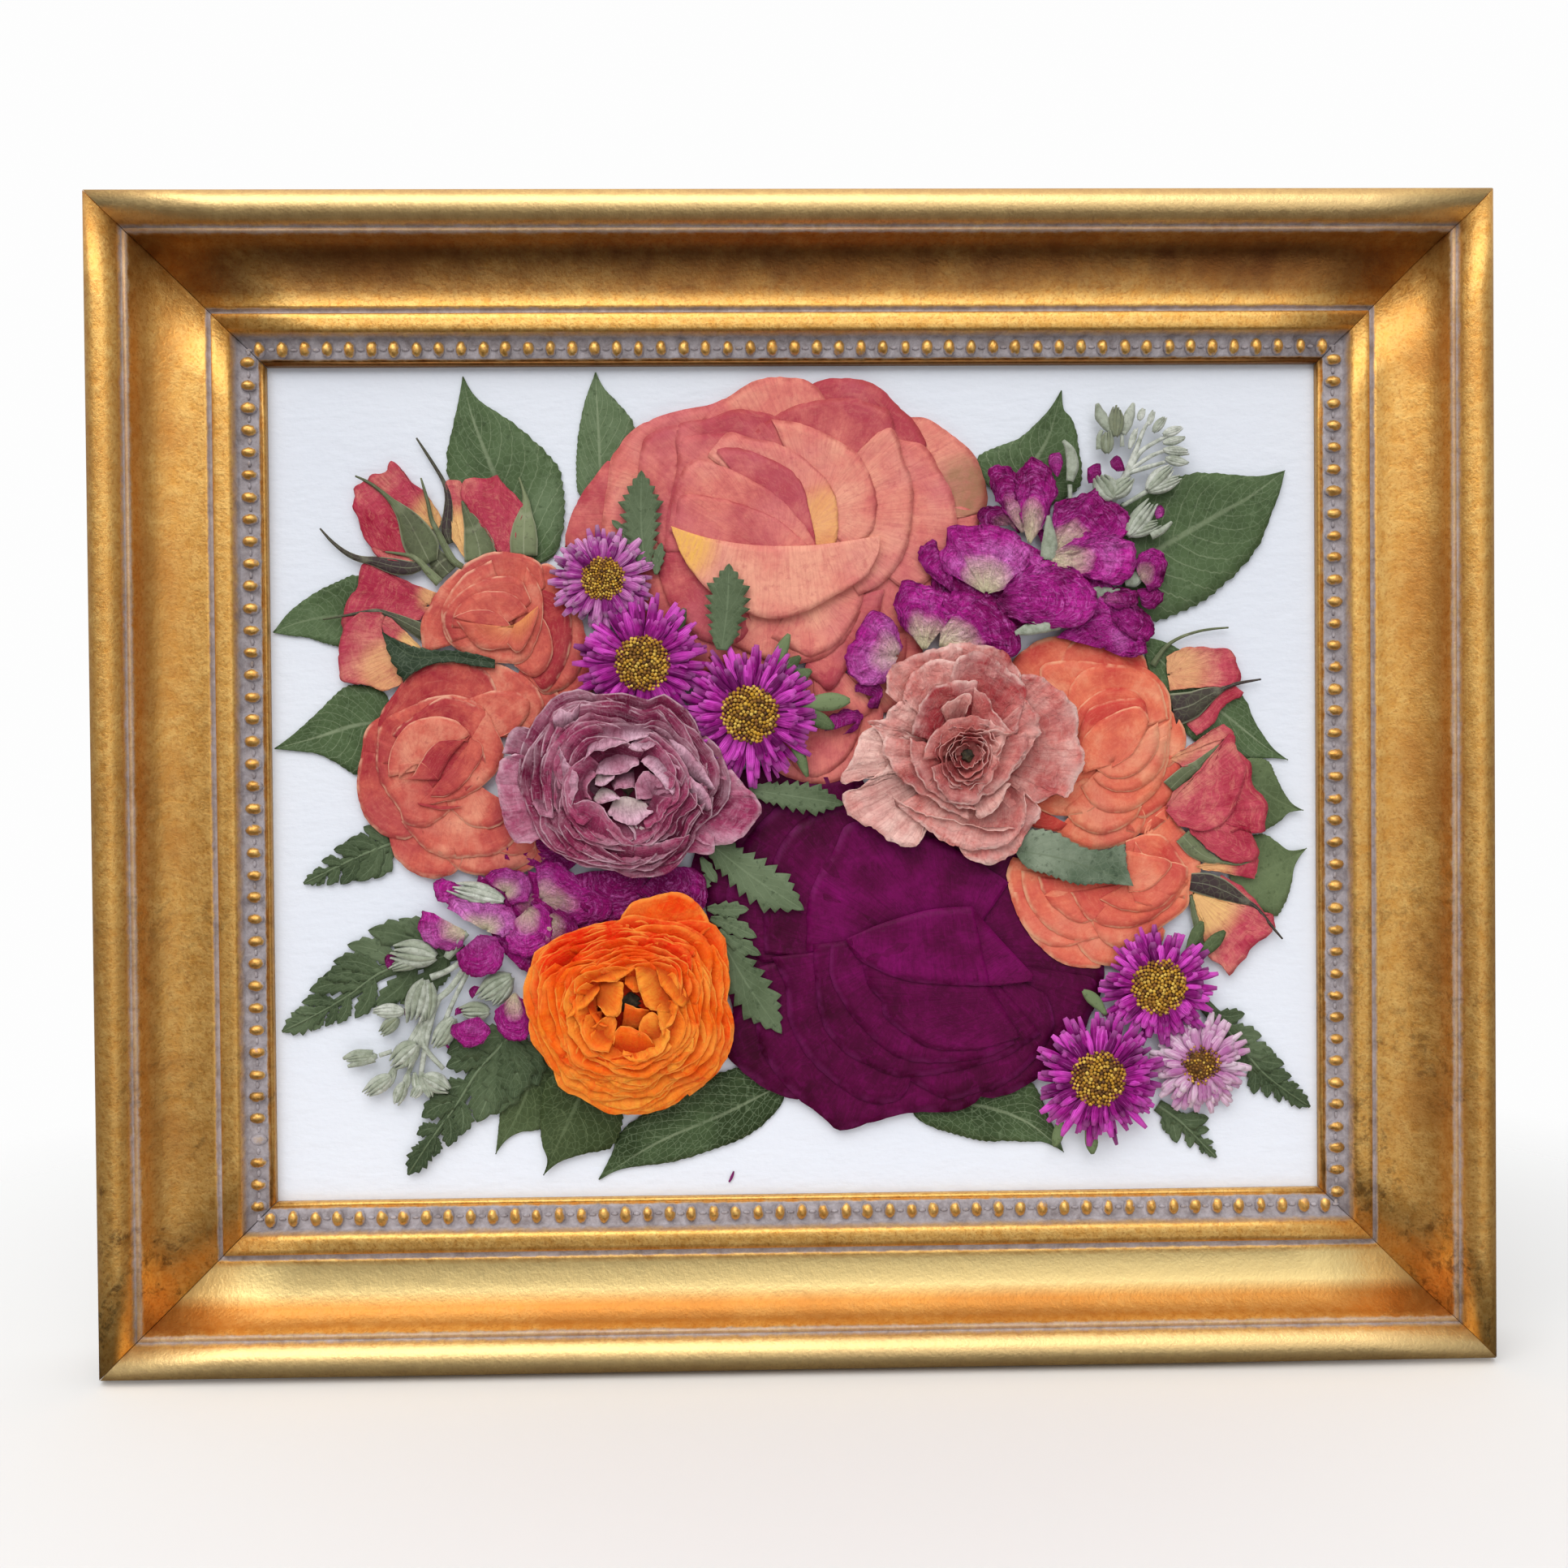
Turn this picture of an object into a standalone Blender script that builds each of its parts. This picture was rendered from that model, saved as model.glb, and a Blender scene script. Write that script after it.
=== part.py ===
"""Pressed and dried flowers on a paper sheet, in a gilt beaded moulding.

The frame hangs on a wall: X runs to the right, Z up, and the picture looks
towards -Y. The origin is on the wall, at the teeth of the hanger.
Everything on the sheet is parented to one empty, whose local X and Y lie on
the paper and whose local Z is the height above it.
"""
import bmesh
import bpy
from math import atan2, cos, hypot, pi, sin, sqrt
from mathutils import Matrix, Vector

MM = 0.001
GAP = 0.3                    # clearance kept between pieces that touch

# Driving dimensions, in millimetres
SIGHT_W = 244.0              # opening seen from the front
SIGHT_H = 193.5
RAIL_W = 37.0                # width of the moulding's face
LIP_OVERLAP = 5.5            # how far the lip covers the sheet
LIP_T = 1.7                  # thickness of the lip at the sight edge
BACK_DEPTH = 12.0            # lip's front to the rails' back
ROLL_HEIGHT = 13.8           # lip's front to the crown of the outer roll
WALL_GAP = 2.5               # rails' back to the wall, taken up by the hanger
PAPER_T = 0.5
BOARD_T = 3.0
BEAD_PITCH = 5.11
BEAD_R = 1.75
BEAD_RISE = 1.5
BEADS_LONG = 49
BEADS_SHORT = 39
WORN_BEAD = 3                # this many beads up from the left rail's foot

HANGER_W = 21.0              # hanger's line, outwards from the sight edge
HANGER_LENGTH = 44.0
HANGER_HEIGHT = 9.0
HANGER_T = 0.8

PICTURE_Z = -(SIGHT_H / 2 + HANGER_W)
LIP_Y = -(WALL_GAP + BACK_DEPTH)
PAPER_Y = LIP_Y + LIP_T + GAP

# Heights of the layers above the paper
LEAF_T = 0.4
LOW = 0.3
SECOND = 1.0
THIRD = 1.7

GOLD = (0.60, 0.36, 0.09)
PAPER = (0.86, 0.89, 0.93)
LEAF = (0.06, 0.13, 0.06)
FERN = (0.07, 0.13, 0.05)
CORAL = (0.70, 0.16, 0.10)
ORANGE_CORAL = (0.80, 0.24, 0.10)
BURGUNDY = (0.12, 0.01, 0.09)
MAUVE = (0.36, 0.10, 0.20)
ORANGE = (0.82, 0.20, 0.02)
PINK = (0.62, 0.26, 0.24)
MAGENTA = (0.34, 0.02, 0.25)
PALE_ASTER = (0.62, 0.40, 0.52)
BUD = (0.42, 0.05, 0.08)
STEEL = (0.55, 0.52, 0.45)


def clear_scene():
    for obj in list(bpy.data.objects):
        bpy.data.objects.remove(obj, do_unlink=True)


def make_collection(name):
    collection = bpy.data.collections.new(name)
    bpy.context.scene.collection.children.link(collection)
    return collection


clear_scene()
PARTS = make_collection("pressed_flower_frame")
CUTTERS = make_collection("cutters")

SHEET = bpy.data.objects.new("sheet", None)
SHEET.location = (0, PAPER_Y * MM, PICTURE_Z * MM)
SHEET.rotation_euler = (pi / 2, 0, 0)
PARTS.objects.link(SHEET)


def material(name, colour, roughness=0.7, metallic=0.0):
    mat = bpy.data.materials.new(name)
    mat.use_nodes = True
    shader = mat.node_tree.nodes["Principled BSDF"]
    shader.inputs["Base Color"].default_value = (*colour, 1)
    shader.inputs["Roughness"].default_value = roughness
    shader.inputs["Metallic"].default_value = metallic
    return mat


def finish(obj, colour, roughness=0.7, metallic=0.0):
    obj.data.materials.clear()
    obj.data.materials.append(material(obj.name, colour, roughness, metallic))
    return obj


def flat_curve(name, outline, thickness):
    """A filled 2D curve, centred on its own plane, sizes in millimetres."""
    curve = bpy.data.curves.new(name, "CURVE")
    curve.dimensions = "2D"
    curve.fill_mode = "BOTH"
    curve.extrude = thickness * MM / 2
    spline = curve.splines.new("POLY")
    spline.points.add(len(outline) - 1)
    for point, (x, y) in zip(spline.points, outline):
        point.co = (x * MM, y * MM, 0, 1)
    spline.use_cyclic_u = True
    return bpy.data.objects.new(name, curve)


def to_mesh(obj, collection):
    """Turn a curve object into a closed mesh object that can be cut."""
    collection.objects.link(obj)
    depsgraph = bpy.context.evaluated_depsgraph_get()
    mesh = bpy.data.meshes.new_from_object(obj.evaluated_get(depsgraph))
    bm = bmesh.new()
    bm.from_mesh(mesh)
    bmesh.ops.remove_doubles(bm, verts=bm.verts, dist=1e-6)
    bmesh.ops.recalc_face_normals(bm, faces=bm.faces)
    bm.to_mesh(mesh)
    bm.free()
    name = obj.name
    bpy.data.objects.remove(obj)
    solid = bpy.data.objects.new(name, mesh)
    collection.objects.link(solid)
    return solid


def plate(name, outline, low, high, collection=PARTS):
    """A flat shape on the sheet, from one height above the paper to another."""
    solid = to_mesh(flat_curve(name, outline, high - low), collection)
    solid.data.transform(Matrix.Translation((0, 0, (low + high) / 2 * MM)))
    solid.parent = SHEET
    return solid


def mesh_object(name, bm, collection=PARTS):
    mesh = bpy.data.meshes.new(name)
    bm.to_mesh(mesh)
    bm.free()
    obj = bpy.data.objects.new(name, mesh)
    collection.objects.link(obj)
    return obj


def as_cutter(obj):
    for collection in list(obj.users_collection):
        collection.objects.unlink(obj)
    CUTTERS.objects.link(obj)
    obj.display_type = "WIRE"
    obj.hide_render = True
    return obj


def boolean(target, other, operation):
    modifier = target.modifiers.new(f"{operation.lower()}_{other.name}", "BOOLEAN")
    modifier.operation = operation
    modifier.solver = "EXACT"
    modifier.object = as_cutter(other)


def layered(name, layers, colour, roughness=0.7):
    """Fuse flat petals, given as (outline, low, high), into one pressed flower."""
    outline, low, high = layers[0]
    solid = plate(name, outline, low, high)
    for index, (outline, low, high) in enumerate(layers[1:]):
        petal = plate(f"{name}_petal_{index}", outline, low, high, CUTTERS)
        boolean(solid, petal, "UNION")
    return finish(solid, colour, roughness)


# ---------------------------------------------------------------- the frame

def rail_profile():
    """(outwards from the sight edge, height above the lip's front)."""
    return [
        (0.0, 0.0), (0.8, 0.4), (1.0, 1.0), (5.7, 1.4), (6.7, 3.9),
        (10.9, 4.2), (11.2, 2.6), (12.2, 2.6), (12.4, 3.2), (15.5, 3.0),
        (19.5, 3.5), (23.2, 5.0), (25.6, 7.4), (26.8, 10.4), (27.4, 10.9),
        (28.2, 10.5), (29.0, 12.0), (30.6, 13.4), (32.4, ROLL_HEIGHT),
        (34.4, 13.3), (36.2, 11.4), (RAIL_W, 8.6), (RAIL_W, -BACK_DEPTH),
        (LIP_OVERLAP, -BACK_DEPTH), (LIP_OVERLAP, -LIP_T), (0.0, -LIP_T),
    ]


def bead_row(name, count, missing=None):
    """Small six-sided domes along X, on the rail's bead strip."""
    bm = bmesh.new()
    strip_w = 3.3
    strip_height = 1.1
    sunk = 0.3
    for index in range(count):
        if index == missing:
            continue
        x = (index - (count - 1) / 2) * BEAD_PITCH
        place = Matrix.Translation((x * MM, strip_w * MM, (strip_height - sunk + BEAD_RISE / 2) * MM))
        bmesh.ops.create_cone(bm, cap_ends=True, segments=6, radius1=BEAD_R * MM, radius2=0,
                              depth=(BEAD_RISE + sunk) * MM, matrix=place)
    bmesh.ops.remove_doubles(bm, verts=bm.verts, dist=1e-6)
    return mesh_object(name, bm, CUTTERS)


def rail(name, sight, beads, turn, missing=None):
    """One length of moulding with mitred ends.

    It is made lying along X with its profile running out along Y, the beads
    are joined on, and it is then turned about the middle of the picture.
    """
    profile = flat_curve(name, rail_profile(), 1.0)
    solid = to_mesh(profile, PARTS)
    half = sight / 2 * MM
    mitre_gap = GAP / sqrt(2) * MM
    for vertex in solid.data.vertices:
        out, height, side = vertex.co
        end = half + out - mitre_gap
        vertex.co = (end if side > 0 else -end, out, height)
    bm = bmesh.new()
    bm.from_mesh(solid.data)
    bmesh.ops.recalc_face_normals(bm, faces=bm.faces)
    bm.to_mesh(solid.data)
    bm.free()
    row = bead_row(f"{name}_beads", beads, missing)
    across = SIGHT_H / 2 if sight == SIGHT_W else SIGHT_W / 2
    for part in (solid, row):
        part.data.transform(Matrix.Translation((0, across * MM, 0)))
        part.matrix_world = (Matrix.Translation((0, LIP_Y * MM, PICTURE_Z * MM))
                             @ Matrix.Rotation(pi / 2, 4, "X") @ Matrix.Rotation(turn, 4, "Z"))
    boolean(solid, row, "UNION")
    return finish(solid, GOLD, 0.38, 0.8)


def build_rails():
    top = rail("rail_top", SIGHT_W, BEADS_LONG, 0)
    rail("rail_left", SIGHT_H, BEADS_SHORT, pi / 2, missing=BEADS_SHORT - 1 - WORN_BEAD)
    rail("rail_bottom", SIGHT_W, BEADS_LONG, pi)
    rail("rail_right", SIGHT_H, BEADS_SHORT, -pi / 2)
    return top


def box(name, centre, size):
    bm = bmesh.new()
    bmesh.ops.create_cube(bm, size=1.0)
    bmesh.ops.scale(bm, vec=Vector(size) * MM, verts=bm.verts)
    bmesh.ops.translate(bm, vec=Vector(centre) * MM, verts=bm.verts)
    return mesh_object(name, bm)


def build_sheet_and_board():
    """The paper that carries the flowers, and the board behind it."""
    slack = 2 * (LIP_OVERLAP - 0.5)
    size = (SIGHT_W + slack, SIGHT_H + slack)
    paper = box("mount_paper", (0, PAPER_Y + PAPER_T / 2, PICTURE_Z), (size[0], PAPER_T, size[1]))
    finish(paper, PAPER, 0.9)
    board_y = PAPER_Y + PAPER_T + GAP + BOARD_T / 2
    board = box("backing_board", (0, board_y, PICTURE_Z), (size[0], BOARD_T, size[1]))
    finish(board, (0.27, 0.17, 0.09), 0.85)


def build_points():
    """Four flat glazing points over the board, pressed against the rabbet wall."""
    tab_t = 0.5
    tab_half = 4.0
    tab_reach = 12.0
    level = PAPER_T + GAP + BOARD_T + GAP
    wall = SIGHT_H / 2 + LIP_OVERLAP - GAP
    for side in (1, -1):
        for hand, along in (("left", -70.0), ("right", 70.0)):
            outline = [(along - tab_half, wall * side), (along + tab_half, wall * side),
                       (along + tab_half, (wall - tab_reach + 3) * side),
                       (along, (wall - tab_reach) * side),
                       (along - tab_half, (wall - tab_reach + 3) * side)]
            row = "top" if side > 0 else "bottom"
            point = plate(f"glazing_point_{row}_{hand}", outline, -level - tab_t, -level)
            finish(point, STEEL, 0.4, 0.9)


def hanger_strip():
    """The hanger seen from above: two ears and a raised toothed middle."""
    half = HANGER_LENGTH / 2
    ear = 9.0
    slope = 2.0
    ear_y = -(WALL_GAP - GAP)
    near = [(-half, ear_y), (-half + ear, ear_y), (-half + ear + slope, -HANGER_T),
            (half - ear - slope, -HANGER_T), (half - ear, ear_y), (half, ear_y)]
    return near + [(x, y + HANGER_T) for x, y in reversed(near)]


def prong(x, radius, length, start_y, name):
    """A tapered spike along +Y or -Y, used both as a prong and as its hole."""
    bm = bmesh.new()
    place = Matrix.Translation((x * MM, (start_y - length / 2) * MM, 0)) @ Matrix.Rotation(pi / 2, 4, "X")
    bmesh.ops.create_cone(bm, cap_ends=True, segments=8, radius1=radius * MM,
                          radius2=radius * 0.7 * MM, depth=length * MM, matrix=place)
    return mesh_object(name, bm, CUTTERS)


def tooth_cutter():
    """A saw edge that cuts the notches out of the hanger's lower side."""
    teeth = 9
    pitch = 2.4
    depth = 1.6
    bottom = -HANGER_HEIGHT / 2
    start = -teeth * pitch / 2
    outline = [(start, bottom - 1)]
    for index in range(teeth):
        outline.append((start + index * pitch, bottom))
        outline.append((start + (index + 0.5) * pitch, bottom + depth))
    outline += [(-start, bottom), (-start, bottom - 1)]
    solid = to_mesh(flat_curve("hanger_teeth", outline, 4.0), CUTTERS)
    solid.rotation_euler = (pi / 2, 0, 0)
    return solid


def build_hanger(top_rail):
    """A nail-less sawtooth hanger: its own two prongs go into the top rail."""
    hanger = to_mesh(flat_curve("sawtooth_hanger", hanger_strip(), HANGER_HEIGHT), PARTS)
    boolean(hanger, tooth_cutter(), "DIFFERENCE")
    ear_middle = HANGER_LENGTH / 2 - 4.5
    prong_length = 7.0
    inside = 0.4
    start = -(WALL_GAP - GAP) + inside
    for hand, x in (("left", -ear_middle), ("right", ear_middle)):
        spike = prong(x, 0.8, prong_length + inside, start, f"prong_{hand}")
        hole = prong(x, 0.8 + GAP * 1.5, prong_length + 1.5, -WALL_GAP + 1, f"prong_hole_{hand}")
        boolean(hanger, spike, "UNION")
        boolean(top_rail, hole, "DIFFERENCE")
    finish(hanger, STEEL, 0.35, 0.95)


# ---------------------------------------------------------- leaves and ferns

LEAVES = {
    "leaf_upper_left_tall": (LOW, [
        (-76.5, 94.5), (-69, 87), (-61, 80), (-55, 71), (-53, 61.5), (-55, 53), (-61, 50),
        (-67, 56), (-74, 61), (-79.5, 69), (-80.5, 76.5), (-79, 84)]),
    "leaf_top": (LOW, [
        (-46, 95.5), (-42, 87.5), (-37, 84), (-38.5, 69), (-44.5, 61.5), (-50, 67), (-50.5, 76.5),
        (-48, 86)]),
    "leaf_left_upper": (LOW, [
        (-120.5, 35.5), (-113, 44), (-103.5, 49.5), (-99, 43), (-100, 33.5), (-109.5, 34)]),
    "leaf_left_lower": (LOW, [
        (-120.5, 8.5), (-110.5, 17.5), (-104.5, 23), (-91, 20), (-93, 12), (-97, 4), (-102, 2),
        (-110, 5)]),
    "leaf_upper_right_small": (LOW, [
        (62.5, 90.5), (63.5, 84.5), (66, 78), (66.5, 70), (59, 64.5), (49.5, 68.5), (43, 75),
        (51.5, 79), (57, 84.5)]),
    "leaf_upper_right_broad": (LOW, [
        (115, 72), (113, 66), (109, 57.5), (104, 49), (95, 40.5), (83.5, 36.5), (78, 46),
        (73, 57), (84, 66.5), (91.5, 70), (101, 71), (110.5, 70.5)]),
    "leaf_right_upper": (LOW, [
        (115.5, 4), (107.5, 4.5), (99, 7), (95, 15), (105.5, 18.5), (109.5, 13)]),
    "leaf_right_middle": (SECOND, [
        (118.5, -8), (113, -8.5), (108.5, -12.5), (104, -8), (104, 3.5), (110.5, 3.5), (114, -4.5)]),
    "leaf_right_lower": (LOW, [
        (119.5, -17), (116.5, -20), (114.5, -29), (111.5, -34), (104.5, -29), (100.5, -23.5),
        (106.5, -15.5), (114, -17)]),
    "leaf_bottom_left_outer": (LOW, [
        (-71, -86), (-68.5, -82.5), (-61, -79.5), (-58, -67), (-65.5, -61.5), (-69.5, -69),
        (-71, -78.5)]),
    "leaf_bottom_left_inner": (SECOND, [
        (-60, -91), (-56.5, -88.5), (-44, -86.5), (-42, -77), (-54, -67.5), (-61, -76.5),
        (-59.5, -84.5)]),
    "leaf_bottom": (LOW, [
        (-47.5, -92.5), (-43, -90), (-30, -88.5), (-16.5, -84), (-9, -78.5), (-4, -72.5),
        (-13.5, -67.5), (-24, -68), (-34, -77), (-43, -82.5), (-44.5, -87.5)]),
    "leaf_bottom_right": (LOW, [
        (28.5, -78.5), (34, -82), (43.5, -85), (54, -85.5), (62.5, -88), (64, -74.5), (50.5, -71.5)]),
    "leaf_rose_left": (SECOND, [
        (-96, 35), (-91, 31.5), (-84, 31.5), (-78, 31), (-76, 28.5), (-84, 28.8), (-91, 24),
        (-92.5, 28.5)]),
    "leaf_rose_right": (3.7, [
        (51, -17), (54.5, -12), (60.5, -12.5), (68, -16.5), (77, -15), (77, -21), (78, -25.5),
        (68, -25), (58.5, -24)]),
}


def build_leaves():
    for name, (low, outline) in LEAVES.items():
        finish(plate(name, outline, low, low + LEAF_T), LEAF, 0.75)


# Each frond: height above the paper, foot, tip, half width, pairs of lobes
FRONDS = {
    "frond_left_upper": (LOW, (-92, -13.5), (-115, -22.5), 6.5, 4),
    "frond_left_large": (LOW, (-80, -30), (-120.5, -57), 11.5, 5),
    "frond_left_lower": (SECOND, (-66, -62), (-91.5, -90.5), 11.0, 5),
    "frond_by_coral_rose": (2.9, (-33.8, 56.5), (-36.5, 72.5), 4.5, 3),
    "frond_by_asters": (3.5, (-17.5, 33), (-16.5, 51), 4.5, 3),
    "frond_centre_upper": (3.0, (-12, -2), (11, -7), 4.5, 3),
    "frond_centre_middle": (2.9, (-19, -15.5), (1, -30), 6.5, 4),
    "frond_centre_lower": (2.3, (-20, -31), (-4.5, -58.5), 6.5, 5),
    "frond_right_lower": (LOW, (100, -57), (120, -77.5), 6.5, 5),
    "frond_bottom_right": (LOW, (86, -78.5), (97.5, -89), 4.0, 3),
}


def frond_outline(foot, tip, half_width, pairs):
    """A lobed leaf: teeth that point forwards, widest a third of the way up."""
    foot = Vector(foot)
    length = (Vector(tip) - foot).length
    along = (Vector(tip) - foot) / length
    across = Vector((-along.y, along.x))
    sides = []
    for hand in (1, -1):
        points = []
        for index in range(pairs):
            start = index / (pairs + 0.4)
            end = (index + 0.85) / (pairs + 0.4)
            swell = sin(pi * (0.22 + 0.78 * start) ** 0.7) * half_width
            points.append(foot + along * length * start + across * hand * swell * 0.35)
            points.append(foot + along * length * end + across * hand * swell)
        sides.append(points)
    return [tuple(p) for p in sides[0]] + [tuple(tip)] + [tuple(p) for p in reversed(sides[1])]


def build_fronds():
    frond_t = 0.3
    for name, (low, foot, tip, half_width, pairs) in FRONDS.items():
        outline = frond_outline(foot, tip, half_width, pairs)
        finish(plate(name, outline, low, low + frond_t), FERN, 0.75)


# ------------------------------------------------------------- pressed roses

def build_coral_rose():
    back = [(-48, 40), (-53, 56.5), (-48.5, 68), (-42, 77), (-33.5, 84.5), (-24.5, 87.5), (-15, 89),
            (-6.5, 94), (4, 93.5), (13.5, 93), (21, 90), (27.5, 84.5), (36, 81.5), (42.5, 75),
            (44.5, 64.5), (42.5, 56), (35, 42), (26, 30.5), (17.5, 19.5), (12, 8), (5, 3.5),
            (-4.5, 5.5), (-9, 15.5), (-20, 27), (-34, 36)]
    wide = [(-36, 82), (-24.5, 84.5), (-14, 87), (-3.5, 85.5), (13.5, 87), (23, 83.5), (26, 74),
            (27, 61), (24.5, 49.5), (20, 42.5), (3.5, 32.5), (-15.5, 35.5), (-27.5, 44), (-29, 53.5),
            (-33, 67)]
    middle = [(-27, 79), (-14, 82.5), (2, 79), (13.5, 73), (18.5, 62.5), (16.5, 50.5), (3.5, 42),
              (-15.5, 44), (-26, 51.5), (-28, 66.5)]
    heart = [(-18, 77), (-7.5, 73.5), (-0.5, 69.5), (3, 61), (5, 51.5), (-6, 51.5), (-22.5, 61)]
    smile = [(-28, 58.5), (-19, 55.5), (-6, 53), (5.5, 52.5), (19.5, 55), (18.5, 48.5), (13, 41),
             (3.5, 35.8), (-6, 34.8), (-15.5, 37.8), (-23, 43), (-26, 50)]
    tongue = [(-14.5, 35), (3.5, 34), (14, 40), (18, 41.5), (16.5, 30.5), (11, 26), (6.5, 21),
              (-4, 24), (-12.5, 29)]
    layered("rose_coral_large", [
        (back, THIRD, 2.2), (wide, 1.9, 2.6), (middle, 2.0, 3.0), (heart, 2.1, 3.3),
        (tongue, 1.95, 2.5), (smile, 2.2, 3.2)], CORAL)


def build_burgundy_rose():
    back = [(3, -1), (14.5, -0.5), (28, -5.5), (41, -13), (46.5, -19), (47, -28.5), (52, -38),
            (59.5, -45), (70, -48), (68.5, -55.5), (64.5, -63), (56, -70.5), (47.5, -74), (37, -76),
            (18.5, -78.5), (9, -81.5), (2.5, -76.5), (-5, -70.5), (-14.5, -66), (-17.5, -62),
            (-15, -52.5), (-15.5, -37), (-17, -26), (-10, -11), (-4.5, -4)]
    upper = [(2, -29.5), (7, -14.5), (22, -9), (37.5, -15), (45, -29.5), (53, -42), (54, -45.5),
             (33, -53), (10.5, -43), (1, -40.5)]
    outer = [(-3, -35.5), (12.5, -32), (41, -30), (52, -42), (58, -53.5), (53, -62.5), (46.5, -70.5),
             (37, -73), (19.5, -74.5), (10, -72.5), (2.5, -66), (-2, -55)]
    middle = [(7, -41.5), (14.5, -37.5), (41, -36), (50.5, -47.5), (52.5, -60), (40.5, -65.5),
              (24.5, -65), (11.5, -57)]
    front = [(11, -36.5), (19, -33.5), (30.5, -30.5), (40.5, -30), (45.5, -36), (54, -45),
             (44.5, -48), (34, -48), (23, -46), (14.5, -41)]
    fold = [(14.5, -42.5), (23, -47), (44.5, -49), (48.5, -55), (44.5, -62.5), (34.5, -62),
            (26.5, -60), (19, -52)]
    layered("rose_burgundy_large", [
        (back, 1.6, 2.0), (upper, 1.7, 2.5), (outer, 1.75, 2.35), (middle, 1.8, 2.7),
        (fold, 1.9, 3.1), (front, 1.95, 3.5)], BURGUNDY, 0.6)


def build_small_roses():
    layered("rose_coral_left_upper", [
        ([(-86, 40), (-84, 46.5), (-77, 51), (-68, 53.5), (-60, 52), (-55.5, 46), (-51, 38.5),
          (-50.5, 31), (-53, 26), (-63.5, 25.5), (-71, 30.5), (-79.5, 32.5), (-85, 34)], THIRD, 2.3),
        ([(-82, 39), (-77.5, 45.5), (-68, 49), (-60.5, 46), (-58, 38.5), (-61.5, 31.5), (-68, 31),
          (-77.5, 34)], 1.9, 2.7),
        ([(-79.5, 38), (-73.5, 44), (-66, 43.5), (-61.5, 40), (-63.5, 34), (-72, 33)], 2.0, 3.2),
        ([(-74.5, 38.5), (-71, 41.5), (-66, 40.5), (-65.5, 37), (-72, 35)], 2.1, 3.6),
    ], CORAL)
    layered("rose_coral_left_lower", [
        ([(-102, 1.5), (-101, 11), (-96.5, 18.5), (-90.5, 25), (-82, 28), (-72.5, 27), (-64.5, 23),
          (-60, 19), (-63, 14), (-66, 6), (-66, -3.5), (-63.5, -11), (-63, -17), (-67.5, -19.5),
          (-74.5, -21), (-82, -21), (-88.5, -18), (-95, -12), (-100.5, -6)], THIRD, 2.2),
        ([(-98, 7), (-94.5, 16.5), (-87, 22), (-75.5, 22), (-70, 16), (-68.5, 1), (-69, -8.5),
          (-76, -14), (-87.5, -12), (-95.5, -3.5)], 1.9, 2.6),
        ([(-94, 7), (-89, 15.5), (-79.5, 18), (-72, 16), (-71, 1), (-79.5, -4.5), (-91, -1.5)],
         2.0, 3.1),
        ([(-92.5, 6), (-88, 13), (-82.5, 15), (-76, 11.5), (-79.5, 3), (-90, 1.5)], 2.1, 3.5),
    ], CORAL)
    layered("rose_orange_right_upper", [
        ([(53, 30), (60.5, 33), (74, 33.5), (81.5, 28.5), (86, 22.5), (90, 18), (91, 11), (89, -0.5),
          (85, -8), (79, -13.5), (71.5, -14.5), (65, -13.5), (60, -10.5), (56, -9.5), (61, 0),
          (62, 8), (61, 15), (56, 22.5)], THIRD, 2.2),
        ([(63.5, 21), (73.5, 27.5), (83, 20.5), (87, 11), (85, -0.5), (75.5, -8), (67, -6),
          (64, 0), (65, 7.5)], 1.9, 2.7),
        ([(67, 17), (75.5, 21.5), (82, 15), (83.5, 5.5), (79.5, -1), (70, 1), (68, 11.5)], 2.0, 3.2),
        ([(71, 15), (77.5, 18.5), (81, 12), (79, 4.5), (71.5, 6.5)], 2.1, 3.6),
    ], ORANGE_CORAL)
    layered("rose_coral_right_lower", [
        ([(48.5, -22), (53, -19), (64, -16), (78, -16.5), (85, -11), (89.5, -11.5), (93, -19.5),
          (93.5, -25), (91, -31), (86.5, -38.5), (79, -42), (70.5, -44.5), (61, -42), (53.5, -35),
          (48.5, -28.5)], THIRD, 2.2),
        ([(56, -24.5), (75.5, -20), (87, -16.5), (90.5, -25), (88, -32.5), (78, -39), (67.5, -37),
          (58, -31.5)], 1.9, 2.7),
        ([(60, -26.5), (77, -23), (86, -23), (86.5, -29), (78, -33.5), (65.5, -32.5)], 2.0, 3.2),
        ([(69.5, -26.5), (77, -24.5), (84, -26.5), (78, -30.5), (70.5, -30)], 2.1, 3.4),
    ], CORAL)


# ------------------------------------------------------------ domed flower heads

def ruffled_ring(centre, radius, lobes, swing, phase, points=12):
    """A wavy circle, as the rims of one whorl of petals make."""
    outline = []
    for index in range(points):
        angle = 2 * pi * index / points
        reach = radius * (1 + swing * sin(lobes * angle + phase))
        outline.append((centre[0] + reach * cos(angle), centre[1] + reach * sin(angle)))
    return outline


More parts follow.
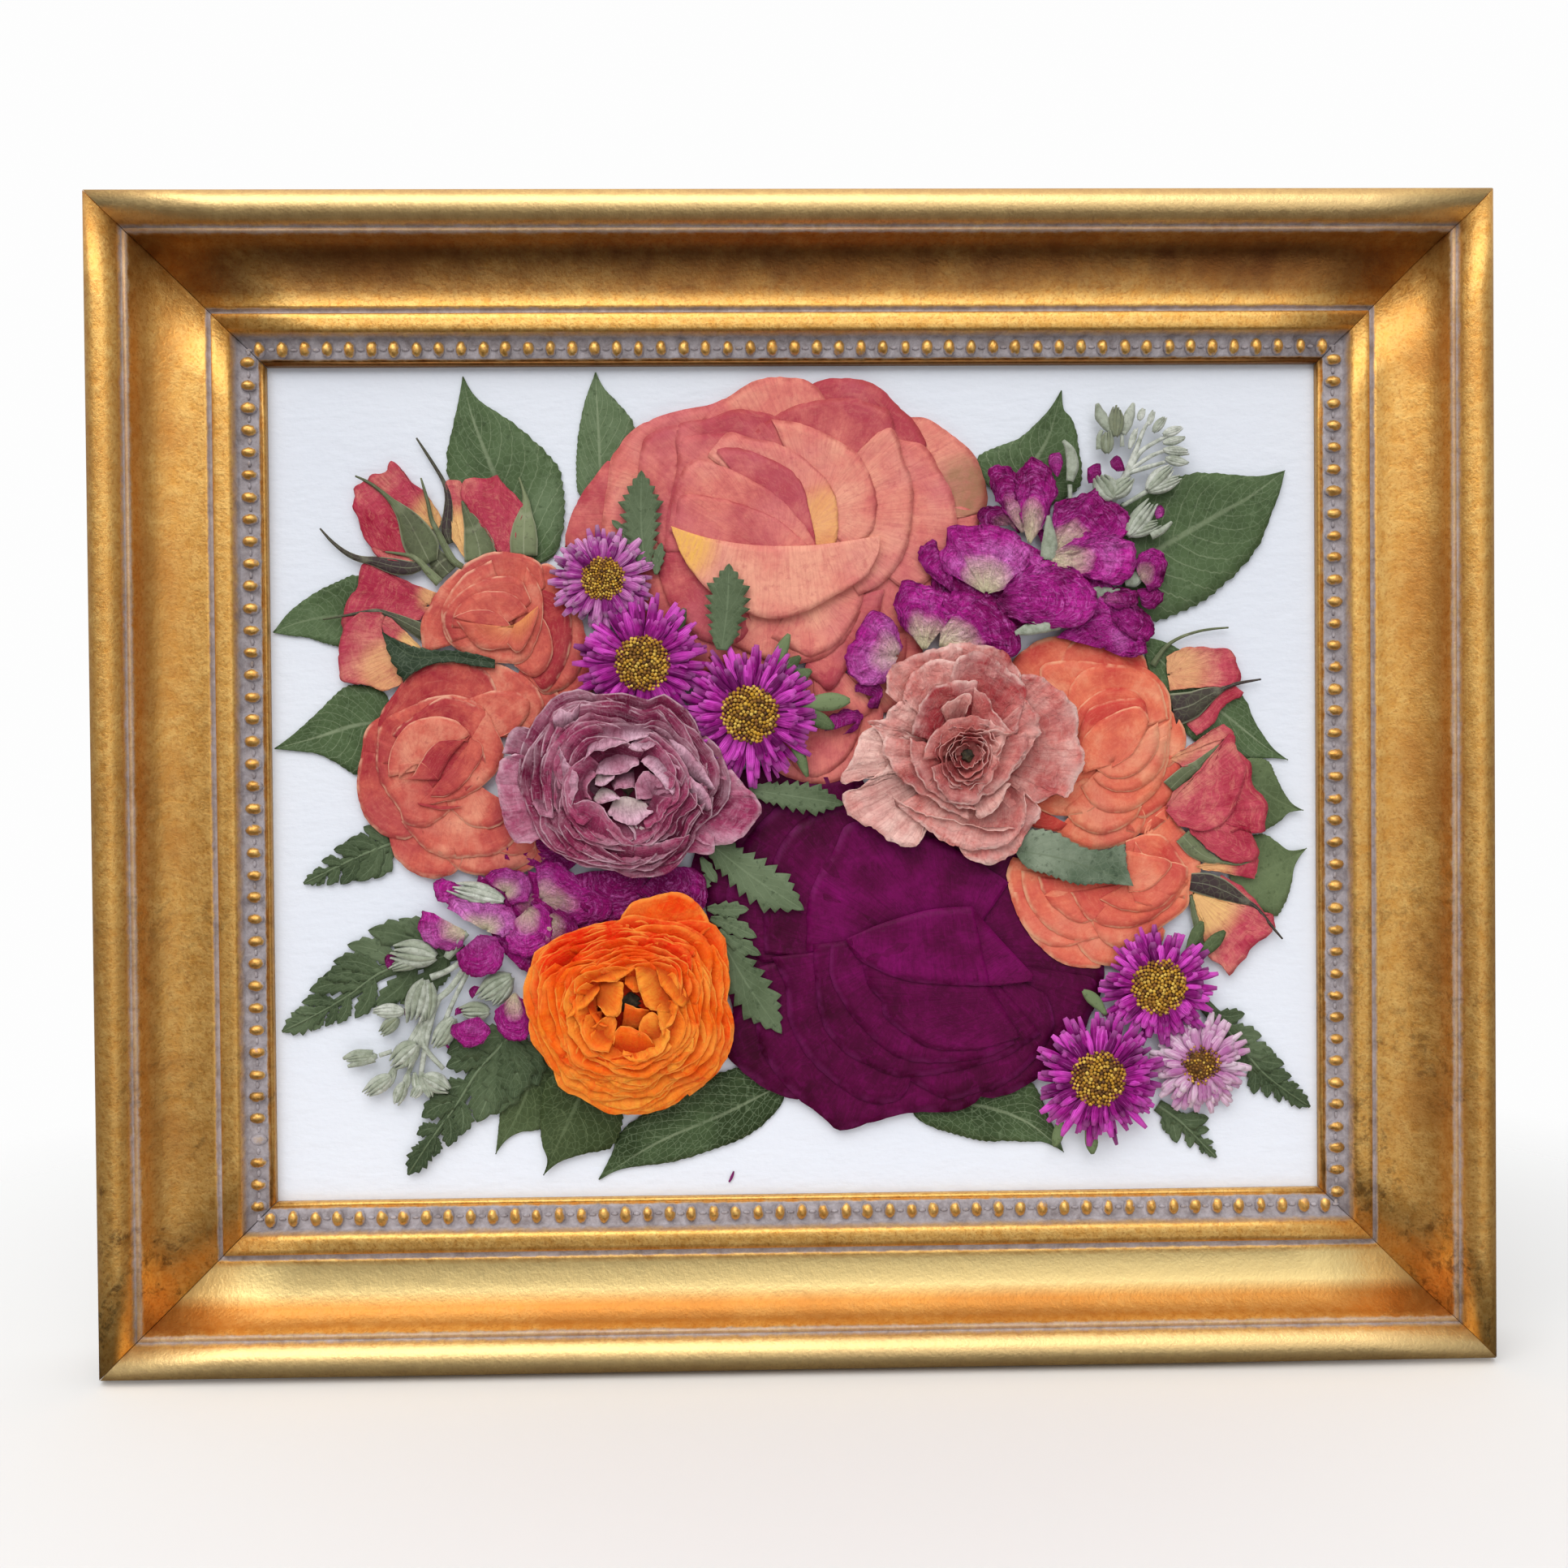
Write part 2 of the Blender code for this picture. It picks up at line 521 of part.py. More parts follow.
def build_heads():
    mauve = (-40.5, -1.0)
    spread = [(-68.5, 6), (-64, 14), (-55, 19.5), (-43, 21.5), (-30, 20), (-22, 13.5), (-16, 6),
              (-11.5, -0.5), (-9.5, -6), (-12, -12.5), (-19, -15), (-24, -19.5), (-32, -23),
              (-43, -24), (-54, -22.5), (-63, -16), (-67.5, -6)]
    layered("ranunculus_mauve", [
        (spread, 4.9, 5.5), (ruffled_ring(mauve, 19.5, 5, 0.05, 0.4), 4.95, 6.4),
        (ruffled_ring(mauve, 16, 6, 0.06, 1.7), 5.0, 7.4),
        (ruffled_ring(mauve, 11.8, 5, 0.08, 0.9), 0.3, 8.4),
        (ruffled_ring(mauve, 7.5, 4, 0.1, 2.0), 5.05, 9.2)], MAUVE)
    orange = (-41.0, -51.5)
    spread = [(-65.5, -43.5), (-62, -36), (-54, -31), (-45, -28), (-34, -25.5), (-25, -28),
              (-19, -36), (-17.5, -48), (-17, -56), (-20, -66), (-28, -73), (-37, -76),
              (-48, -75), (-57, -70), (-63, -62), (-65.5, -53)]
    layered("ranunculus_orange", [
        (spread, 3.0, 4.6), (ruffled_ring(orange, 19.5, 5, 0.05, 1.0), 1.7, 6.2),
        (ruffled_ring(orange, 16, 6, 0.06, 0.3), 3.1, 7.4),
        (ruffled_ring(orange, 12, 5, 0.08, 2.2), 3.2, 8.5),
        (ruffled_ring(orange, 7.5, 4, 0.1, 0.5), 3.3, 9.2)], ORANGE)
    pink = (39.5, 5.0)
    spread = [(11, 1), (15, 12), (21.5, 18), (24, 26), (32, 31), (45, 32), (53.5, 28), (58.5, 21.5),
              (64.5, 14), (67.5, 4.5), (64.5, -4), (56, -7), (57, -13), (49, -18), (44.5, -19.5),
              (38, -17), (28.5, -16), (19, -13.5), (11, -5)]
    layered("rose_pink_ruffled", [
        (spread, 4.4, 5.4), (ruffled_ring(pink, 18, 5, 0.08, 0.2), 2.9, 6.4),
        (ruffled_ring(pink, 13.5, 4, 0.1, 1.4), 4.5, 7.6),
        (ruffled_ring(pink, 9, 3, 0.12, 0.6), 4.6, 8.6),
        (ruffled_ring(pink, 4.5, 3, 0.1, 0.0, 8), 4.7, 9.3)], PINK)


# Each aster: centre, reach of the rays, radius of the disc, height of the rays
ASTERS = {
    "aster_left_small": ((-44.5, 47), 12.0, 4.6, 2.8),
    "aster_left": ((-35.5, 27.5), 15.5, 5.8, 3.5),
    "aster_centre": ((-11, 15.5), 16.0, 5.8, 4.2),
    "aster_right_upper": ((83.5, -48.5), 13.5, 5.8, 3.0),
    "aster_right_lower": ((69, -69.5), 15.5, 5.8, 3.8),
    "aster_pale": ((93.5, -67), 11.5, 4.8, 1.9),
}


def ray_ring(centre, reach, rays, notch=0.6):
    """Blunt rays round a flower head, with a notch between each two."""
    outline = []
    for index in range(rays):
        angle = 2 * pi * index / rays
        length = reach * (0.93 + 0.07 * cos(5 * angle))
        for offset, radius in ((-0.5, notch * reach), (-0.2, length), (0.2, length)):
            bearing = angle + offset * 2 * pi / rays
            outline.append((centre[0] + radius * cos(bearing), centre[1] + radius * sin(bearing)))
    return outline


def build_asters():
    ray_t = 0.4
    rays = 12
    for name, (centre, reach, disc, low) in ASTERS.items():
        colour = PALE_ASTER if name == "aster_pale" else MAGENTA
        dome = plate(f"{name}_disc", ruffled_ring(centre, disc, 1, 0, 0, 9), low - 0.3, low + 2.0, CUTTERS)
        for vertex in dome.data.vertices:
            if vertex.co.z > (low + 1) * MM:
                vertex.co.x = (vertex.co.x + centre[0] * MM) / 2
                vertex.co.y = (vertex.co.y + centre[1] * MM) / 2
        head = plate(name, ray_ring(centre, reach, rays), low, low + ray_t)
        boolean(head, dome, "UNION")
        finish(head, colour)


# ------------------------------------------------- rosebuds, stocks and crumbs

def oval(centre, length, width, angle, points=6):
    outline = []
    for index in range(points):
        turn = 2 * pi * index / points
        x = length / 2 * cos(turn)
        y = width / 2 * sin(turn)
        outline.append((centre[0] + x * cos(angle) - y * sin(angle),
                        centre[1] + x * sin(angle) + y * cos(angle)))
    return outline


def strip(start, end, width):
    """A straight stem as a flat four-cornered outline."""
    dx, dy = end[0] - start[0], end[1] - start[1]
    length = hypot(dx, dy)
    nx, ny = -dy / length * width / 2, dx / length * width / 2
    return [(start[0] + nx, start[1] + ny), (end[0] + nx, end[1] + ny),
            (end[0] - nx, end[1] - ny), (start[0] - nx, start[1] - ny)]


def sepal(foot, tip, width):
    """A narrow pointed green leaf of the calyx."""
    fx, fy = foot
    tx, ty = tip
    angle = atan2(ty - fy, tx - fx)
    mx, my = fx + (tx - fx) * 0.35, fy + (ty - fy) * 0.35
    nx, ny = -sin(angle) * width / 2, cos(angle) * width / 2
    return [foot, (mx + nx, my + ny), tip, (mx - nx, my - ny)]


# Each bud: outline of its petals, then the sepals as (foot, tip, width)
ROSEBUDS = {
    "rosebud_left_upper": (
        [(-102, 69), (-98.5, 71), (-93, 74.5), (-89, 71), (-83.5, 65), (-82.3, 59.5), (-82, 54),
         (-88, 54), (-96, 53.5), (-99.5, 57.5), (-102, 64.5)],
        [((-85, 55), (-98, 72), 6), ((-84, 54.5), (-112, 59), 4)]),
    "rosebud_left_tall": (
        [(-79.5, 70.5), (-71.5, 71), (-67.5, 70.5), (-62, 65), (-60, 59.5), (-61, 54), (-67, 54.5),
         (-76, 55.5), (-79, 58.5)],
        [((-72, 55.5), (-76, 68), 5), ((-62, 54.5), (-63, 73), 5)]),
    "rosebud_left_lower": (
        [(-100.5, 51.5), (-94, 49), (-88, 45), (-88.5, 37), (-94, 35.8), (-97.5, 35), (-94, 24.5),
         (-97, 23.5), (-104.5, 24), (-106, 29.5), (-104.5, 41)],
        [((-88.5, 41), (-105, 42), 4)]),
    "rosebud_right_upper": (
        [(87.5, 26.5), (91, 30.5), (101.5, 30), (104.5, 20.5), (103.5, 18.5), (96.5, 15.5),
         (92.3, 15), (91.5, 19)],
        [((91.5, 19.5), (110, 23), 5), ((88.5, 25.5), (99, 35), 3)]),
    "rosebud_right_middle": (
        [(91.5, 8), (99.5, 12), (101.5, 6.5), (106, 1.5), (109.5, -6), (109, -12), (107, -15.5),
         (107.5, -20), (104, -21.5), (97.5, -21), (94.5, -17), (90.5, -9.5), (91.5, -2)],
        [((93, -10), (105, -20), 4)]),
    "rosebud_right_lower": (
        [(94.5, -25), (98.5, -23.5), (107, -29), (111.5, -36.5), (107, -41.5), (101, -44.5),
         (98.5, -38.5), (94, -31.5)],
        [((95, -26), (114, -37.5), 5)]),
}


def build_rosebuds():
    bud_t = 1.6
    sepal_rise = 0.4
    for name, (outline, sepals) in ROSEBUDS.items():
        low = THIRD if name == "rosebud_right_middle" else SECOND
        layers = [(outline, low, low + bud_t)]
        for foot, tip, width in sepals:
            layers.append((sepal(foot, tip, width), low + GAP, low + bud_t + sepal_rise))
        layered(name, layers, BUD)


def stock(name, mass, low, petals, foot, stems, buds):
    """A stock: crumpled florets at the foot of the stem, grey buds at its tip.

    Petals and buds are (centre, length, width, angle). No two of the fused
    pieces share a height, so none of their faces lie in one plane.
    """
    step = 0.06
    pieces = [(oval(*petal), 0.9) for petal in petals]
    pieces += [(strip(foot, tip, 1.4), 0.65) for tip in stems]
    pieces += [(oval(*bud), 1.3) for bud in buds]
    layers = [(mass, low, low + 0.5)]
    for index, (outline, rise) in enumerate(pieces):
        layers.append((outline, low + 0.1 + 0.02 * index, low + rise + step * (index % 7)))
    layered(name, layers, MAGENTA)


def build_stocks():
    stock("stock_upper", [
        (46, 64.5), (48.5, 70), (56, 74), (60.5, 68), (64.5, 63.5), (69, 67.5), (77, 64.5),
        (79.5, 53), (86, 51), (85, 41.5), (83, 36), (78, 34.5), (62, 36), (53, 33), (46, 33),
        (32, 32.5), (22, 27), (18, 21), (11.5, 25), (12, 34.5), (17, 39), (23.5, 37), (25, 42),
        (30, 45.5), (28.5, 49.5), (33, 54), (39.5, 59)], 2.8,
        petals=[((54, 66), 14, 10, 1.2), ((72, 62), 14, 11, 0.3), ((46, 53), 20, 15, -0.3),
                ((66, 47), 22, 14, 0.1), ((32, 41), 18, 14, 0.4), ((16, 30), 9, 12, 0.2),
                ((81, 45), 8, 12, 0.1)],
        foot=(72, 66),
        stems=[(72, 86), (80, 86.5), (88, 81), (91.5, 73)],
        buds=[((78, 83), 10, 5, 0.9), ((87, 78), 9, 5, 0.4), ((87.5, 69), 9, 4.5, 0.5),
              ((72.5, 70), 9, 6, 1.2), ((71.5, 82), 9, 3, 1.9), ((81.5, 58.5), 9, 5, 0.7)])
    stock("stock_lower", [
        (-87.5, -29), (-86.5, -23), (-80, -22), (-69, -22.5), (-62, -25.5), (-62, -34),
        (-66, -38.5), (-66.5, -44), (-66.5, -60), (-69, -60), (-70.5, -49), (-78.5, -44),
        (-85, -38.5)], THIRD,
        petals=[((-82, -32), 12, 10, 0.9), ((-73, -27), 14, 9, 0.2), ((-71, -38), 12, 10, 0.5),
                ((-69.5, -54), 6, 11, 0.2)],
        foot=(-74, -44),
        stems=[(-98, -60), (-92, -70), (-84, -62), (-92, -52)],
        buds=[((-101, -61.5), 9, 4.5, 0.3), ((-93, -71), 12, 6, 0.3), ((-92, -52), 11, 6, 1.2),
              ((-90, -39.3), 14, 6, 0.1), ((-82, -58), 10, 5, 1.1), ((-77, -52), 9, 7, 0.9)])


def build_petal_fragment():
    """One loose scrap of an aster's ray near the sheet's lower edge."""
    outline = [(-17.5, -93), (-17.1, -91.5), (-16, -90.5), (-16.2, -92)]
    finish(plate("petal_fragment", outline, LOW, LOW + 0.2), MAGENTA)


def build():
    top_rail = build_rails()
    build_sheet_and_board()
    build_points()
    build_hanger(top_rail)
    build_leaves()
    build_fronds()
    build_coral_rose()
    build_burgundy_rose()
    build_small_roses()
    build_heads()
    build_asters()
    build_rosebuds()
    build_stocks()
    build_petal_fragment()


build()
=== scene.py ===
# %% [markdown]
# # A pressed flower frame
# Dried roses, ranunculus, asters and leaves lie on a sheet of paper in a gilt, beaded moulding.
# The real size, the wall it hangs on and the origin come with the fixed frame that is loaded here.
# The alternative is to model everything again from nothing, and then the sizes would drift apart.

# %% Load the fixed frame
import math
import random

import bmesh
import bpy
from mathutils import Matrix, Vector, noise


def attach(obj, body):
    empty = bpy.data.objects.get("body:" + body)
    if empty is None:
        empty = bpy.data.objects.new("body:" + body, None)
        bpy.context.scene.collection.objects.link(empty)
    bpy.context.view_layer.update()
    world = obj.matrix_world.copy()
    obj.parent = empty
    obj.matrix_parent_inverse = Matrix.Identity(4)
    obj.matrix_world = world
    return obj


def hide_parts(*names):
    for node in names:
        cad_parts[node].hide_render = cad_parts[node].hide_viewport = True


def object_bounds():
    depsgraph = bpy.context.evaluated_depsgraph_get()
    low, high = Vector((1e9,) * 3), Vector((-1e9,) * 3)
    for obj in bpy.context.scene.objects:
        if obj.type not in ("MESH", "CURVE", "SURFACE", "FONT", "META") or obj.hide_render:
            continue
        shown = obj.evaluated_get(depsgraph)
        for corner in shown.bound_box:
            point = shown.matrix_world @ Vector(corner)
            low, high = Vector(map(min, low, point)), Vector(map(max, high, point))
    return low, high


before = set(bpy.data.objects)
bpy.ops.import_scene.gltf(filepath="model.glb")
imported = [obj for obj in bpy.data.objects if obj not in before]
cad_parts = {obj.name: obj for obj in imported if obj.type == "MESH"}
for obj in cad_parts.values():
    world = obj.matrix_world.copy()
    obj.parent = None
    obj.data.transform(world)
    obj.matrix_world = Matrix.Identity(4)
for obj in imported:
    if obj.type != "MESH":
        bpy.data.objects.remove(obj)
cad_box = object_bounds()
print("nodes", len(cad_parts), "box", [tuple(round(c, 4) for c in corner) for corner in cad_box])

# %% [markdown]
# Flat things are easiest to draw on the sheet itself: x to the right and y up from the middle of
# the opening, and lift as the height above the paper, all in millimetres. One matrix then stands
# the finished piece upright in the room, in metres. Turning each object instead would leave
# rotations behind, which slide the patterns of its material.

# %% From the sheet to the room
MM = 0.001
PAPER_FRONT = -12.5
PICTURE_MIDDLE = -117.75
LIP_LIFT = 2.0                  # lip's front above the paper
SIGHT_W = 244.0
SIGHT_H = 193.5
RAIL_W = 37.0
STAND_UP = (Matrix.Scale(MM, 4) @ Matrix.Translation((0, PAPER_FRONT, PICTURE_MIDDLE))
            @ Matrix.Rotation(math.pi / 2, 4, "X"))
SEED = 4
rng = random.Random(SEED)
noise.seed_set(SEED)            # noise_vector would follow the clock otherwise
print("paper's middle in the room", tuple(round(c, 4) for c in STAND_UP.translation))

# %% [markdown]
# The camera stands straight in front of the picture's middle and is turned by a degree. Its place
# and its focal length are worked out from the four mitred corners. Because they are known, a
# petal can be drawn where the picture shows it: a ray through the pixel meets the sheet.

# %% Camera
PICTURE_PX = 1932
FOCAL_PX = 1860
lens = bpy.data.cameras.new("camera")
lens.sensor_width = 36
lens.lens = 36 * FOCAL_PX / PICTURE_PX
lens.clip_start = 0.01
camera = bpy.data.objects.new("camera", lens)
camera.location = (-10.13 * MM, -365.77 * MM, -114.03 * MM)
camera.rotation_euler = [math.radians(angle) for angle in (89.295, 0.5, -1.134)]
bpy.context.scene.collection.objects.link(camera)
bpy.context.scene.camera = camera
EYE = camera.location / MM
AIM = camera.rotation_euler.to_matrix()


def on_sheet(px, py, lift):
    """Where the ray through a pixel meets the level that lies lift above the paper."""
    ray = AIM @ Vector((px - PICTURE_PX / 2, PICTURE_PX / 2 - py, -FOCAL_PX))
    point = EYE + ray * ((PAPER_FRONT - lift - EYE.y) / ray.y)
    return Vector((point.x, point.z - PICTURE_MIDDLE))


print("picture's middle pixel", tuple(round(c, 2) for c in on_sheet(966, 966, 0)))

# %% [markdown]
# Outlines were drawn on nineteen enlargements of the picture. Each has a corner pixel and says how
# many of its dots make one pixel. An outline keeps only the points that its shape needs: a smooth
# curve through them gives the rest, which stays easy to correct by hand.

# %% Enlargements and smooth lines
ZOOM = 2.529
VIEWS = {"A": (80, 200, ZOOM), "B": (650, 200, ZOOM), "C": (1240, 200, ZOOM), "D": (80, 720, ZOOM),
         "E": (650, 720, ZOOM), "F": (1240, 720, ZOOM), "G": (80, 1140, ZOOM), "H": (650, 1140, ZOOM),
         "I": (1240, 1140, ZOOM), "S": (1010, 480, 3.409),
         "M": (605, 840, 4.0), "O": (630, 1090, 4.0), "P": (1030, 780, 4.0),
         "T": (535, 570, 6.0), "U": (415, 680, 6.0), "V": (1420, 775, 6.0),
         "W": (425, 560, 6.0), "X": (1435, 885, 6.0), "Y": (1455, 1065, 6.0)}
MM_PER_PX = 0.1893              # one pixel of the picture, on the flowers


def traced(view, dots, lift):
    """Points of one enlargement, laid on the sheet at a height."""
    left, top, zoom = VIEWS[view]
    return [on_sheet(left + x / zoom, top + y / zoom, lift) for x, y in dots]


def smooth(points, count, closed=False):
    """A Catmull-Rom curve through the points, cut into count even steps."""
    knots = [Vector(p) for p in points]
    last = len(knots) if closed else len(knots) - 1
    fine = []
    for index in range(last):
        a, b, c, d = [knots[(index + k) % len(knots)] if closed
                      else knots[min(max(index + k, 0), len(knots) - 1)] for k in (-1, 0, 1, 2)]
        for step in range(8):
            t = step / 8
            fine.append(0.5 * (2 * b + (c - a) * t + (2 * a - 5 * b + 4 * c - d) * t ** 2
                               + (3 * b - a - 3 * c + d) * t ** 3))
    fine.append(knots[0] if closed else knots[-1])
    lengths = [0.0]
    for a, b in zip(fine, fine[1:]):
        lengths.append(lengths[-1] + (b - a).length)
    line = []
    place = 0
    for index in range(count + 1):
        target = lengths[-1] * index / count
        while place < len(fine) - 2 and lengths[place + 1] < target:
            place += 1
        part = (target - lengths[place]) / max(lengths[place + 1] - lengths[place], 1e-9)
        line.append(fine[place].lerp(fine[place + 1], min(max(part, 0), 1)))
    return line


print("a quarter turn through 3 points:", [tuple(round(c, 2) for c in p)
                                           for p in smooth([(1, 0), (0.7, 0.7), (0, 1)], 3)])

# %% [markdown]
# Every piece ends the same way: its mesh is stood upright, gets its material, rides on the
# frame's one body and takes the place of the plain solid that holds its room. A thin sheet gets
# its thickness from a Solidify modifier, which keeps the drawing of the sheet simple. Petals,
# leaves and rays all start as the same grid, and differ in how they place its points.

# %% Finishing a piece
def new_sheet_mesh():
    bm = bmesh.new()
    bm.loops.layers.uv.new("UVMap")
    for name in ("tone", "gold", "stain_and_painted_light"):
        bm.verts.layers.float.new(name)
    return bm


def new_grid(bm, columns, rows, unroll):
    """A grid whose u and v run from 0 to 1; unroll turns them into the place on the UV map."""
    uv = bm.loops.layers.uv["UVMap"]
    grid = bmesh.ops.create_grid(bm, x_segments=columns, y_segments=rows, size=1.0)["verts"]
    for face in {face for vert in grid for face in vert.link_faces}:
        for loop in face.loops:
            loop[uv].uv = unroll((loop.vert.co.x + 1) / 2, (loop.vert.co.y + 1) / 2)
    return grid


def set_part(bm, first, index):
    """All faces from number first on get the piece's material with this index."""
    bm.faces.ensure_lookup_table()
    for face in bm.faces[first:]:
        face.material_index = index


def finish_piece(name, bm, materials, nodes, thickness=0.0):
    bmesh.ops.transform(bm, matrix=STAND_UP, verts=bm.verts)
    mesh = bpy.data.meshes.new(name)
    bm.to_mesh(mesh)
    bm.free()
    for material in materials if isinstance(materials, (list, tuple)) else [materials]:
        mesh.materials.append(material)
    mesh.shade_smooth()
    piece = bpy.data.objects.new(name, mesh)
    bpy.context.scene.collection.objects.link(piece)
    if thickness:
        wall = piece.modifiers.new("thickness", "SOLIDIFY")
        wall.thickness = thickness * MM
        wall.offset = -1
        wall.use_rim = True
    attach(piece, "root")
    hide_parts(*nodes)
    print(f"{name}: {len(mesh.polygons)} faces")
    return piece

# %% [markdown]
# A dried, gilded or papery surface is a few layers of the same kind: a colour that changes along
# some coordinate, noise that mottles it, and a bump. A small helper that adds a node and joins
# its inputs keeps every material short and readable, where the node editor would show wires.

# %% Node helpers
class Surface:
    """A material with its Principled shader, built one node at a time."""

    def __init__(self, name, roughness=0.7, metallic=0.0):
        self.material = bpy.data.materials.new(name)
        self.material.use_nodes = True
        self.tree = self.material.node_tree
        self.shader = self.tree.nodes["Principled BSDF"]
        self.shader.inputs["Roughness"].default_value = roughness
        self.shader.inputs["Metallic"].default_value = metallic

    def add(self, kind, settings=None, **inputs):
        node = self.tree.nodes.new("ShaderNode" + kind)
        for key, value in (settings or {}).items():
            setattr(node, key, value)
        for key, value in inputs.items():
            socket = node.inputs[int(key[1:])] if key[0] == "n" and key[1:].isdigit() else node.inputs[key]
            self.feed(socket, value)
        return node

    def feed(self, socket, value):
        if isinstance(value, bpy.types.NodeSocket):
            self.tree.links.new(value, socket)
        elif isinstance(value, tuple) and len(value) == 3 and socket.type == "RGBA":
            socket.default_value = (*value, 1)
        else:
            socket.default_value = value

    def place(self):
        return self.add("TexCoord").outputs["Object"]

    def unrolled(self):
        return self.add("UVMap", {"uv_map": "UVMap"}).outputs[0]

    def across(self, name):
        """One axis of the piece's own UV map, or one of its painted values."""
        if name in ("u", "v"):
            split = self.add("SeparateXYZ", n0=self.unrolled())
            return split.outputs["uv".index(name)]
        return self.add("Attribute", {"attribute_name": name}).outputs["Fac"]

    def noise(self, where, scale, detail=4.0, roughness=0.55, distortion=0.0):
        return self.add("TexNoise", Vector=where, Scale=scale, Detail=detail, Roughness=roughness,
                        Distortion=distortion).outputs["Fac"]

    def stretched(self, where, size, turn=0.0):
        return self.add("Mapping", Vector=where, Scale=size, Rotation=(0, 0, turn)).outputs[0]

    def ramp(self, value, *stops):
        """Stops are (position, colour) or (position, grey)."""
        node = self.add("ValToRGB", Fac=value)
        elements = node.color_ramp.elements
        while len(elements) < len(stops):
            elements.new(0.5)
        for element, (position, colour) in zip(elements, stops):
            element.position = position
            element.color = (*colour, 1) if isinstance(colour, tuple) else (colour, colour, colour, 1)
        return node.outputs[0]

    def mix(self, amount, under, over):
        node = self.add("Mix", {"data_type": "RGBA"})
        self.feed(node.inputs[0], amount)
        self.feed(node.inputs[6], under)
        self.feed(node.inputs[7], over)
        return node.outputs[2]

    def math(self, operation, a, b=0.0, clamp=False):
        node = self.add("Math", {"operation": operation, "use_clamp": clamp})
        self.feed(node.inputs[0], a)
        self.feed(node.inputs[1], b)
        return node.outputs[0]

    def plus(self, a, b):
        return self.math("ADD", a, b)

    def less(self, a, b):
        return self.math("SUBTRACT", a, b)

    def times(self, a, b, clamp=False):
        return self.math("MULTIPLY", a, b, clamp)

    def rescaled(self, value, **ends):
        """n1 to n2 becomes n3 to n4; each pair is 0 to 1 unless it is given."""
        return self.add("MapRange", Value=value, **ends).outputs[0]

    def colour(self, socket):
        self.feed(self.shader.inputs["Base Color"], socket)

    def bump(self, height, strength, distance):
        """distance is in millimetres."""
        node = self.add("Bump", Strength=strength, Distance=distance * MM, Height=height)
        if self.shader.inputs["Normal"].is_linked:
            self.feed(node.inputs["Normal"], self.shader.inputs["Normal"].links[0].from_socket)
        self.feed(self.shader.inputs["Normal"], node.outputs[0])


print("shader sockets:", len(Surface("trial").shader.inputs))
bpy.data.materials.remove(bpy.data.materials["trial"])

# %% [markdown]
# ## The gilt moulding
# The moulding is milled pine under clay and gold leaf. Its section has soft hollows and rolls with
# crisp arrises between them. The section could be swept along a path, but then its four corners
# could not be parted. So each length is one outline, extruded along X and cut to the mitre by
# moving its end points out as far as the section reaches.

# %% The section
SECTION = [   # smooth stretches, as (out from the sight edge, height over the lip's front)
    [(0.0, 0.0), (0.35, 0.32), (0.8, 0.3), (1.0, 0.05)],
    [(1.0, 0.05), (1.15, 0.75), (1.6, 1.0), (3.3, 1.15), (5.2, 1.25), (5.7, 1.4)],
    [(5.7, 1.4), (6.15, 2.6), (6.6, 3.9)],
    [(6.6, 3.9), (6.9, 4.2), (8.8, 4.25), (10.6, 4.2)],
    [(10.6, 4.2), (11.0, 3.7), (11.1, 2.9)],
    [(11.1, 2.9), (11.5, 2.6), (12.0, 2.65), (12.3, 3.15)],
    [(12.3, 3.15), (15.5, 3.0), (19.5, 3.55), (23.2, 5.05), (25.6, 7.4), (26.8, 10.3)],
    [(26.8, 10.3), (27.2, 10.85), (27.8, 10.75), (28.2, 10.4)],
    [(28.2, 10.4), (29.0, 12.0), (30.6, 13.35), (32.4, 13.8), (34.4, 13.3), (36.2, 11.4), (RAIL_W, 8.6)],
]
RAIL_BACK = -12.0
RABBET = -1.7
RABBET_W = 5.5
BACK = [(RAIL_W, RAIL_BACK), (RABBET_W, RAIL_BACK), (RABBET_W, RABBET), (0.0, RABBET)]


def section_line():
    line = []
    for stretch in SECTION:
        steps = 4 if len(stretch) < 5 else 5 * (len(stretch) - 1)
        line += smooth(stretch, steps)[:-1]
    return line + [Vector(p) for p in (SECTION[-1][-1], *BACK)]


outline = section_line()
print("section has", len(outline), "points, widest", max(p.x for p in outline), "mm")

# %% [markdown]
# The beads stand in a row on the strip next to the sight edge. On the real moulding they are
# pressed in compo: domes with a rubbed golden top, joined by a low waist, no two quite alike.
# An array would repeat one bead exactly, so a loop sets a small sphere for each and lets it
# wander a little in size and place. One bead near the foot of the left side has broken away.

# %% Beads
BEAD_PITCH = 5.11
BEAD_LINE = 3.35
BEAD_R = 1.72
BEAD_RISE = 1.55
BEAD_SEAT = 1.2
BEADS = {"top": 49, "left": 39, "bottom": 49, "right": 39}
LOST_BEAD = ("left", 3)


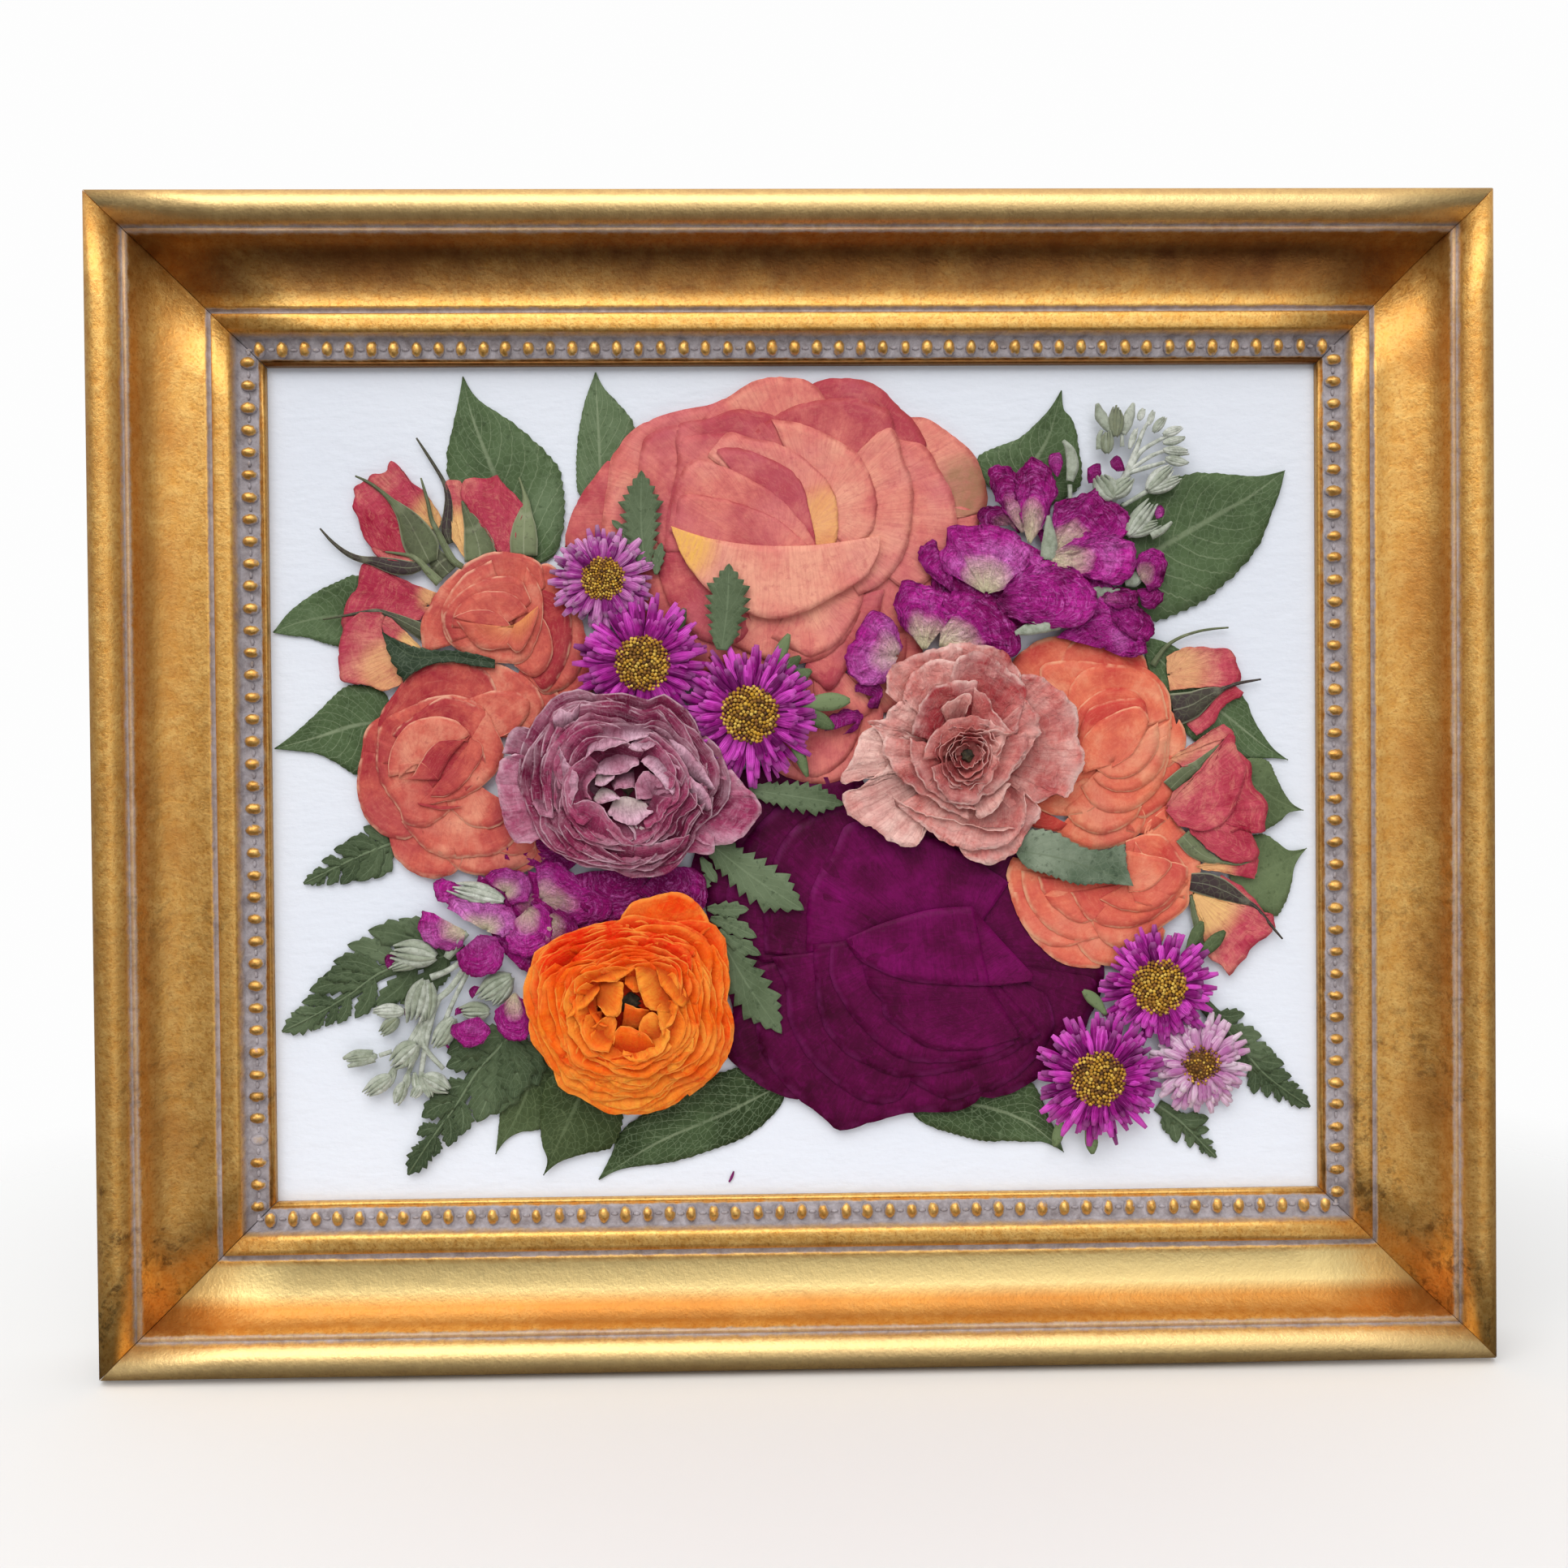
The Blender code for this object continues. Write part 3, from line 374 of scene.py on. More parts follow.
def add_beads(bm, side, tone):
    count = BEADS[side]
    for index in range(count + 1):
        x = (index - count / 2) * BEAD_PITCH
        waist = bmesh.ops.create_uvsphere(bm, u_segments=6, v_segments=4, radius=1.0)["verts"]
        size = (0.95, 0.4 + 0.12 * rng.random(), 0.38)
        bmesh.ops.scale(bm, vec=size, verts=waist)
        bmesh.ops.translate(bm, vec=(x, BEAD_LINE + rng.uniform(-0.1, 0.1), BEAD_SEAT), verts=waist)
        for vert in waist:
            vert[tone] = 0.15
        if index == count:
            continue
        x += BEAD_PITCH / 2
        lost = (side, index) == LOST_BEAD
        bead = bmesh.ops.create_uvsphere(bm, u_segments=12, v_segments=8, radius=1.0)["verts"]
        swell = rng.uniform(0.95, 1.05)
        size = (BEAD_R * swell * rng.uniform(0.76, 0.84), BEAD_R * swell * 1.16, BEAD_RISE * (0.35 if lost else 1))
        bmesh.ops.scale(bm, vec=size, verts=bead)
        wander = (x + rng.uniform(-0.12, 0.12), BEAD_LINE + rng.uniform(-0.08, 0.08), BEAD_SEAT)
        bmesh.ops.translate(bm, vec=wander, verts=bead)
        for vert in bead:
            vert.co.z += 0.22 * noise.noise(vert.co * 1.6)
            vert[tone] = 0.3 if lost else 1.0


MITRE_GAP = 0.12
RAIL_STEPS = 12


def make_rail(side, sight, turn):
    """One length, drawn lying along X above the picture and then turned to its side."""
    bm = new_sheet_mesh()
    uv = bm.loops.layers.uv["UVMap"]
    tone = bm.verts.layers.float["tone"]
    half = sight / 2
    corners = [bm.verts.new((0, point.x, point.y)) for point in outline]
    edges = [bm.edges.new(pair) for pair in zip(corners, corners[1:] + corners[:1])]
    for vert in corners:
        vert.co.x = -(half + vert.co.y) + MITRE_GAP
    for step in range(1, RAIL_STEPS + 1):
        grown = bmesh.ops.extrude_edge_only(bm, edges=edges)["geom"]
        ring = [g for g in grown if isinstance(g, bmesh.types.BMVert)]
        edges = [g for g in grown if isinstance(g, bmesh.types.BMEdge) and all(v in ring for v in g.verts)]
        for vert in ring:
            vert.co.x = (half + vert.co.y - MITRE_GAP) * (2 * step / RAIL_STEPS - 1)
    for ends in (corners, ring):
        bmesh.ops.contextual_create(bm, geom=[e for e in bm.edges if all(v in ends for v in e.verts)])
    bmesh.ops.recalc_face_normals(bm, faces=bm.faces)
    add_beads(bm, side, tone)
    for face in bm.faces:
        for loop in face.loops:
            loop[uv].uv = (loop.vert.co.x / 100, loop.vert.co.y / RAIL_W)
    across = SIGHT_H / 2 if side in ("top", "bottom") else SIGHT_W / 2
    move = Matrix.Rotation(turn, 4, "Z") @ Matrix.Translation((0, across, LIP_LIFT))
    bmesh.ops.transform(bm, matrix=move, verts=bm.verts)
    return bm


print("beads in all:", sum(BEADS.values()))

# %% [markdown]
# Gold leaf over clay isn't one colour. The hollows keep a brown glaze, the grooves and the bead
# strip a taupe wash, and the tops of the beads are rubbed bright. All of that follows the section,
# so the material reads how far out a point lies (the v of its UV map) and lays noise over it: fine
# grain in the leaf, broad orange clouds, and dark specks of patina low on the two sides. Over
# that, light and shade are painted rail by rail, told apart by two painted values: painted shade
# darkens the upper rail's hollow and the lips of the upper and side rails, painted highlights make
# the lower rail's hollow and the rolls of the upper and lower rails pale, and the two side rails
# get a painted shade mixed with brown patina.

# %% Gilt
LEAF_GOLD = (0.75, 0.37, 0.075)
PALE_GOLD = (0.95, 0.63, 0.21)
GLAZE = (0.50, 0.19, 0.035)
PAINTED_SHADE_BROWN = (0.17, 0.055, 0.016)
UMBER = (0.09, 0.035, 0.012)
TAUPE = (0.47, 0.43, 0.46)
DARK_TAUPE = (0.21, 0.175, 0.18)
PAINTED_HIGHLIGHT_HOLLOW = (1.0, 0.77, 0.34)
PAINTED_HIGHLIGHT_ROLL = (0.98, 0.74, 0.36)
PAINTED_SIDE_SHADE_AND_PATINA = (0.46, 0.22, 0.05)


def at(out):
    return out / RAIL_W


gilt = Surface("aged_gilt", 0.34, 0.85)
place = gilt.place()
out = gilt.across("v")
# two painted values pick the rails for the painted highlights and painted shade below
lower = gilt.across("gold")         # painted 1 on the lower rail
upper = gilt.across("stain_and_painted_light")        # painted 1 on the upper rail
fine = gilt.noise(place, 1500, 3, 0.6)
grain = gilt.noise(place, 420, 4, 0.65)
clouds = gilt.noise(place, 26, 5, 0.6, 0.6)
edge = gilt.plus(out, gilt.times(gilt.less(grain, 0.5), 0.02))
leaf = gilt.mix(gilt.ramp(grain, (0.3, 0.0), (0.72, 1.0)), LEAF_GOLD, PALE_GOLD)
leaf = gilt.mix(gilt.ramp(fine, (0.34, 0.55), (0.5, 0.0)), leaf, GLAZE)
cloudy = gilt.ramp(clouds, (0.44, 0.0), (0.70, 1.0))
in_cove = gilt.ramp(edge, (at(13), 0.0), (at(17.5), 0.5), (at(21), 1.0), (at(25), 0.9), (at(26.6), 0.25))
glazed = gilt.times(in_cove, gilt.plus(gilt.times(cloudy, 0.75), 0.22), True)
leaf = gilt.mix(glazed, leaf, GLAZE)
leaf = gilt.mix(gilt.times(cloudy, 0.22), leaf, GLAZE)
hollow = gilt.ramp(edge, (at(13.5), 0.0), (at(16.5), 0.8), (at(24), 1.0), (at(27), 0.55), (at(28.6), 0.0))
# painted shade: the upper rail's hollow is darkened to brown, as it faces down, away from the light
leaf = gilt.mix(gilt.times(gilt.times(hollow, upper), gilt.ramp(
    gilt.noise(place, 70, 5, 0.7), (0.35, 0.95), (0.7, 0.55))), leaf, PAINTED_SHADE_BROWN)
# painted highlight: the lower rail's hollow is made pale near the inside and toned with glaze further out
inner = gilt.ramp(edge, (at(12.6), 0.0), (at(14), 1.0), (at(20), 0.9), (at(23), 0.0))
outer = gilt.ramp(edge, (at(20), 0.0), (at(23), 0.75), (at(26), 0.6), (at(27), 0.0))
leaf = gilt.mix(gilt.times(inner, lower), leaf, PAINTED_HIGHLIGHT_HOLLOW)
leaf = gilt.mix(gilt.times(outer, lower), leaf, GLAZE)
# painted highlight: the rolls of the upper and lower rails are made pale
rolls = gilt.ramp(edge, (at(28.4), 0.0), (at(29.5), 0.6), (at(33), 0.75), (at(36), 0.2))
top_or_foot = gilt.plus(lower, upper)
leaf = gilt.mix(gilt.times(rolls, top_or_foot), leaf, PAINTED_HIGHLIGHT_ROLL)
# painted shade mixed with brown patina: the two side rails are darkened a little
leaf = gilt.mix(gilt.times(gilt.less(1.0, top_or_foot), 0.15), leaf, PAINTED_SIDE_SHADE_AND_PATINA)
# painted shade: the lip is darkened, most on the upper rail, less on the sides and not on the lower rail
lip = gilt.times(gilt.ramp(edge, (at(0.9), 1.0), (at(1.15), 0.0)), gilt.plus(0.35, gilt.times(upper, 0.5)))
leaf = gilt.mix(gilt.times(lip, gilt.less(1.0, lower)), leaf, PAINTED_SHADE_BROWN)
axes = gilt.add("SeparateXYZ", n0=place).outputs
low_down = gilt.ramp(gilt.rescaled(axes["Z"], n1=-0.08, n2=-0.25), (0.0, 0.0), (1.0, 1.0))
speck = gilt.noise(place, 330, 5, 0.75, 0.4)
specks = gilt.times(gilt.ramp(speck, (0.47, 0.0), (0.60, 1.0)), low_down)
patches = gilt.ramp(gilt.noise(place, 34, 5, 0.75, 1.4), (0.47, 0.0), (0.57, 1.0))
patches = gilt.times(patches, gilt.less(1.0, lower))
specks = gilt.times(specks, patches)
leaf = gilt.mix(gilt.times(specks, 0.75), leaf, UMBER)
print("leaf of gold:", len(gilt.tree.nodes), "nodes")

# %% [markdown]
# The taupe wash fills the bead strip and the grooves. It is rubbed off the tops of the beads, so
# there the height over the lip decides. The moulding's back and its rabbet were never gilded: the
# depth of a point lets bare pine show there.

# %% Wash and bare wood
wash = gilt.ramp(edge, (0.0, 0.0), (at(1.0), 0.0), (at(1.3), 1.0), (at(5.9), 1.0), (at(6.7), 0.0),
                 (at(10.95), 0.0), (at(11.25), 0.9), (at(12.15), 0.9), (at(12.5), 0.0))
line = gilt.ramp(edge, (at(26.7), 0.0), (at(26.95), 0.7), (at(27.4), 0.35), (at(27.9), 0.5),
                 (at(28.25), 0.95), (at(28.7), 0.0))
wash = gilt.math("MAXIMUM", wash, line)
crown = gilt.across("tone")
LIP_FRONT = PAPER_FRONT - LIP_LIFT
rise = gilt.rescaled(axes["Y"], n1=(LIP_FRONT - BEAD_SEAT) * MM, n2=(LIP_FRONT - 2.7) * MM)
rubbed = gilt.plus(rise, gilt.times(gilt.less(grain, 0.5), 1.9))
rubbed = gilt.times(gilt.ramp(rubbed, (0.35, 0.0), (0.62, 1.0)), crown)
wash = gilt.times(wash, gilt.less(1.0, rubbed))
dirt = gilt.mix(gilt.ramp(speck, (0.35, 0.0), (0.7, 1.0)), TAUPE, DARK_TAUPE)
BACK_PLANE = LIP_FRONT - RAIL_BACK
RABBET_PLANE = LIP_FRONT - RABBET
bare = gilt.rescaled(axes["Y"], n1=(BACK_PLANE - 0.5) * MM, n2=(BACK_PLANE - 0.2) * MM)
rabbet = gilt.times(gilt.ramp(out, (at(5.6), 1.0), (at(5.8), 0.0)), gilt.rescaled(
    axes["Y"], n1=(RABBET_PLANE - 0.15) * MM, n2=(RABBET_PLANE - 0.02) * MM))
bare = gilt.math("MAXIMUM", bare, rabbet)
grown = gilt.noise(gilt.stretched(gilt.unrolled(), (3.0, 26.0, 1.0)), 1.0, 6, 0.6)
pine = gilt.ramp(grown, (0.3, (0.36, 0.22, 0.105)), (0.5, (0.52, 0.35, 0.18)), (0.7, (0.60, 0.43, 0.25)))
gilt.colour(gilt.mix(bare, gilt.mix(wash, leaf, dirt), pine))
wash = gilt.math("MAXIMUM", wash, bare)
gilt.feed(gilt.shader.inputs["Metallic"], gilt.less(0.85, gilt.times(wash, 0.85)))
rough = gilt.rescaled(grain, n3=0.34, n4=0.56)
gilt.feed(gilt.shader.inputs["Roughness"], gilt.plus(rough, gilt.times(wash, 0.25)))
gilt.bump(fine, 0.5, 0.14)
gilt.bump(grain, 0.4, 0.3)
print("gilt nodes:", len(gilt.tree.nodes))

# %% [markdown]
# Each length is made for its own side, since no two sides share their beads. The painted values
# tell the material which rail it is on.

# %% Four lengths of moulding
SIDES = {"top": (SIGHT_W, 0), "left": (SIGHT_H, math.pi / 2), "bottom": (SIGHT_W, math.pi),
         "right": (SIGHT_H, -math.pi / 2)}
for side, (sight, turn) in SIDES.items():
    bm = make_rail(side, sight, turn)
    for vert in bm.verts:
        # these values pick the rails for the painted light: the lower rail gets painted highlights, the upper rail
        # painted shade and a painted highlight on its roll
        vert[bm.verts.layers.float["stain_and_painted_light"]] = side == "top"
        vert[bm.verts.layers.float["gold"]] = side == "bottom"
    finish_piece(f"gilt_rail_{side}", bm, gilt.material, [f"rail_{side}"])

# %% [markdown]
# ## Paper, board and fittings
# These are plain solids with crisp edges, and the fixed frame already has their right shape. Only
# their surfaces are missing: a cold-pressed sheet with a faint tooth, brown board and dull zinc.
# A new material on the fixed piece is the lightest way, since its mesh must not be touched.

# %% Paper, board, zinc
def dress(surface, *nodes):
    for node in nodes:
        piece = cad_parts[node]
        piece.data.materials.clear()
        piece.data.materials.append(surface.material)


paper = Surface("cold_pressed_paper", 0.92)
place = paper.place()
tooth = paper.noise(place, 620, 5, 0.6)
paper.colour(paper.mix(paper.ramp(paper.noise(place, 14, 3), (0.3, 0.0), (0.7, 1.0)),
                       (0.80, 0.84, 0.93), (0.84, 0.875, 0.95)))
paper.bump(tooth, 0.6, 0.16)
paper.bump(paper.noise(paper.stretched(place, (1.0, 1.0, 2.6)), 170, 3), 0.7, 0.3)
dress(paper, "mount_paper")

board = Surface("brown_board", 0.88)
place = board.place()
fibre = board.noise(board.stretched(place, (0.25, 1.0, 1.0)), 900, 5, 0.7)
pulp = board.ramp(board.noise(place, 60, 5, 0.7), (0.3, 0.0), (0.75, 1.0))
kraft = board.mix(pulp, (0.30, 0.185, 0.10), (0.24, 0.14, 0.07))
board.colour(board.mix(board.ramp(fibre, (0.55, 0.0), (0.8, 0.6)), kraft, (0.42, 0.28, 0.16)))
board.bump(fibre, 0.3, 0.1)
dress(board, "backing_board")

zinc = Surface("dull_zinc", 0.38, 0.95)
place = zinc.place()
spangle = zinc.add("TexVoronoi", Vector=place, Scale=420.0).outputs["Distance"]
zinc.colour(zinc.mix(zinc.ramp(spangle, (0.1, 0.0), (0.7, 1.0)), (0.52, 0.50, 0.44), (0.40, 0.39, 0.36)))
scratches = zinc.noise(zinc.stretched(place, (0.1, 1.0, 1.0)), 1400, 3)
zinc.feed(zinc.shader.inputs["Roughness"], zinc.rescaled(scratches, n3=0.28, n4=0.52))
zinc.bump(scratches, 0.15, 0.05)
dress(zinc, "sawtooth_hanger", "glazing_point_top_left", "glazing_point_top_right",
      "glazing_point_bottom_left", "glazing_point_bottom_right")
print("dressed 7 fixed pieces")

# %% [markdown]
# ## Pressed petals
# A dried petal is thin, almost flat, and veined from its foot to its rim. A grid suits it: one
# side is drawn to the foot, the other to the traced rim, and the rows between them become the
# petal's length. The grid then carries the right UV map by itself, with v running along the
# veins. Noise lifts the sheet a little, and the rim curls up enough to throw a thin shadow.

# %% One petal
def ridge(x, y, seed):
    """Noise with sharp crests, for papery creases."""
    return 1 - 3.2 * abs(noise.noise(Vector((x, y, seed))))


LOWEST = 0.15      # no petal dips into the paper


def petal(bm, foot, rim, lift, tone=0.5, gold=0.0, rise=0.16, ripple=0.14, bow=0.08, fineness=1.0, stem=0.04,
          fray=0.22, crumple=0.0, drop=0.0, claw=1.0, gold_at=None, stain_at=None):
    """foot is one point or a line and rim a line, both on the sheet; all sizes are in mm."""
    layers = bm.verts.layers.float
    rough_edge = smooth(rim, 12)
    girth = sum((b - a).length for a, b in zip(rough_edge, rough_edge[1:]))
    centre = foot[len(foot) // 2] if isinstance(foot, list) else foot
    columns = min(52, max(9, round(girth / 0.95 * fineness)))
    rows = min(16, max(5, round((rough_edge[6] - centre).length / 1.9 * fineness)))
    edge = smooth(rim, columns)
    base = smooth(foot, columns) if isinstance(foot, list) else [Vector(foot)] * (columns + 1)
    seed = rng.uniform(0, 90)
    grid = new_grid(bm, columns, rows, lambda u, v: (seed + u * girth / 20, v))
    for vert in grid:
        u, v = (vert.co.x + 1) / 2, (vert.co.y + 1) / 2
        column = round(u * columns)
        spot = base[column].lerp(edge[column], stem + (1 - stem) * v)
        for scale, part in ((0.45, 1.0), (1.7, 0.6)):
            spot = spot + noise.noise_vector(Vector((spot.x * scale, spot.y * scale, seed))).xy * fray * part * v
        wave = noise.noise(Vector((spot.x * 0.16, spot.y * 0.16, seed)))
        pleat = noise.noise(Vector((u * girth * 0.4, v * 0.8, seed + 7)))
        height = lift + bow * math.sin(math.pi * v) + rise * v ** 6 + ripple * (wave + pleat * v)
        height -= drop * (1 - v) ** 1.6
        if crumple:
            height += crumple * (0.5 * ridge(spot.x * 0.3, spot.y * 0.3, seed) + 0.3 * ridge(
                spot.x * 0.75, spot.y * 0.75, seed)) * (0.35 + 0.65 * v)
        vert.co = (spot.x, spot.y, max(height, LOWEST))
        vert[layers["tone"]] = tone
        vert[layers["gold"]] = gold * max(0.0, 1 - v / claw) ** (1.5 if claw == 1.0 else 0.6)
        if gold_at:
            near = 1 - (spot - gold_at[0]).length / gold_at[1]
            vert[layers["gold"]] = gold * min(1, max(0, near) * 2.2)
        if stain_at:
            vert[layers["stain_and_painted_light"]] = min(1, 2 * max(0, 1 - (spot - stain_at[0]).length / stain_at[1]))


def lay(bm, view, foot, rim, lift, tone, **options):
    """A petal whose foot, rim and painted spots were traced in one enlargement."""
    for key in ("gold_at", "stain_at"):
        if key in options:
            dot, reach = options[key]
            options[key] = (traced(view, [dot], lift)[0], reach)
    foot = traced(view, foot, lift) if isinstance(foot, list) else traced(view, [foot], lift)[0]
    petal(bm, foot, traced(view, rim, lift), lift, tone, **options)


def layered_rose(name, view, petals, surface, nodes):
    """petals are (foot, rim, lift, tone, more), from the lowest to the highest."""
    bm = new_sheet_mesh()
    for foot, rim, lift, tone, *more in petals:
        lay(bm, view, foot, rim, lift, tone, **(more[0] if more else {}))
    finish_piece(name, bm, surface.material, nodes, thickness=0.1)


# %% [markdown]
# The colour of a dried petal runs along its veins: paler at the foot, deeper at the rim, with
# fine streaks that follow them. So the streaks come from noise on the UV map, stretched along v,
# and the broad mottling from noise on the object, so that neighbours don't repeat each other.
# The painted values shift whole petals: tone from deep to light, gold for a yellow foot.

# %% Petal material
def petal_surface(name, deep, main, light, edge, gold=(0.85, 0.50, 0.10), blush=None, roughness=0.62, streak=0.3,
                  mottle=0.35, edge_share=0.55, wrinkle=0.0, crease=0.0, spots=None, lit=0.0, depth=0.0,
                  relief=1.0, crease_shade_and_highlight=0.0):
    surface = Surface(name, roughness)
    place = surface.place()
    uv = surface.unrolled()
    v = surface.across("v")
    cloud = surface.noise(place, 75, 5, 0.65)
    tone = surface.plus(surface.across("tone"), surface.times(surface.less(cloud, 0.5), mottle * 2.6))
    tone = surface.less(tone, surface.times(surface.math("POWER", v, 5.0), 0.14))
    colour = surface.ramp(tone, (0.0, deep), (0.5, main), (1.0, light))
    if blush:
        patches = surface.noise(surface.stretched(place, (1.0, 1.0, 1.0), 0.4), 38, 4, 0.6)
        colour = surface.mix(surface.ramp(patches, (0.46, 0.0), (0.62, 0.55)), colour, blush)
    veins = surface.noise(surface.stretched(uv, (26.0, 2.0, 1.0)), 1.0, 4, 0.65, 0.3)
    colour = surface.mix(surface.ramp(veins, (0.32, streak), (0.55, 0.0)), colour, deep)
    pale = surface.noise(surface.stretched(uv, (60.0, 5.0, 1.0)), 1.0, 3, 0.6)
    colour = surface.mix(surface.ramp(pale, (0.56, 0.0), (0.8, streak * 0.7)), colour, light)
    sharp = surface.math("ABSOLUTE", surface.less(surface.noise(place, 230, 4, 0.6, 0.6), 0.5))
    folds = surface.noise(surface.stretched(uv, (5.0, 17.0, 1.0)), 1.0, 4, 0.7, 1.2)
    # painted shade in the crease lines and painted highlights on the folds
    if crease_shade_and_highlight:
        colour = surface.mix(surface.ramp(sharp, (0.0, crease_shade_and_highlight), (0.045, 0.0)), colour, deep)
        colour = surface.mix(surface.ramp(folds, (0.50, 0.0), (0.66, crease_shade_and_highlight)), colour, light)
    # painted shade: each petal darker towards its foot, where it lies under the petals above it
    if depth:
        colour = surface.mix(surface.ramp(v, (0.3, depth), (0.86, 0.0)), colour, tuple(part * 0.45 for part in deep))
    amount = surface.across("gold")
    gilded = surface.times(amount, surface.ramp(veins, (0.3, 0.55), (0.6, 1.0)), True)
    colour = surface.mix(gilded, colour, gold)
    dot = surface.ramp(surface.noise(place, 520, 3, 0.7), (0.3, 0.3), (0.42, 0.0))
    colour = surface.mix(dot, colour, deep)
    if spots:
        colour = surface.mix(surface.times(surface.across("stain_and_painted_light"), surface.ramp(
            surface.noise(place, 260, 4, 0.7), (0.3, 0.45), (0.6, 0.9))), colour, spots)
    # painted highlight: pale patches near the rim, where the upturned rim catches the light
    if lit:
        rim_highlight = surface.ramp(surface.noise(place, 120, 4, 0.65), (0.42, 0.0), (0.62, lit))
        colour = surface.mix(surface.times(surface.ramp(v, (0.7, 0.0), (0.97, 1.0)), rim_highlight), colour,
                             edge)
    # where the edge colour is pale this is a painted highlight, a hairline where the cut rim catches the light; where
    # it is dark it is the rim's own darker colour
    worn = surface.ramp(surface.noise(place, 190, 3, 0.6), (0.42, 0.0), (0.58, 1.0))
    rim_line = surface.times(surface.ramp(v, (0.955, 0.0), (0.985, edge_share)), worn)
    colour = surface.mix(rim_line, colour, edge)
    surface.colour(colour)
    surface.shader.inputs["Specular IOR Level"].default_value = 0.1
    surface.bump(veins, 0.5, 0.2 * relief)
    surface.bump(surface.noise(place, 300, 4, 0.6), 0.4, 0.3 * relief)
    if wrinkle:
        surface.bump(folds, wrinkle, 0.5 * relief)
    if crease:
        surface.bump(sharp, crease, 0.8 * relief)
    return surface


coral = petal_surface("coral_petal", (0.47, 0.060, 0.085), (0.78, 0.225, 0.185), (0.92, 0.41, 0.29),
                      (0.42, 0.06, 0.06), gold=(0.93, 0.50, 0.12), blush=(0.66, 0.17, 0.20), mottle=0.85,
                      crease=0.5, spots=(0.36, 0.19, 0.10), crease_shade_and_highlight=0.13)
print("coral petal ready")

# %% [markdown]
# ## The large coral rose
# Some thirty petals were pressed apart and laid back as a rose. The list goes from the lowest to
# the highest. Each line gives the foot, the rim, the lift and how deep the colour is; a yellow
# foot or a brown spot is named where it shows.

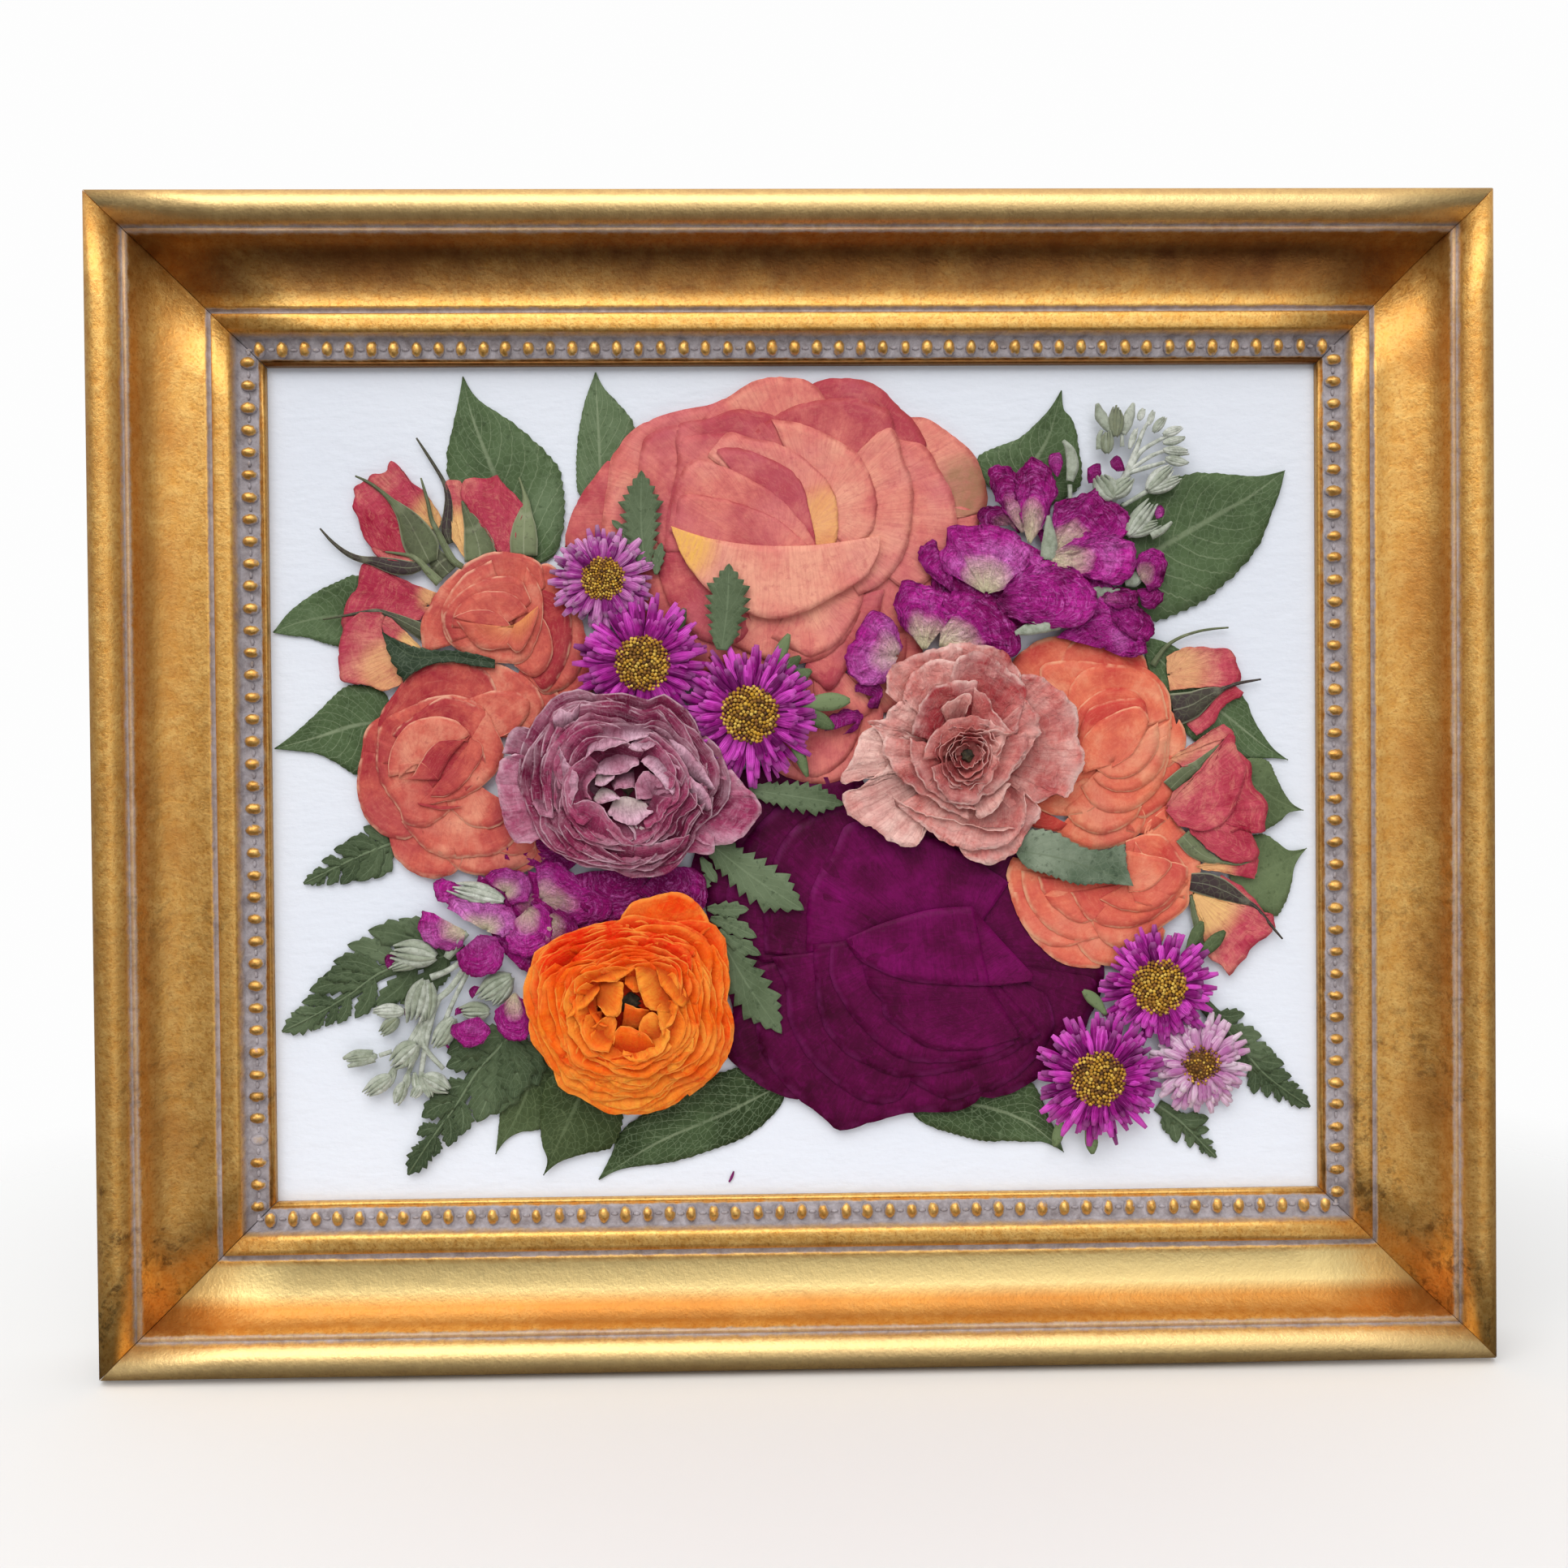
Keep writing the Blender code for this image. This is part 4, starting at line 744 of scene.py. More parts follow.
# %% Large coral rose
HEART = (900, 1100)
CORAL_ROSE = [
    ((700, 1250), [(330, 1180), (300, 1366), (430, 1517), (531, 1600), (620, 1560)], 1.3, 0.3),
    ((900, 1650), [(765, 1800), (770, 1890), (850, 1930), (940, 1935), (1010, 1900), (1060, 1800)], 1.3, 0.4),
    (HEART, [(118, 1200), (120, 1150), (138, 1095), (165, 1040), (205, 985), (256, 930), (300, 985)], 1.5, 0.22),
    ((1000, 1560), [(1180, 1480), (1170, 1560), (1090, 1640), (1110, 1720), (1090, 1820), (1010, 1880)], 1.4, 0.5),
    ((900, 1500), [(1045, 1735), (1020, 1815), (975, 1875), (905, 1915), (850, 1905), (815, 1860)], 1.5, 0.4),
    (HEART, [(1300, 1060), (1375, 1080), (1408, 1110), (1395, 1170), (1330, 1290), (1230, 1420), (1130, 1480)],
     1.55, 0.5),
    (HEART, [(1185, 795), (1250, 802), (1322, 850), (1392, 912), (1422, 985), (1436, 1050), (1412, 1092),
             (1330, 1110)], 1.6, 0.8, {"stain_at": ((1375, 1025), 10.5), "gold": 0.25}),
    ((800, 1150), [(215, 1300), (228, 1150), (248, 1010), (258, 930), (290, 880), (332, 830), (440, 782),
                   (560, 757), (640, 735), (680, 790)], 1.75, 0.62),
    (HEART, [(870, 700), (930, 676), (1010, 675), (1075, 690), (1112, 716), (1150, 755), (1195, 797),
             (1222, 835), (1243, 890), (1190, 930)], 1.8, 0.12),
    (HEART, [(545, 800), (598, 752), (650, 715), (700, 685), (745, 671), (830, 672), (888, 690), (935, 745)],
     1.9, 0.62),
    ((760, 1250), [(470, 1420), (520, 1500), (600, 1570), (700, 1600), (800, 1590)], 1.3, 0.5),
    ((980, 1500), [(1200, 1400), (1230, 1500), (1220, 1620), (1160, 1700), (1080, 1720)], 1.25, 0.55),
    ((880, 1480), [(1000, 1600), (1062, 1670), (1068, 1712), (1010, 1738), (950, 1742), (900, 1720)], 1.7, 0.55),
    ((900, 1380), [(1112, 1330), (1075, 1480), (1000, 1575), (945, 1646), (905, 1622), (862, 1590)], 1.9, 0.35),
    (HEART, [(1120, 860), (1190, 870), (1243, 888), (1287, 965), (1323, 1032), (1338, 1110), (1330, 1190),
             (1285, 1270), (1190, 1350)], 2.0, 0.6),
    ((760, 1230), [(560, 1370), (600, 1470), (690, 1530), (800, 1562), (900, 1552), (980, 1500), (1040, 1400)],
     1.95, 0.6),
    ((640, 1250), [(418, 1180), (408, 1255), (424, 1340), (475, 1425), (550, 1490), (650, 1500), (700, 1440)],
     2.05, 0.08,
     {"ripple": 0.3}),
    ((700, 1200), [(420, 1210), (348, 1070), (345, 975), (352, 900), (378, 847), (470, 822), (500, 900)], 2.15, 0.45),
    ((860, 1300), [(1052, 1300), (1040, 1375), (1010, 1440), (960, 1503), (905, 1535), (860, 1538), (760, 1480)],
     2.15, 0.75),
    (HEART, [(690, 860), (768, 792), (870, 748), (1010, 735), (1090, 760), (1126, 772), (1143, 840), (1100, 930)],
     2.2, 0.25),
    (HEART, [(470, 960), (468, 822), (560, 800), (645, 770), (705, 775), (772, 792), (850, 860)], 2.3, 0.3,
     {"ripple": 0.35}),
    (HEART, [(1030, 900), (1100, 838), (1143, 836), (1172, 925), (1199, 1000), (1201, 1075), (1188, 1178),
             (1160, 1247), (1108, 1310), (1030, 1350)], 2.4, 0.85),
    ((850, 1190), [(425, 1215), (438, 1090), (465, 950), (478, 868), (530, 850), (640, 850), (700, 900)], 2.5, 0.35),
    (HEART, [(760, 800), (850, 815), (950, 858), (1032, 915), (1076, 1000), (1088, 1085), (1068, 1155),
             (1000, 1210)], 2.6, 0.72),
    ((860, 1150), [(560, 915), (622, 842), (690, 858), (800, 885), (887, 945), (945, 1008), (967, 1080),
                   (962, 1180), (930, 1240)], 2.8, 0.75, {"gold": 0.6, "gold_at": ((935, 1120), 10.0)}),
    ((820, 1190), [(588, 905), (595, 892), (662, 892), (747, 920), (827, 965), (864, 1025), (880, 1095),
                   (902, 1200)], 3.0, 0.0),
    ((800, 1230), [(440, 1150), (453, 1050), (480, 965), (523, 925), (600, 945), (690, 985), (782, 1045),
                   (862, 1130), (905, 1205)], 3.2, 0.5),
    ((780, 1240), [(452, 1160), (462, 1085), (484, 1036), (600, 1047), (692, 1075), (782, 1115), (880, 1200)],
     3.35, 0.42),
    ([(447, 1134), (560, 1170), (700, 1192), (850, 1195), (960, 1185), (1098, 1163)],
     [(449, 1142), (484, 1232), (545, 1315), (620, 1372), (682, 1404), (765, 1424), (860, 1402), (960, 1350),
      (1056, 1290), (1094, 1215), (1100, 1168)], 3.6, 0.9,
     {"gold": 1.0, "gold_at": ((462, 1185), 11.0), "stem": 0.0}),
]
layered_rose("coral_rose_large", "B", CORAL_ROSE, coral, ["rose_coral_large"])

# %% [markdown]
# ## The burgundy rose
# Its petals are so dark that only their rims and a soft sheen part them. The front petals are
# folded into a fan, so they are drawn from a straight fold to a curved rim.

# %% Burgundy rose
burgundy = petal_surface("burgundy_petal", (0.042, 0.0004, 0.014), (0.115, 0.0010, 0.052), (0.25, 0.003, 0.14),
                         (0.26, 0.03, 0.17), roughness=0.5, streak=0.35, mottle=0.6, edge_share=0.3,
                         crease=0.3, crease_shade_and_highlight=0.2)
BURGUNDY_ROSE = [
    ((1200, 1000), [(600, 1000), (506, 936), (556, 733), (632, 594), (800, 560), (986, 556), (1060, 640)], 1.15, 0.3),
    ((1200, 1100), [(640, 1300), (578, 1150), (556, 1000), (560, 860), (650, 800)], 1.3, 0.3),
    ((1250, 1100), [(610, 1250), (640, 1330), (612, 1440), (650, 1500), (740, 1570), (840, 1605), (900, 1560)],
     1.35, 0.35),
    ((1200, 1100), [(735, 1180), (640, 1100), (620, 960), (680, 800), (780, 690), (880, 610), (1010, 600)],
     1.4, 0.45),
    ((1250, 1150), [(960, 620), (1130, 640), (1330, 700), (1500, 760), (1600, 860), (1680, 1000), (1780, 1130),
                    (1795, 1240), (1760, 1330)], 1.2, 0.3),
    ((1300, 1150), [(1700, 1210), (1775, 1240), (1755, 1340), (1705, 1440), (1590, 1540), (1450, 1600),
                    (1330, 1560)], 1.5, 0.35),
    ((1250, 1050), [(690, 1200), (720, 1420), (755, 1500), (830, 1590), (920, 1660), (975, 1700), (1100, 1668),
                    (1200, 1645), (1330, 1642), (1400, 1610), (1440, 1540)], 1.6, 0.42),
    ((1200, 1200), [(740, 1150), (735, 1000), (770, 850), (850, 740), (960, 690), (1060, 720)], 1.65, 0.35),
    ((1330, 1180), [(870, 1150), (872, 1000), (905, 905), (955, 830), (1003, 742), (1130, 760), (1260, 790),
                    (1400, 860), (1500, 930)], 1.75, 0.62),
    ((1300, 1100), [(760, 1160), (800, 1240), (812, 1350), (850, 1440), (930, 1530), (1050, 1610), (1150, 1610),
                    (1190, 1560)], 1.85, 0.45),
    ((1330, 1120), [(1190, 1545), (1300, 1602), (1380, 1590), (1480, 1560), (1580, 1480), (1640, 1380),
                    (1620, 1280)], 1.85, 0.36),
    ((1320, 1080), [(890, 1120), (898, 1260), (920, 1370), (990, 1460), (1090, 1512), (1165, 1535), (1300, 1522),
                    (1400, 1500), (1500, 1465), (1600, 1400)], 2.05, 0.4),
    ((1320, 1060), [(945, 1120), (943, 1220), (985, 1310), (1060, 1400), (1150, 1470), (1250, 1490),
                    (1420, 1474), (1520, 1430)], 2.25, 0.5),
    ((1320, 1060), [(1000, 1130), (1050, 1180), (1060, 1250), (1100, 1290), (1112, 1345), (1180, 1402),
                    (1260, 1446), (1400, 1450), (1530, 1412)], 2.45, 0.45),
    ([(1440, 1250), (1480, 1318), (1525, 1392)], [(1042, 1165), (1062, 1250), (1105, 1300), (1115, 1345),
     (1180, 1400), (1262, 1444), (1400, 1449), (1533, 1410)], 2.6, 0.42, {"stem": 0.0}),
    ([(1385, 1004), (1450, 1080), (1575, 1215)],
     [(990, 1108), (1030, 1165), (1120, 1215), (1200, 1238), (1285, 1247), (1440, 1250), (1570, 1238)], 2.9, 0.55,
     {"stem": 0.0}),
    ([(990, 1106), (1100, 1058), (1250, 1014), (1386, 1003)],
     [(992, 1110), (1060, 1180), (1150, 1224), (1285, 1246), (1440, 1247)], 3.0, 0.66, {"stem": 0.0}),
]
layered_rose("burgundy_rose_large", "E", BURGUNDY_ROSE, burgundy, ["rose_burgundy_large"])

# %% [markdown]
# ## Four small flat roses
# These are the same build at half the size, and their rims show as pale hairlines where the cut
# edge of the petal catches the light. The two on the right are more orange.

# %% Small roses on the left
small_coral = petal_surface("small_coral_petal", (0.38, 0.030, 0.042), (0.66, 0.135, 0.095), (0.86, 0.37, 0.24),
                            (0.86, 0.44, 0.30), gold=(0.88, 0.42, 0.09), blush=(0.46, 0.075, 0.085), streak=0.2,
                            mottle=0.95, edge_share=0.8, crease=0.4, crease_shade_and_highlight=0.16)
UPPER_LEFT = (1400, 1450)
ROSE_UPPER_LEFT = [
    (UPPER_LEFT, [(1440, 1290), (1500, 1250), (1560, 1300), (1610, 1420), (1622, 1520), (1590, 1610),
                  (1500, 1660), (1440, 1600)], 1.6, 0.55),
    (UPPER_LEFT, [(1620, 1470), (1655, 1560), (1645, 1650), (1590, 1710), (1520, 1725), (1450, 1690)], 1.45, 0.5),
    (UPPER_LEFT, [(1490, 1330), (1560, 1370), (1580, 1450), (1560, 1560), (1500, 1650), (1450, 1600)], 1.8, 0.05),
    (UPPER_LEFT, [(1115, 1530), (1108, 1450), (1130, 1390), (1170, 1325), (1245, 1255), (1330, 1215),
                  (1420, 1222), (1480, 1250), (1495, 1320)], 1.9, 0.5),
    (UPPER_LEFT, [(1475, 1400), (1508, 1450), (1520, 1520), (1500, 1580), (1455, 1605), (1400, 1570)], 2.1, 0.45),
    (UPPER_LEFT, [(1440, 1260), (1482, 1330), (1490, 1420), (1465, 1500), (1420, 1560), (1300, 1550),
                  (1200, 1500), (1172, 1420), (1185, 1370), (1240, 1290), (1330, 1240)], 2.25, 0.6),
    ((1380, 1440), [(1205, 1495), (1180, 1440), (1195, 1380), (1260, 1320), (1340, 1290), (1420, 1300),
                    (1455, 1370)], 2.45, 0.5),
    ((1350, 1450), [(1205, 1450), (1215, 1400), (1260, 1355), (1330, 1335), (1400, 1350), (1445, 1400)], 2.6, 0.62),
    ((1330, 1450), [(1208, 1420), (1250, 1400), (1310, 1395), (1370, 1420), (1390, 1480), (1300, 1510)], 2.75, 0.5),
    ([(1474, 1383), (1440, 1410), (1396, 1450)], [(1470, 1390), (1420, 1490), (1370, 1515), (1290, 1512),
                                                  (1220, 1430)], 2.9, 0.66, {"gold": 0.6, "stem": 0.0}),
    ([(1474, 1383), (1442, 1412), (1400, 1440)], [(1476, 1390), (1465, 1440), (1440, 1500), (1410, 1530),
                                                  (1380, 1500)], 3.1, 0.55, {"gold": 0.5, "stem": 0.0}),
]
layered_rose("coral_rose_left_upper", "A", ROSE_UPPER_LEFT, small_coral, ["rose_coral_left_upper"])

LEFT_HEART = (1150, 560)
ROSE_LEFT = [
    ((1300, 480), [(1420, 260), (1485, 290), (1540, 345), (1560, 410), (1520, 470)], 1.55, 0.45),
    ((1300, 700), [(1360, 910), (1430, 900), (1490, 860), (1520, 800), (1490, 710)], 1.5, 0.5),
    ((1150, 640), [(1090, 560), (1120, 500), (1200, 470), (1290, 500), (1310, 570), (1250, 650)], 2.3, 0.2),
    (LEFT_HEART, [(1010, 790), (1030, 850), (1080, 895), (1130, 915), (1190, 910), (1230, 885), (1250, 820)],
     1.6, 0.55),
    ((1300, 700), [(1180, 850), (1240, 895), (1300, 907), (1370, 900), (1440, 870), (1470, 830), (1440, 780)],
     1.65, 0.75),
    (LEFT_HEART, [(915, 640), (930, 480), (960, 430), (1000, 400)], 1.6, 0.5),
    (LEFT_HEART, [(930, 520), (912, 600), (918, 680), (950, 745), (1010, 788), (1080, 790), (1130, 740)], 1.75, 0.5),
    ((1300, 480), [(1280, 250), (1340, 245), (1420, 280), (1475, 330), (1490, 390), (1450, 450), (1390, 470)],
     1.75, 0.62),
    ((1300, 700), [(1340, 830), (1400, 845), (1470, 820), (1440, 760), (1400, 700)], 1.8, 0.6),
    ((1250, 620), [(1100, 740), (1130, 800), (1190, 850), (1270, 850), (1340, 842), (1400, 800), (1390, 740)],
     1.9, 0.6),
    ((1200, 640), [(1050, 740), (1090, 790), (1130, 830), (1180, 852), (1220, 848)], 1.9, 0.55),
    ((1250, 600), [(1205, 700), (1250, 745), (1300, 760), (1340, 757), (1372, 735), (1360, 670)], 2.05, 0.55),
    (LEFT_HEART, [(975, 470), (985, 400), (1020, 350), (1070, 280), (1130, 245), (1200, 237), (1270, 250),
                  (1330, 290), (1360, 400)], 1.9, 0.25),
    (LEFT_HEART, [(1110, 420), (1300, 340), (1350, 330), (1420, 340), (1450, 380), (1420, 440), (1370, 470)],
     2.0, 0.55),
    (LEFT_HEART, [(970, 560), (975, 470), (1000, 420), (1060, 390), (1150, 350), (1250, 350), (1310, 390)],
     2.1, 0.45),
    (LEFT_HEART, [(975, 480), (970, 550), (985, 620), (1040, 700), (1060, 745), (1130, 755), (1200, 705)], 2.1, 0.45),
    (LEFT_HEART, [(1020, 470), (1045, 440), (1100, 400), (1180, 350), (1260, 370), (1310, 395), (1330, 440)],
     2.25, 0.15),
    ([(1311, 392), (1290, 440), (1210, 560), (1105, 682)],
     [(1315, 395), (1340, 450), (1366, 500), (1355, 570), (1300, 630), (1220, 670), (1110, 688)], 2.4, 0.42,
     {"stem": 0.0}),
    ((1100, 580), [(1008, 600), (1010, 540), (1035, 480), (1080, 430), (1150, 412), (1220, 425), (1262, 470)],
     2.55, 0.72),
    ([(1262, 470), (1200, 540), (1165, 610)], [(1255, 490), (1230, 485), (1170, 490), (1130, 520), (1105, 560),
                                             (1080, 600), (1045, 607)], 2.75, 0.2, {"stem": 0.0}),
    ([(1262, 478), (1230, 560), (1165, 611)], [(1262, 480), (1300, 500), (1290, 560), (1210, 650), (1140, 662)],
     2.65, 0.35, {"stem": 0.0}),
    ([(1040, 605), (1100, 560), (1165, 610)], [(1042, 560), (1080, 556), (1110, 556), (1140, 580)], 2.9, 0.6,
     {"stem": 0.0}),
    ([(1098, 680), (1160, 690), (1240, 692)], [(1100, 684), (1150, 700), (1190, 703), (1240, 694)], 2.6, 0.0,
     {"stem": 0.0}),
]
layered_rose("coral_rose_left_lower", "D", ROSE_LEFT, small_coral, ["rose_coral_left_lower"])

# %% [markdown]
# On the right the pair is brighter and more orange, and its rims are softer, so it has a material
# of its own. Its lists go from the lowest petal to the highest as well.

# %% Small roses on the right
small_orange = petal_surface("small_orange_petal", (0.60, 0.060, 0.048), (0.82, 0.20, 0.11), (0.97, 0.48, 0.28),
                             (0.94, 0.50, 0.30), blush=(0.68, 0.15, 0.12), streak=0.18, mottle=0.95,
                             edge_share=0.7, crease=0.4, crease_shade_and_highlight=0.14)
RIGHT_HEART = (330, 480)
ROSE_RIGHT_UPPER = [
    ((300, 560), [(140, 560), (150, 640), (230, 700), (310, 660)], 1.5, 0.4),
    ((400, 640), [(370, 770), (440, 775), (505, 725), (530, 650)], 1.45, 0.35),
    (RIGHT_HEART, [(0, 330), (15, 250), (60, 200), (120, 168), (200, 165), (250, 220)], 1.6, 0.5),
    (RIGHT_HEART, [(170, 240), (200, 180), (250, 160), (320, 162), (390, 190), (432, 230), (440, 275)], 1.7, 0.3),
    (RIGHT_HEART, [(500, 380), (545, 430), (560, 480), (550, 520), (505, 570), (460, 560)], 1.6, 0.6),
    (RIGHT_HEART, [(530, 540), (545, 580), (530, 650), (480, 700), (420, 730), (370, 700)], 1.65, 0.25),
    ((300, 600), [(420, 700), (435, 735), (400, 790), (330, 820), (260, 828), (190, 800), (155, 770)], 1.6, 0.55),
    ((100, 700), [(70, 700), (75, 750), (110, 762), (165, 768), (190, 745)], 1.55, 0.0),
    ((250, 600), [(80, 690), (140, 718), (210, 720), (275, 695), (300, 640)], 1.75, 0.55),
    ((300, 600), [(180, 700), (210, 745), (270, 775), (330, 772), (400, 730), (420, 690)], 1.8, 0.5),
    (RIGHT_HEART, [(110, 300), (105, 260), (150, 240), (260, 240), (330, 250), (420, 255), (480, 300),
                   (510, 350), (515, 450)], 1.85, 0.5),
    ((330, 540), [(510, 420), (505, 540), (470, 640), (400, 700), (330, 712), (270, 690), (230, 630)], 2.0, 0.62),
    (RIGHT_HEART, [(190, 400), (195, 330), (240, 270), (330, 250), (420, 270), (480, 320), (505, 420)], 2.05, 0.6),
    ((320, 560), [(500, 470), (490, 560), (440, 620), (370, 648), (300, 630), (270, 600)], 2.2, 0.7),
    (RIGHT_HEART, [(230, 500), (210, 420), (250, 360), (320, 325), (400, 330), (430, 380), (445, 430)], 2.25, 0.45),
    ((330, 540), [(470, 430), (472, 510), (430, 570), (370, 605), (320, 600), (278, 575)], 2.4, 0.7),
    ((340, 560), [(230, 560), (225, 480), (250, 400), (300, 370), (370, 355), (425, 360), (440, 400)], 2.45, 0.3),
    ((330, 560), [(240, 590), (230, 500), (300, 420), (400, 380), (440, 410), (435, 450), (400, 520), (330, 570)],
     2.65, 0.55),
]
layered_rose("orange_rose_right_upper", "F", ROSE_RIGHT_UPPER, small_orange, ["rose_orange_right_upper"])

LOW_HEART = (380, 930)
ROSE_RIGHT_LOWER = [
    (LOW_HEART, [(20, 850), (0, 900), (22, 1000), (70, 1090), (140, 1160), (200, 1190), (290, 1195)], 1.5, 0.5),
    (LOW_HEART, [(440, 740), (500, 700), (540, 750), (590, 820), (605, 880), (580, 960), (520, 990)], 1.6, 0.6),
    (LOW_HEART, [(210, 1110), (260, 1170), (330, 1190), (420, 1175), (480, 1120), (495, 1080)], 1.55, 0.55),
    (LOW_HEART, [(20, 960), (40, 1040), (80, 1095), (160, 1130), (250, 1110)], 1.65, 0.45),
    (LOW_HEART, [(45, 890), (55, 960), (90, 1030), (150, 1085), (230, 1112), (290, 1100)], 1.75, 0.5),
    (LOW_HEART, [(265, 1050), (290, 1100), (350, 1138), (420, 1120), (480, 1070), (560, 1010), (570, 940)],
     1.8, 0.62),
    (LOW_HEART, [(370, 800), (430, 780), (490, 785), (540, 850), (565, 900), (555, 980)], 1.85, 0.45),
    (LOW_HEART, [(95, 910), (125, 980), (180, 1030), (245, 1055), (310, 1000)], 1.9, 0.2),
    (LOW_HEART, [(240, 1030), (300, 1062), (380, 1070), (460, 1040), (520, 990), (570, 920)], 1.95, 0.5),
    (LOW_HEART, [(200, 960), (260, 1050), (300, 1000), (330, 960)], 2.05, 0.1),
    (LOW_HEART, [(290, 980), (360, 1015), (440, 1018), (500, 990), (545, 930), (560, 880)], 2.15, 0.45),
    (LOW_HEART, [(400, 800), (440, 850), (540, 870), (565, 890), (540, 950), (460, 1000), (400, 990)], 2.3, 0.35),
    (LOW_HEART, [(370, 830), (430, 840), (510, 860), (500, 900), (440, 950), (380, 960)], 2.45, 0.62),
]
layered_rose("coral_rose_right_lower", "F", ROSE_RIGHT_LOWER, small_orange, ["rose_coral_right_lower"])

# %% [markdown]
# ## Leaves
# A leaf is one grid again, but it grows both ways from its midrib. Its two margins and the rib
# are drawn from the stalk to the tip. The UV map then has u = 0.5 on the rib, so the side veins
# can be drawn by a formula that sweeps them forward and curls them along the margin.

# %% One leaf
def leaf(bm, upper, lower, rib, lift, tone=0.5, teeth=26, bite=0.045, across=8, along=78, ripple=0.3):
    tone_layer = bm.verts.layers.float["tone"]
    sides = [smooth(line, along) for line in (lower, rib, upper)]
    seed = rng.uniform(0, 90)
    grid = new_grid(bm, across, along, lambda u, v: (u, v))
    for vert in grid:
        half, v = vert.co.x, (vert.co.y + 1) / 2
        row = round(v * along)
        margin, middle = sides[0 if half < 0 else 2][row], sides[1][row]
        if teeth:
            saw = (v * teeth) % 1.0
            half *= 1 - bite * (1 - saw) * min(1, 4 * v) * (1 if abs(half) > 0.6 else 0.4)
        spot = middle.lerp(margin, abs(half))
        seam = noise.noise(Vector((spot.x * 0.12, spot.y * 0.12, seed)))
        fine = noise.noise(Vector((spot.x * 0.5, spot.y * 0.5, seed)))
        height = lift + ripple * seam + 0.1 * fine + 0.28 * abs(half) ** 0.6
        vert.co = (spot.x, spot.y, max(height, 0.2))
        vert[tone_layer] = tone


def leaf_piece(name, view, upper, lower, rib, lift, surface, node, **options):
    bm = new_sheet_mesh()
    leaf(bm, *[traced(view, line, lift) for line in (upper, lower, rib)], lift, **options)
    finish_piece(name, bm, surface.material, [node], thickness=0.15)


# %% [markdown]
# Dried leaves keep a dull green with a pale net of veins. The side veins are a stripe pattern
# along v minus a share of the distance from the rib, bent by noise. A finer Voronoi net divides
# the fields between them. All of them also press into the surface as bumps.

# %% Leaf material
def leaf_surface(name, dark, main, light, vein, side_veins=11.0, sweep=0.75, net=0.55, rim=0.0):
    surface = Surface(name, 0.55)
    place = surface.place()
    u, v, tone = surface.across("u"), surface.across("v"), surface.across("tone")
    aside = surface.math("ABSOLUTE", surface.less(surface.math("FRACT", u), 0.5))
    cloud = surface.noise(place, 60, 5, 0.6)
    shade = surface.plus(tone, surface.times(surface.less(cloud, 0.5), 1.1))
    colour = surface.ramp(shade, (0.05, dark), (0.5, main), (0.95, light))
    bend = surface.times(surface.less(surface.noise(place, 110, 2, 0.5), 0.5), 0.055)
    run = surface.plus(surface.less(v, surface.times(aside, sweep)), bend)
    saw = surface.math("ABSOLUTE", surface.less(surface.math(
        "FRACT", surface.times(run, side_veins)), 0.5))
    side_line = surface.ramp(saw, (0.0, 1.0), (0.025, 0.7), (0.06, 0.0))
    midrib = surface.ramp(aside, (0.0, 1.0), (0.012, 0.9), (0.03, 0.0))
    cells = surface.add("TexVoronoi", {"feature": "DISTANCE_TO_EDGE"}, Vector=place, Scale=620.0,
                        Randomness=1.0).outputs["Distance"]
    mesh_line = surface.ramp(cells, (0.0, 1.0), (0.07, 0.0))
    lines = surface.math("MAXIMUM", surface.times(side_line, 0.8), midrib, True)
    colour = surface.mix(surface.times(mesh_line, net), colour, light)
    faded = surface.ramp(surface.noise(place, 55, 3), (0.35, 0.25), (0.65, 0.6))
    colour = surface.mix(surface.times(lines, faded), colour, vein)
    speck = surface.ramp(surface.noise(place, 700, 2, 0.7), (0.28, 0.5), (0.42, 0.0))
    colour = surface.mix(speck, colour, dark)
    if rim:
        colour = surface.mix(surface.ramp(aside, (0.42, 0.0), (0.48, rim)), colour, vein)
    surface.colour(colour)
    surface.shader.inputs["Specular IOR Level"].default_value = 0.15
    surface.bump(lines, -0.45, 0.2)
    surface.bump(cells, 0.35, 0.15)
    surface.bump(surface.noise(place, 240, 4, 0.6), 0.4, 0.3)
    return surface


broad_leaf = leaf_surface("dry_leaf", (0.028, 0.048, 0.016), (0.088, 0.138, 0.058), (0.185, 0.250, 0.140),
                          (0.34, 0.40, 0.25), net=0.45)
grey_leaf = leaf_surface("dry_leaf_grey", (0.040, 0.060, 0.020), (0.105, 0.145, 0.065), (0.19, 0.25, 0.12),
                         (0.17, 0.22, 0.11), side_veins=9.0, net=0.3)
rose_leaf = leaf_surface("dry_rose_leaf", (0.020, 0.036, 0.018), (0.085, 0.125, 0.075), (0.36, 0.42, 0.31),
                         (0.13, 0.17, 0.10), side_veins=8.0, net=0.15)

# %% [markdown]
# Each leaf is listed with its upper margin, its lower margin and its rib, from the stalk to the
# tip. Where a leaf goes under a flower, the hidden part continues the way the others look.

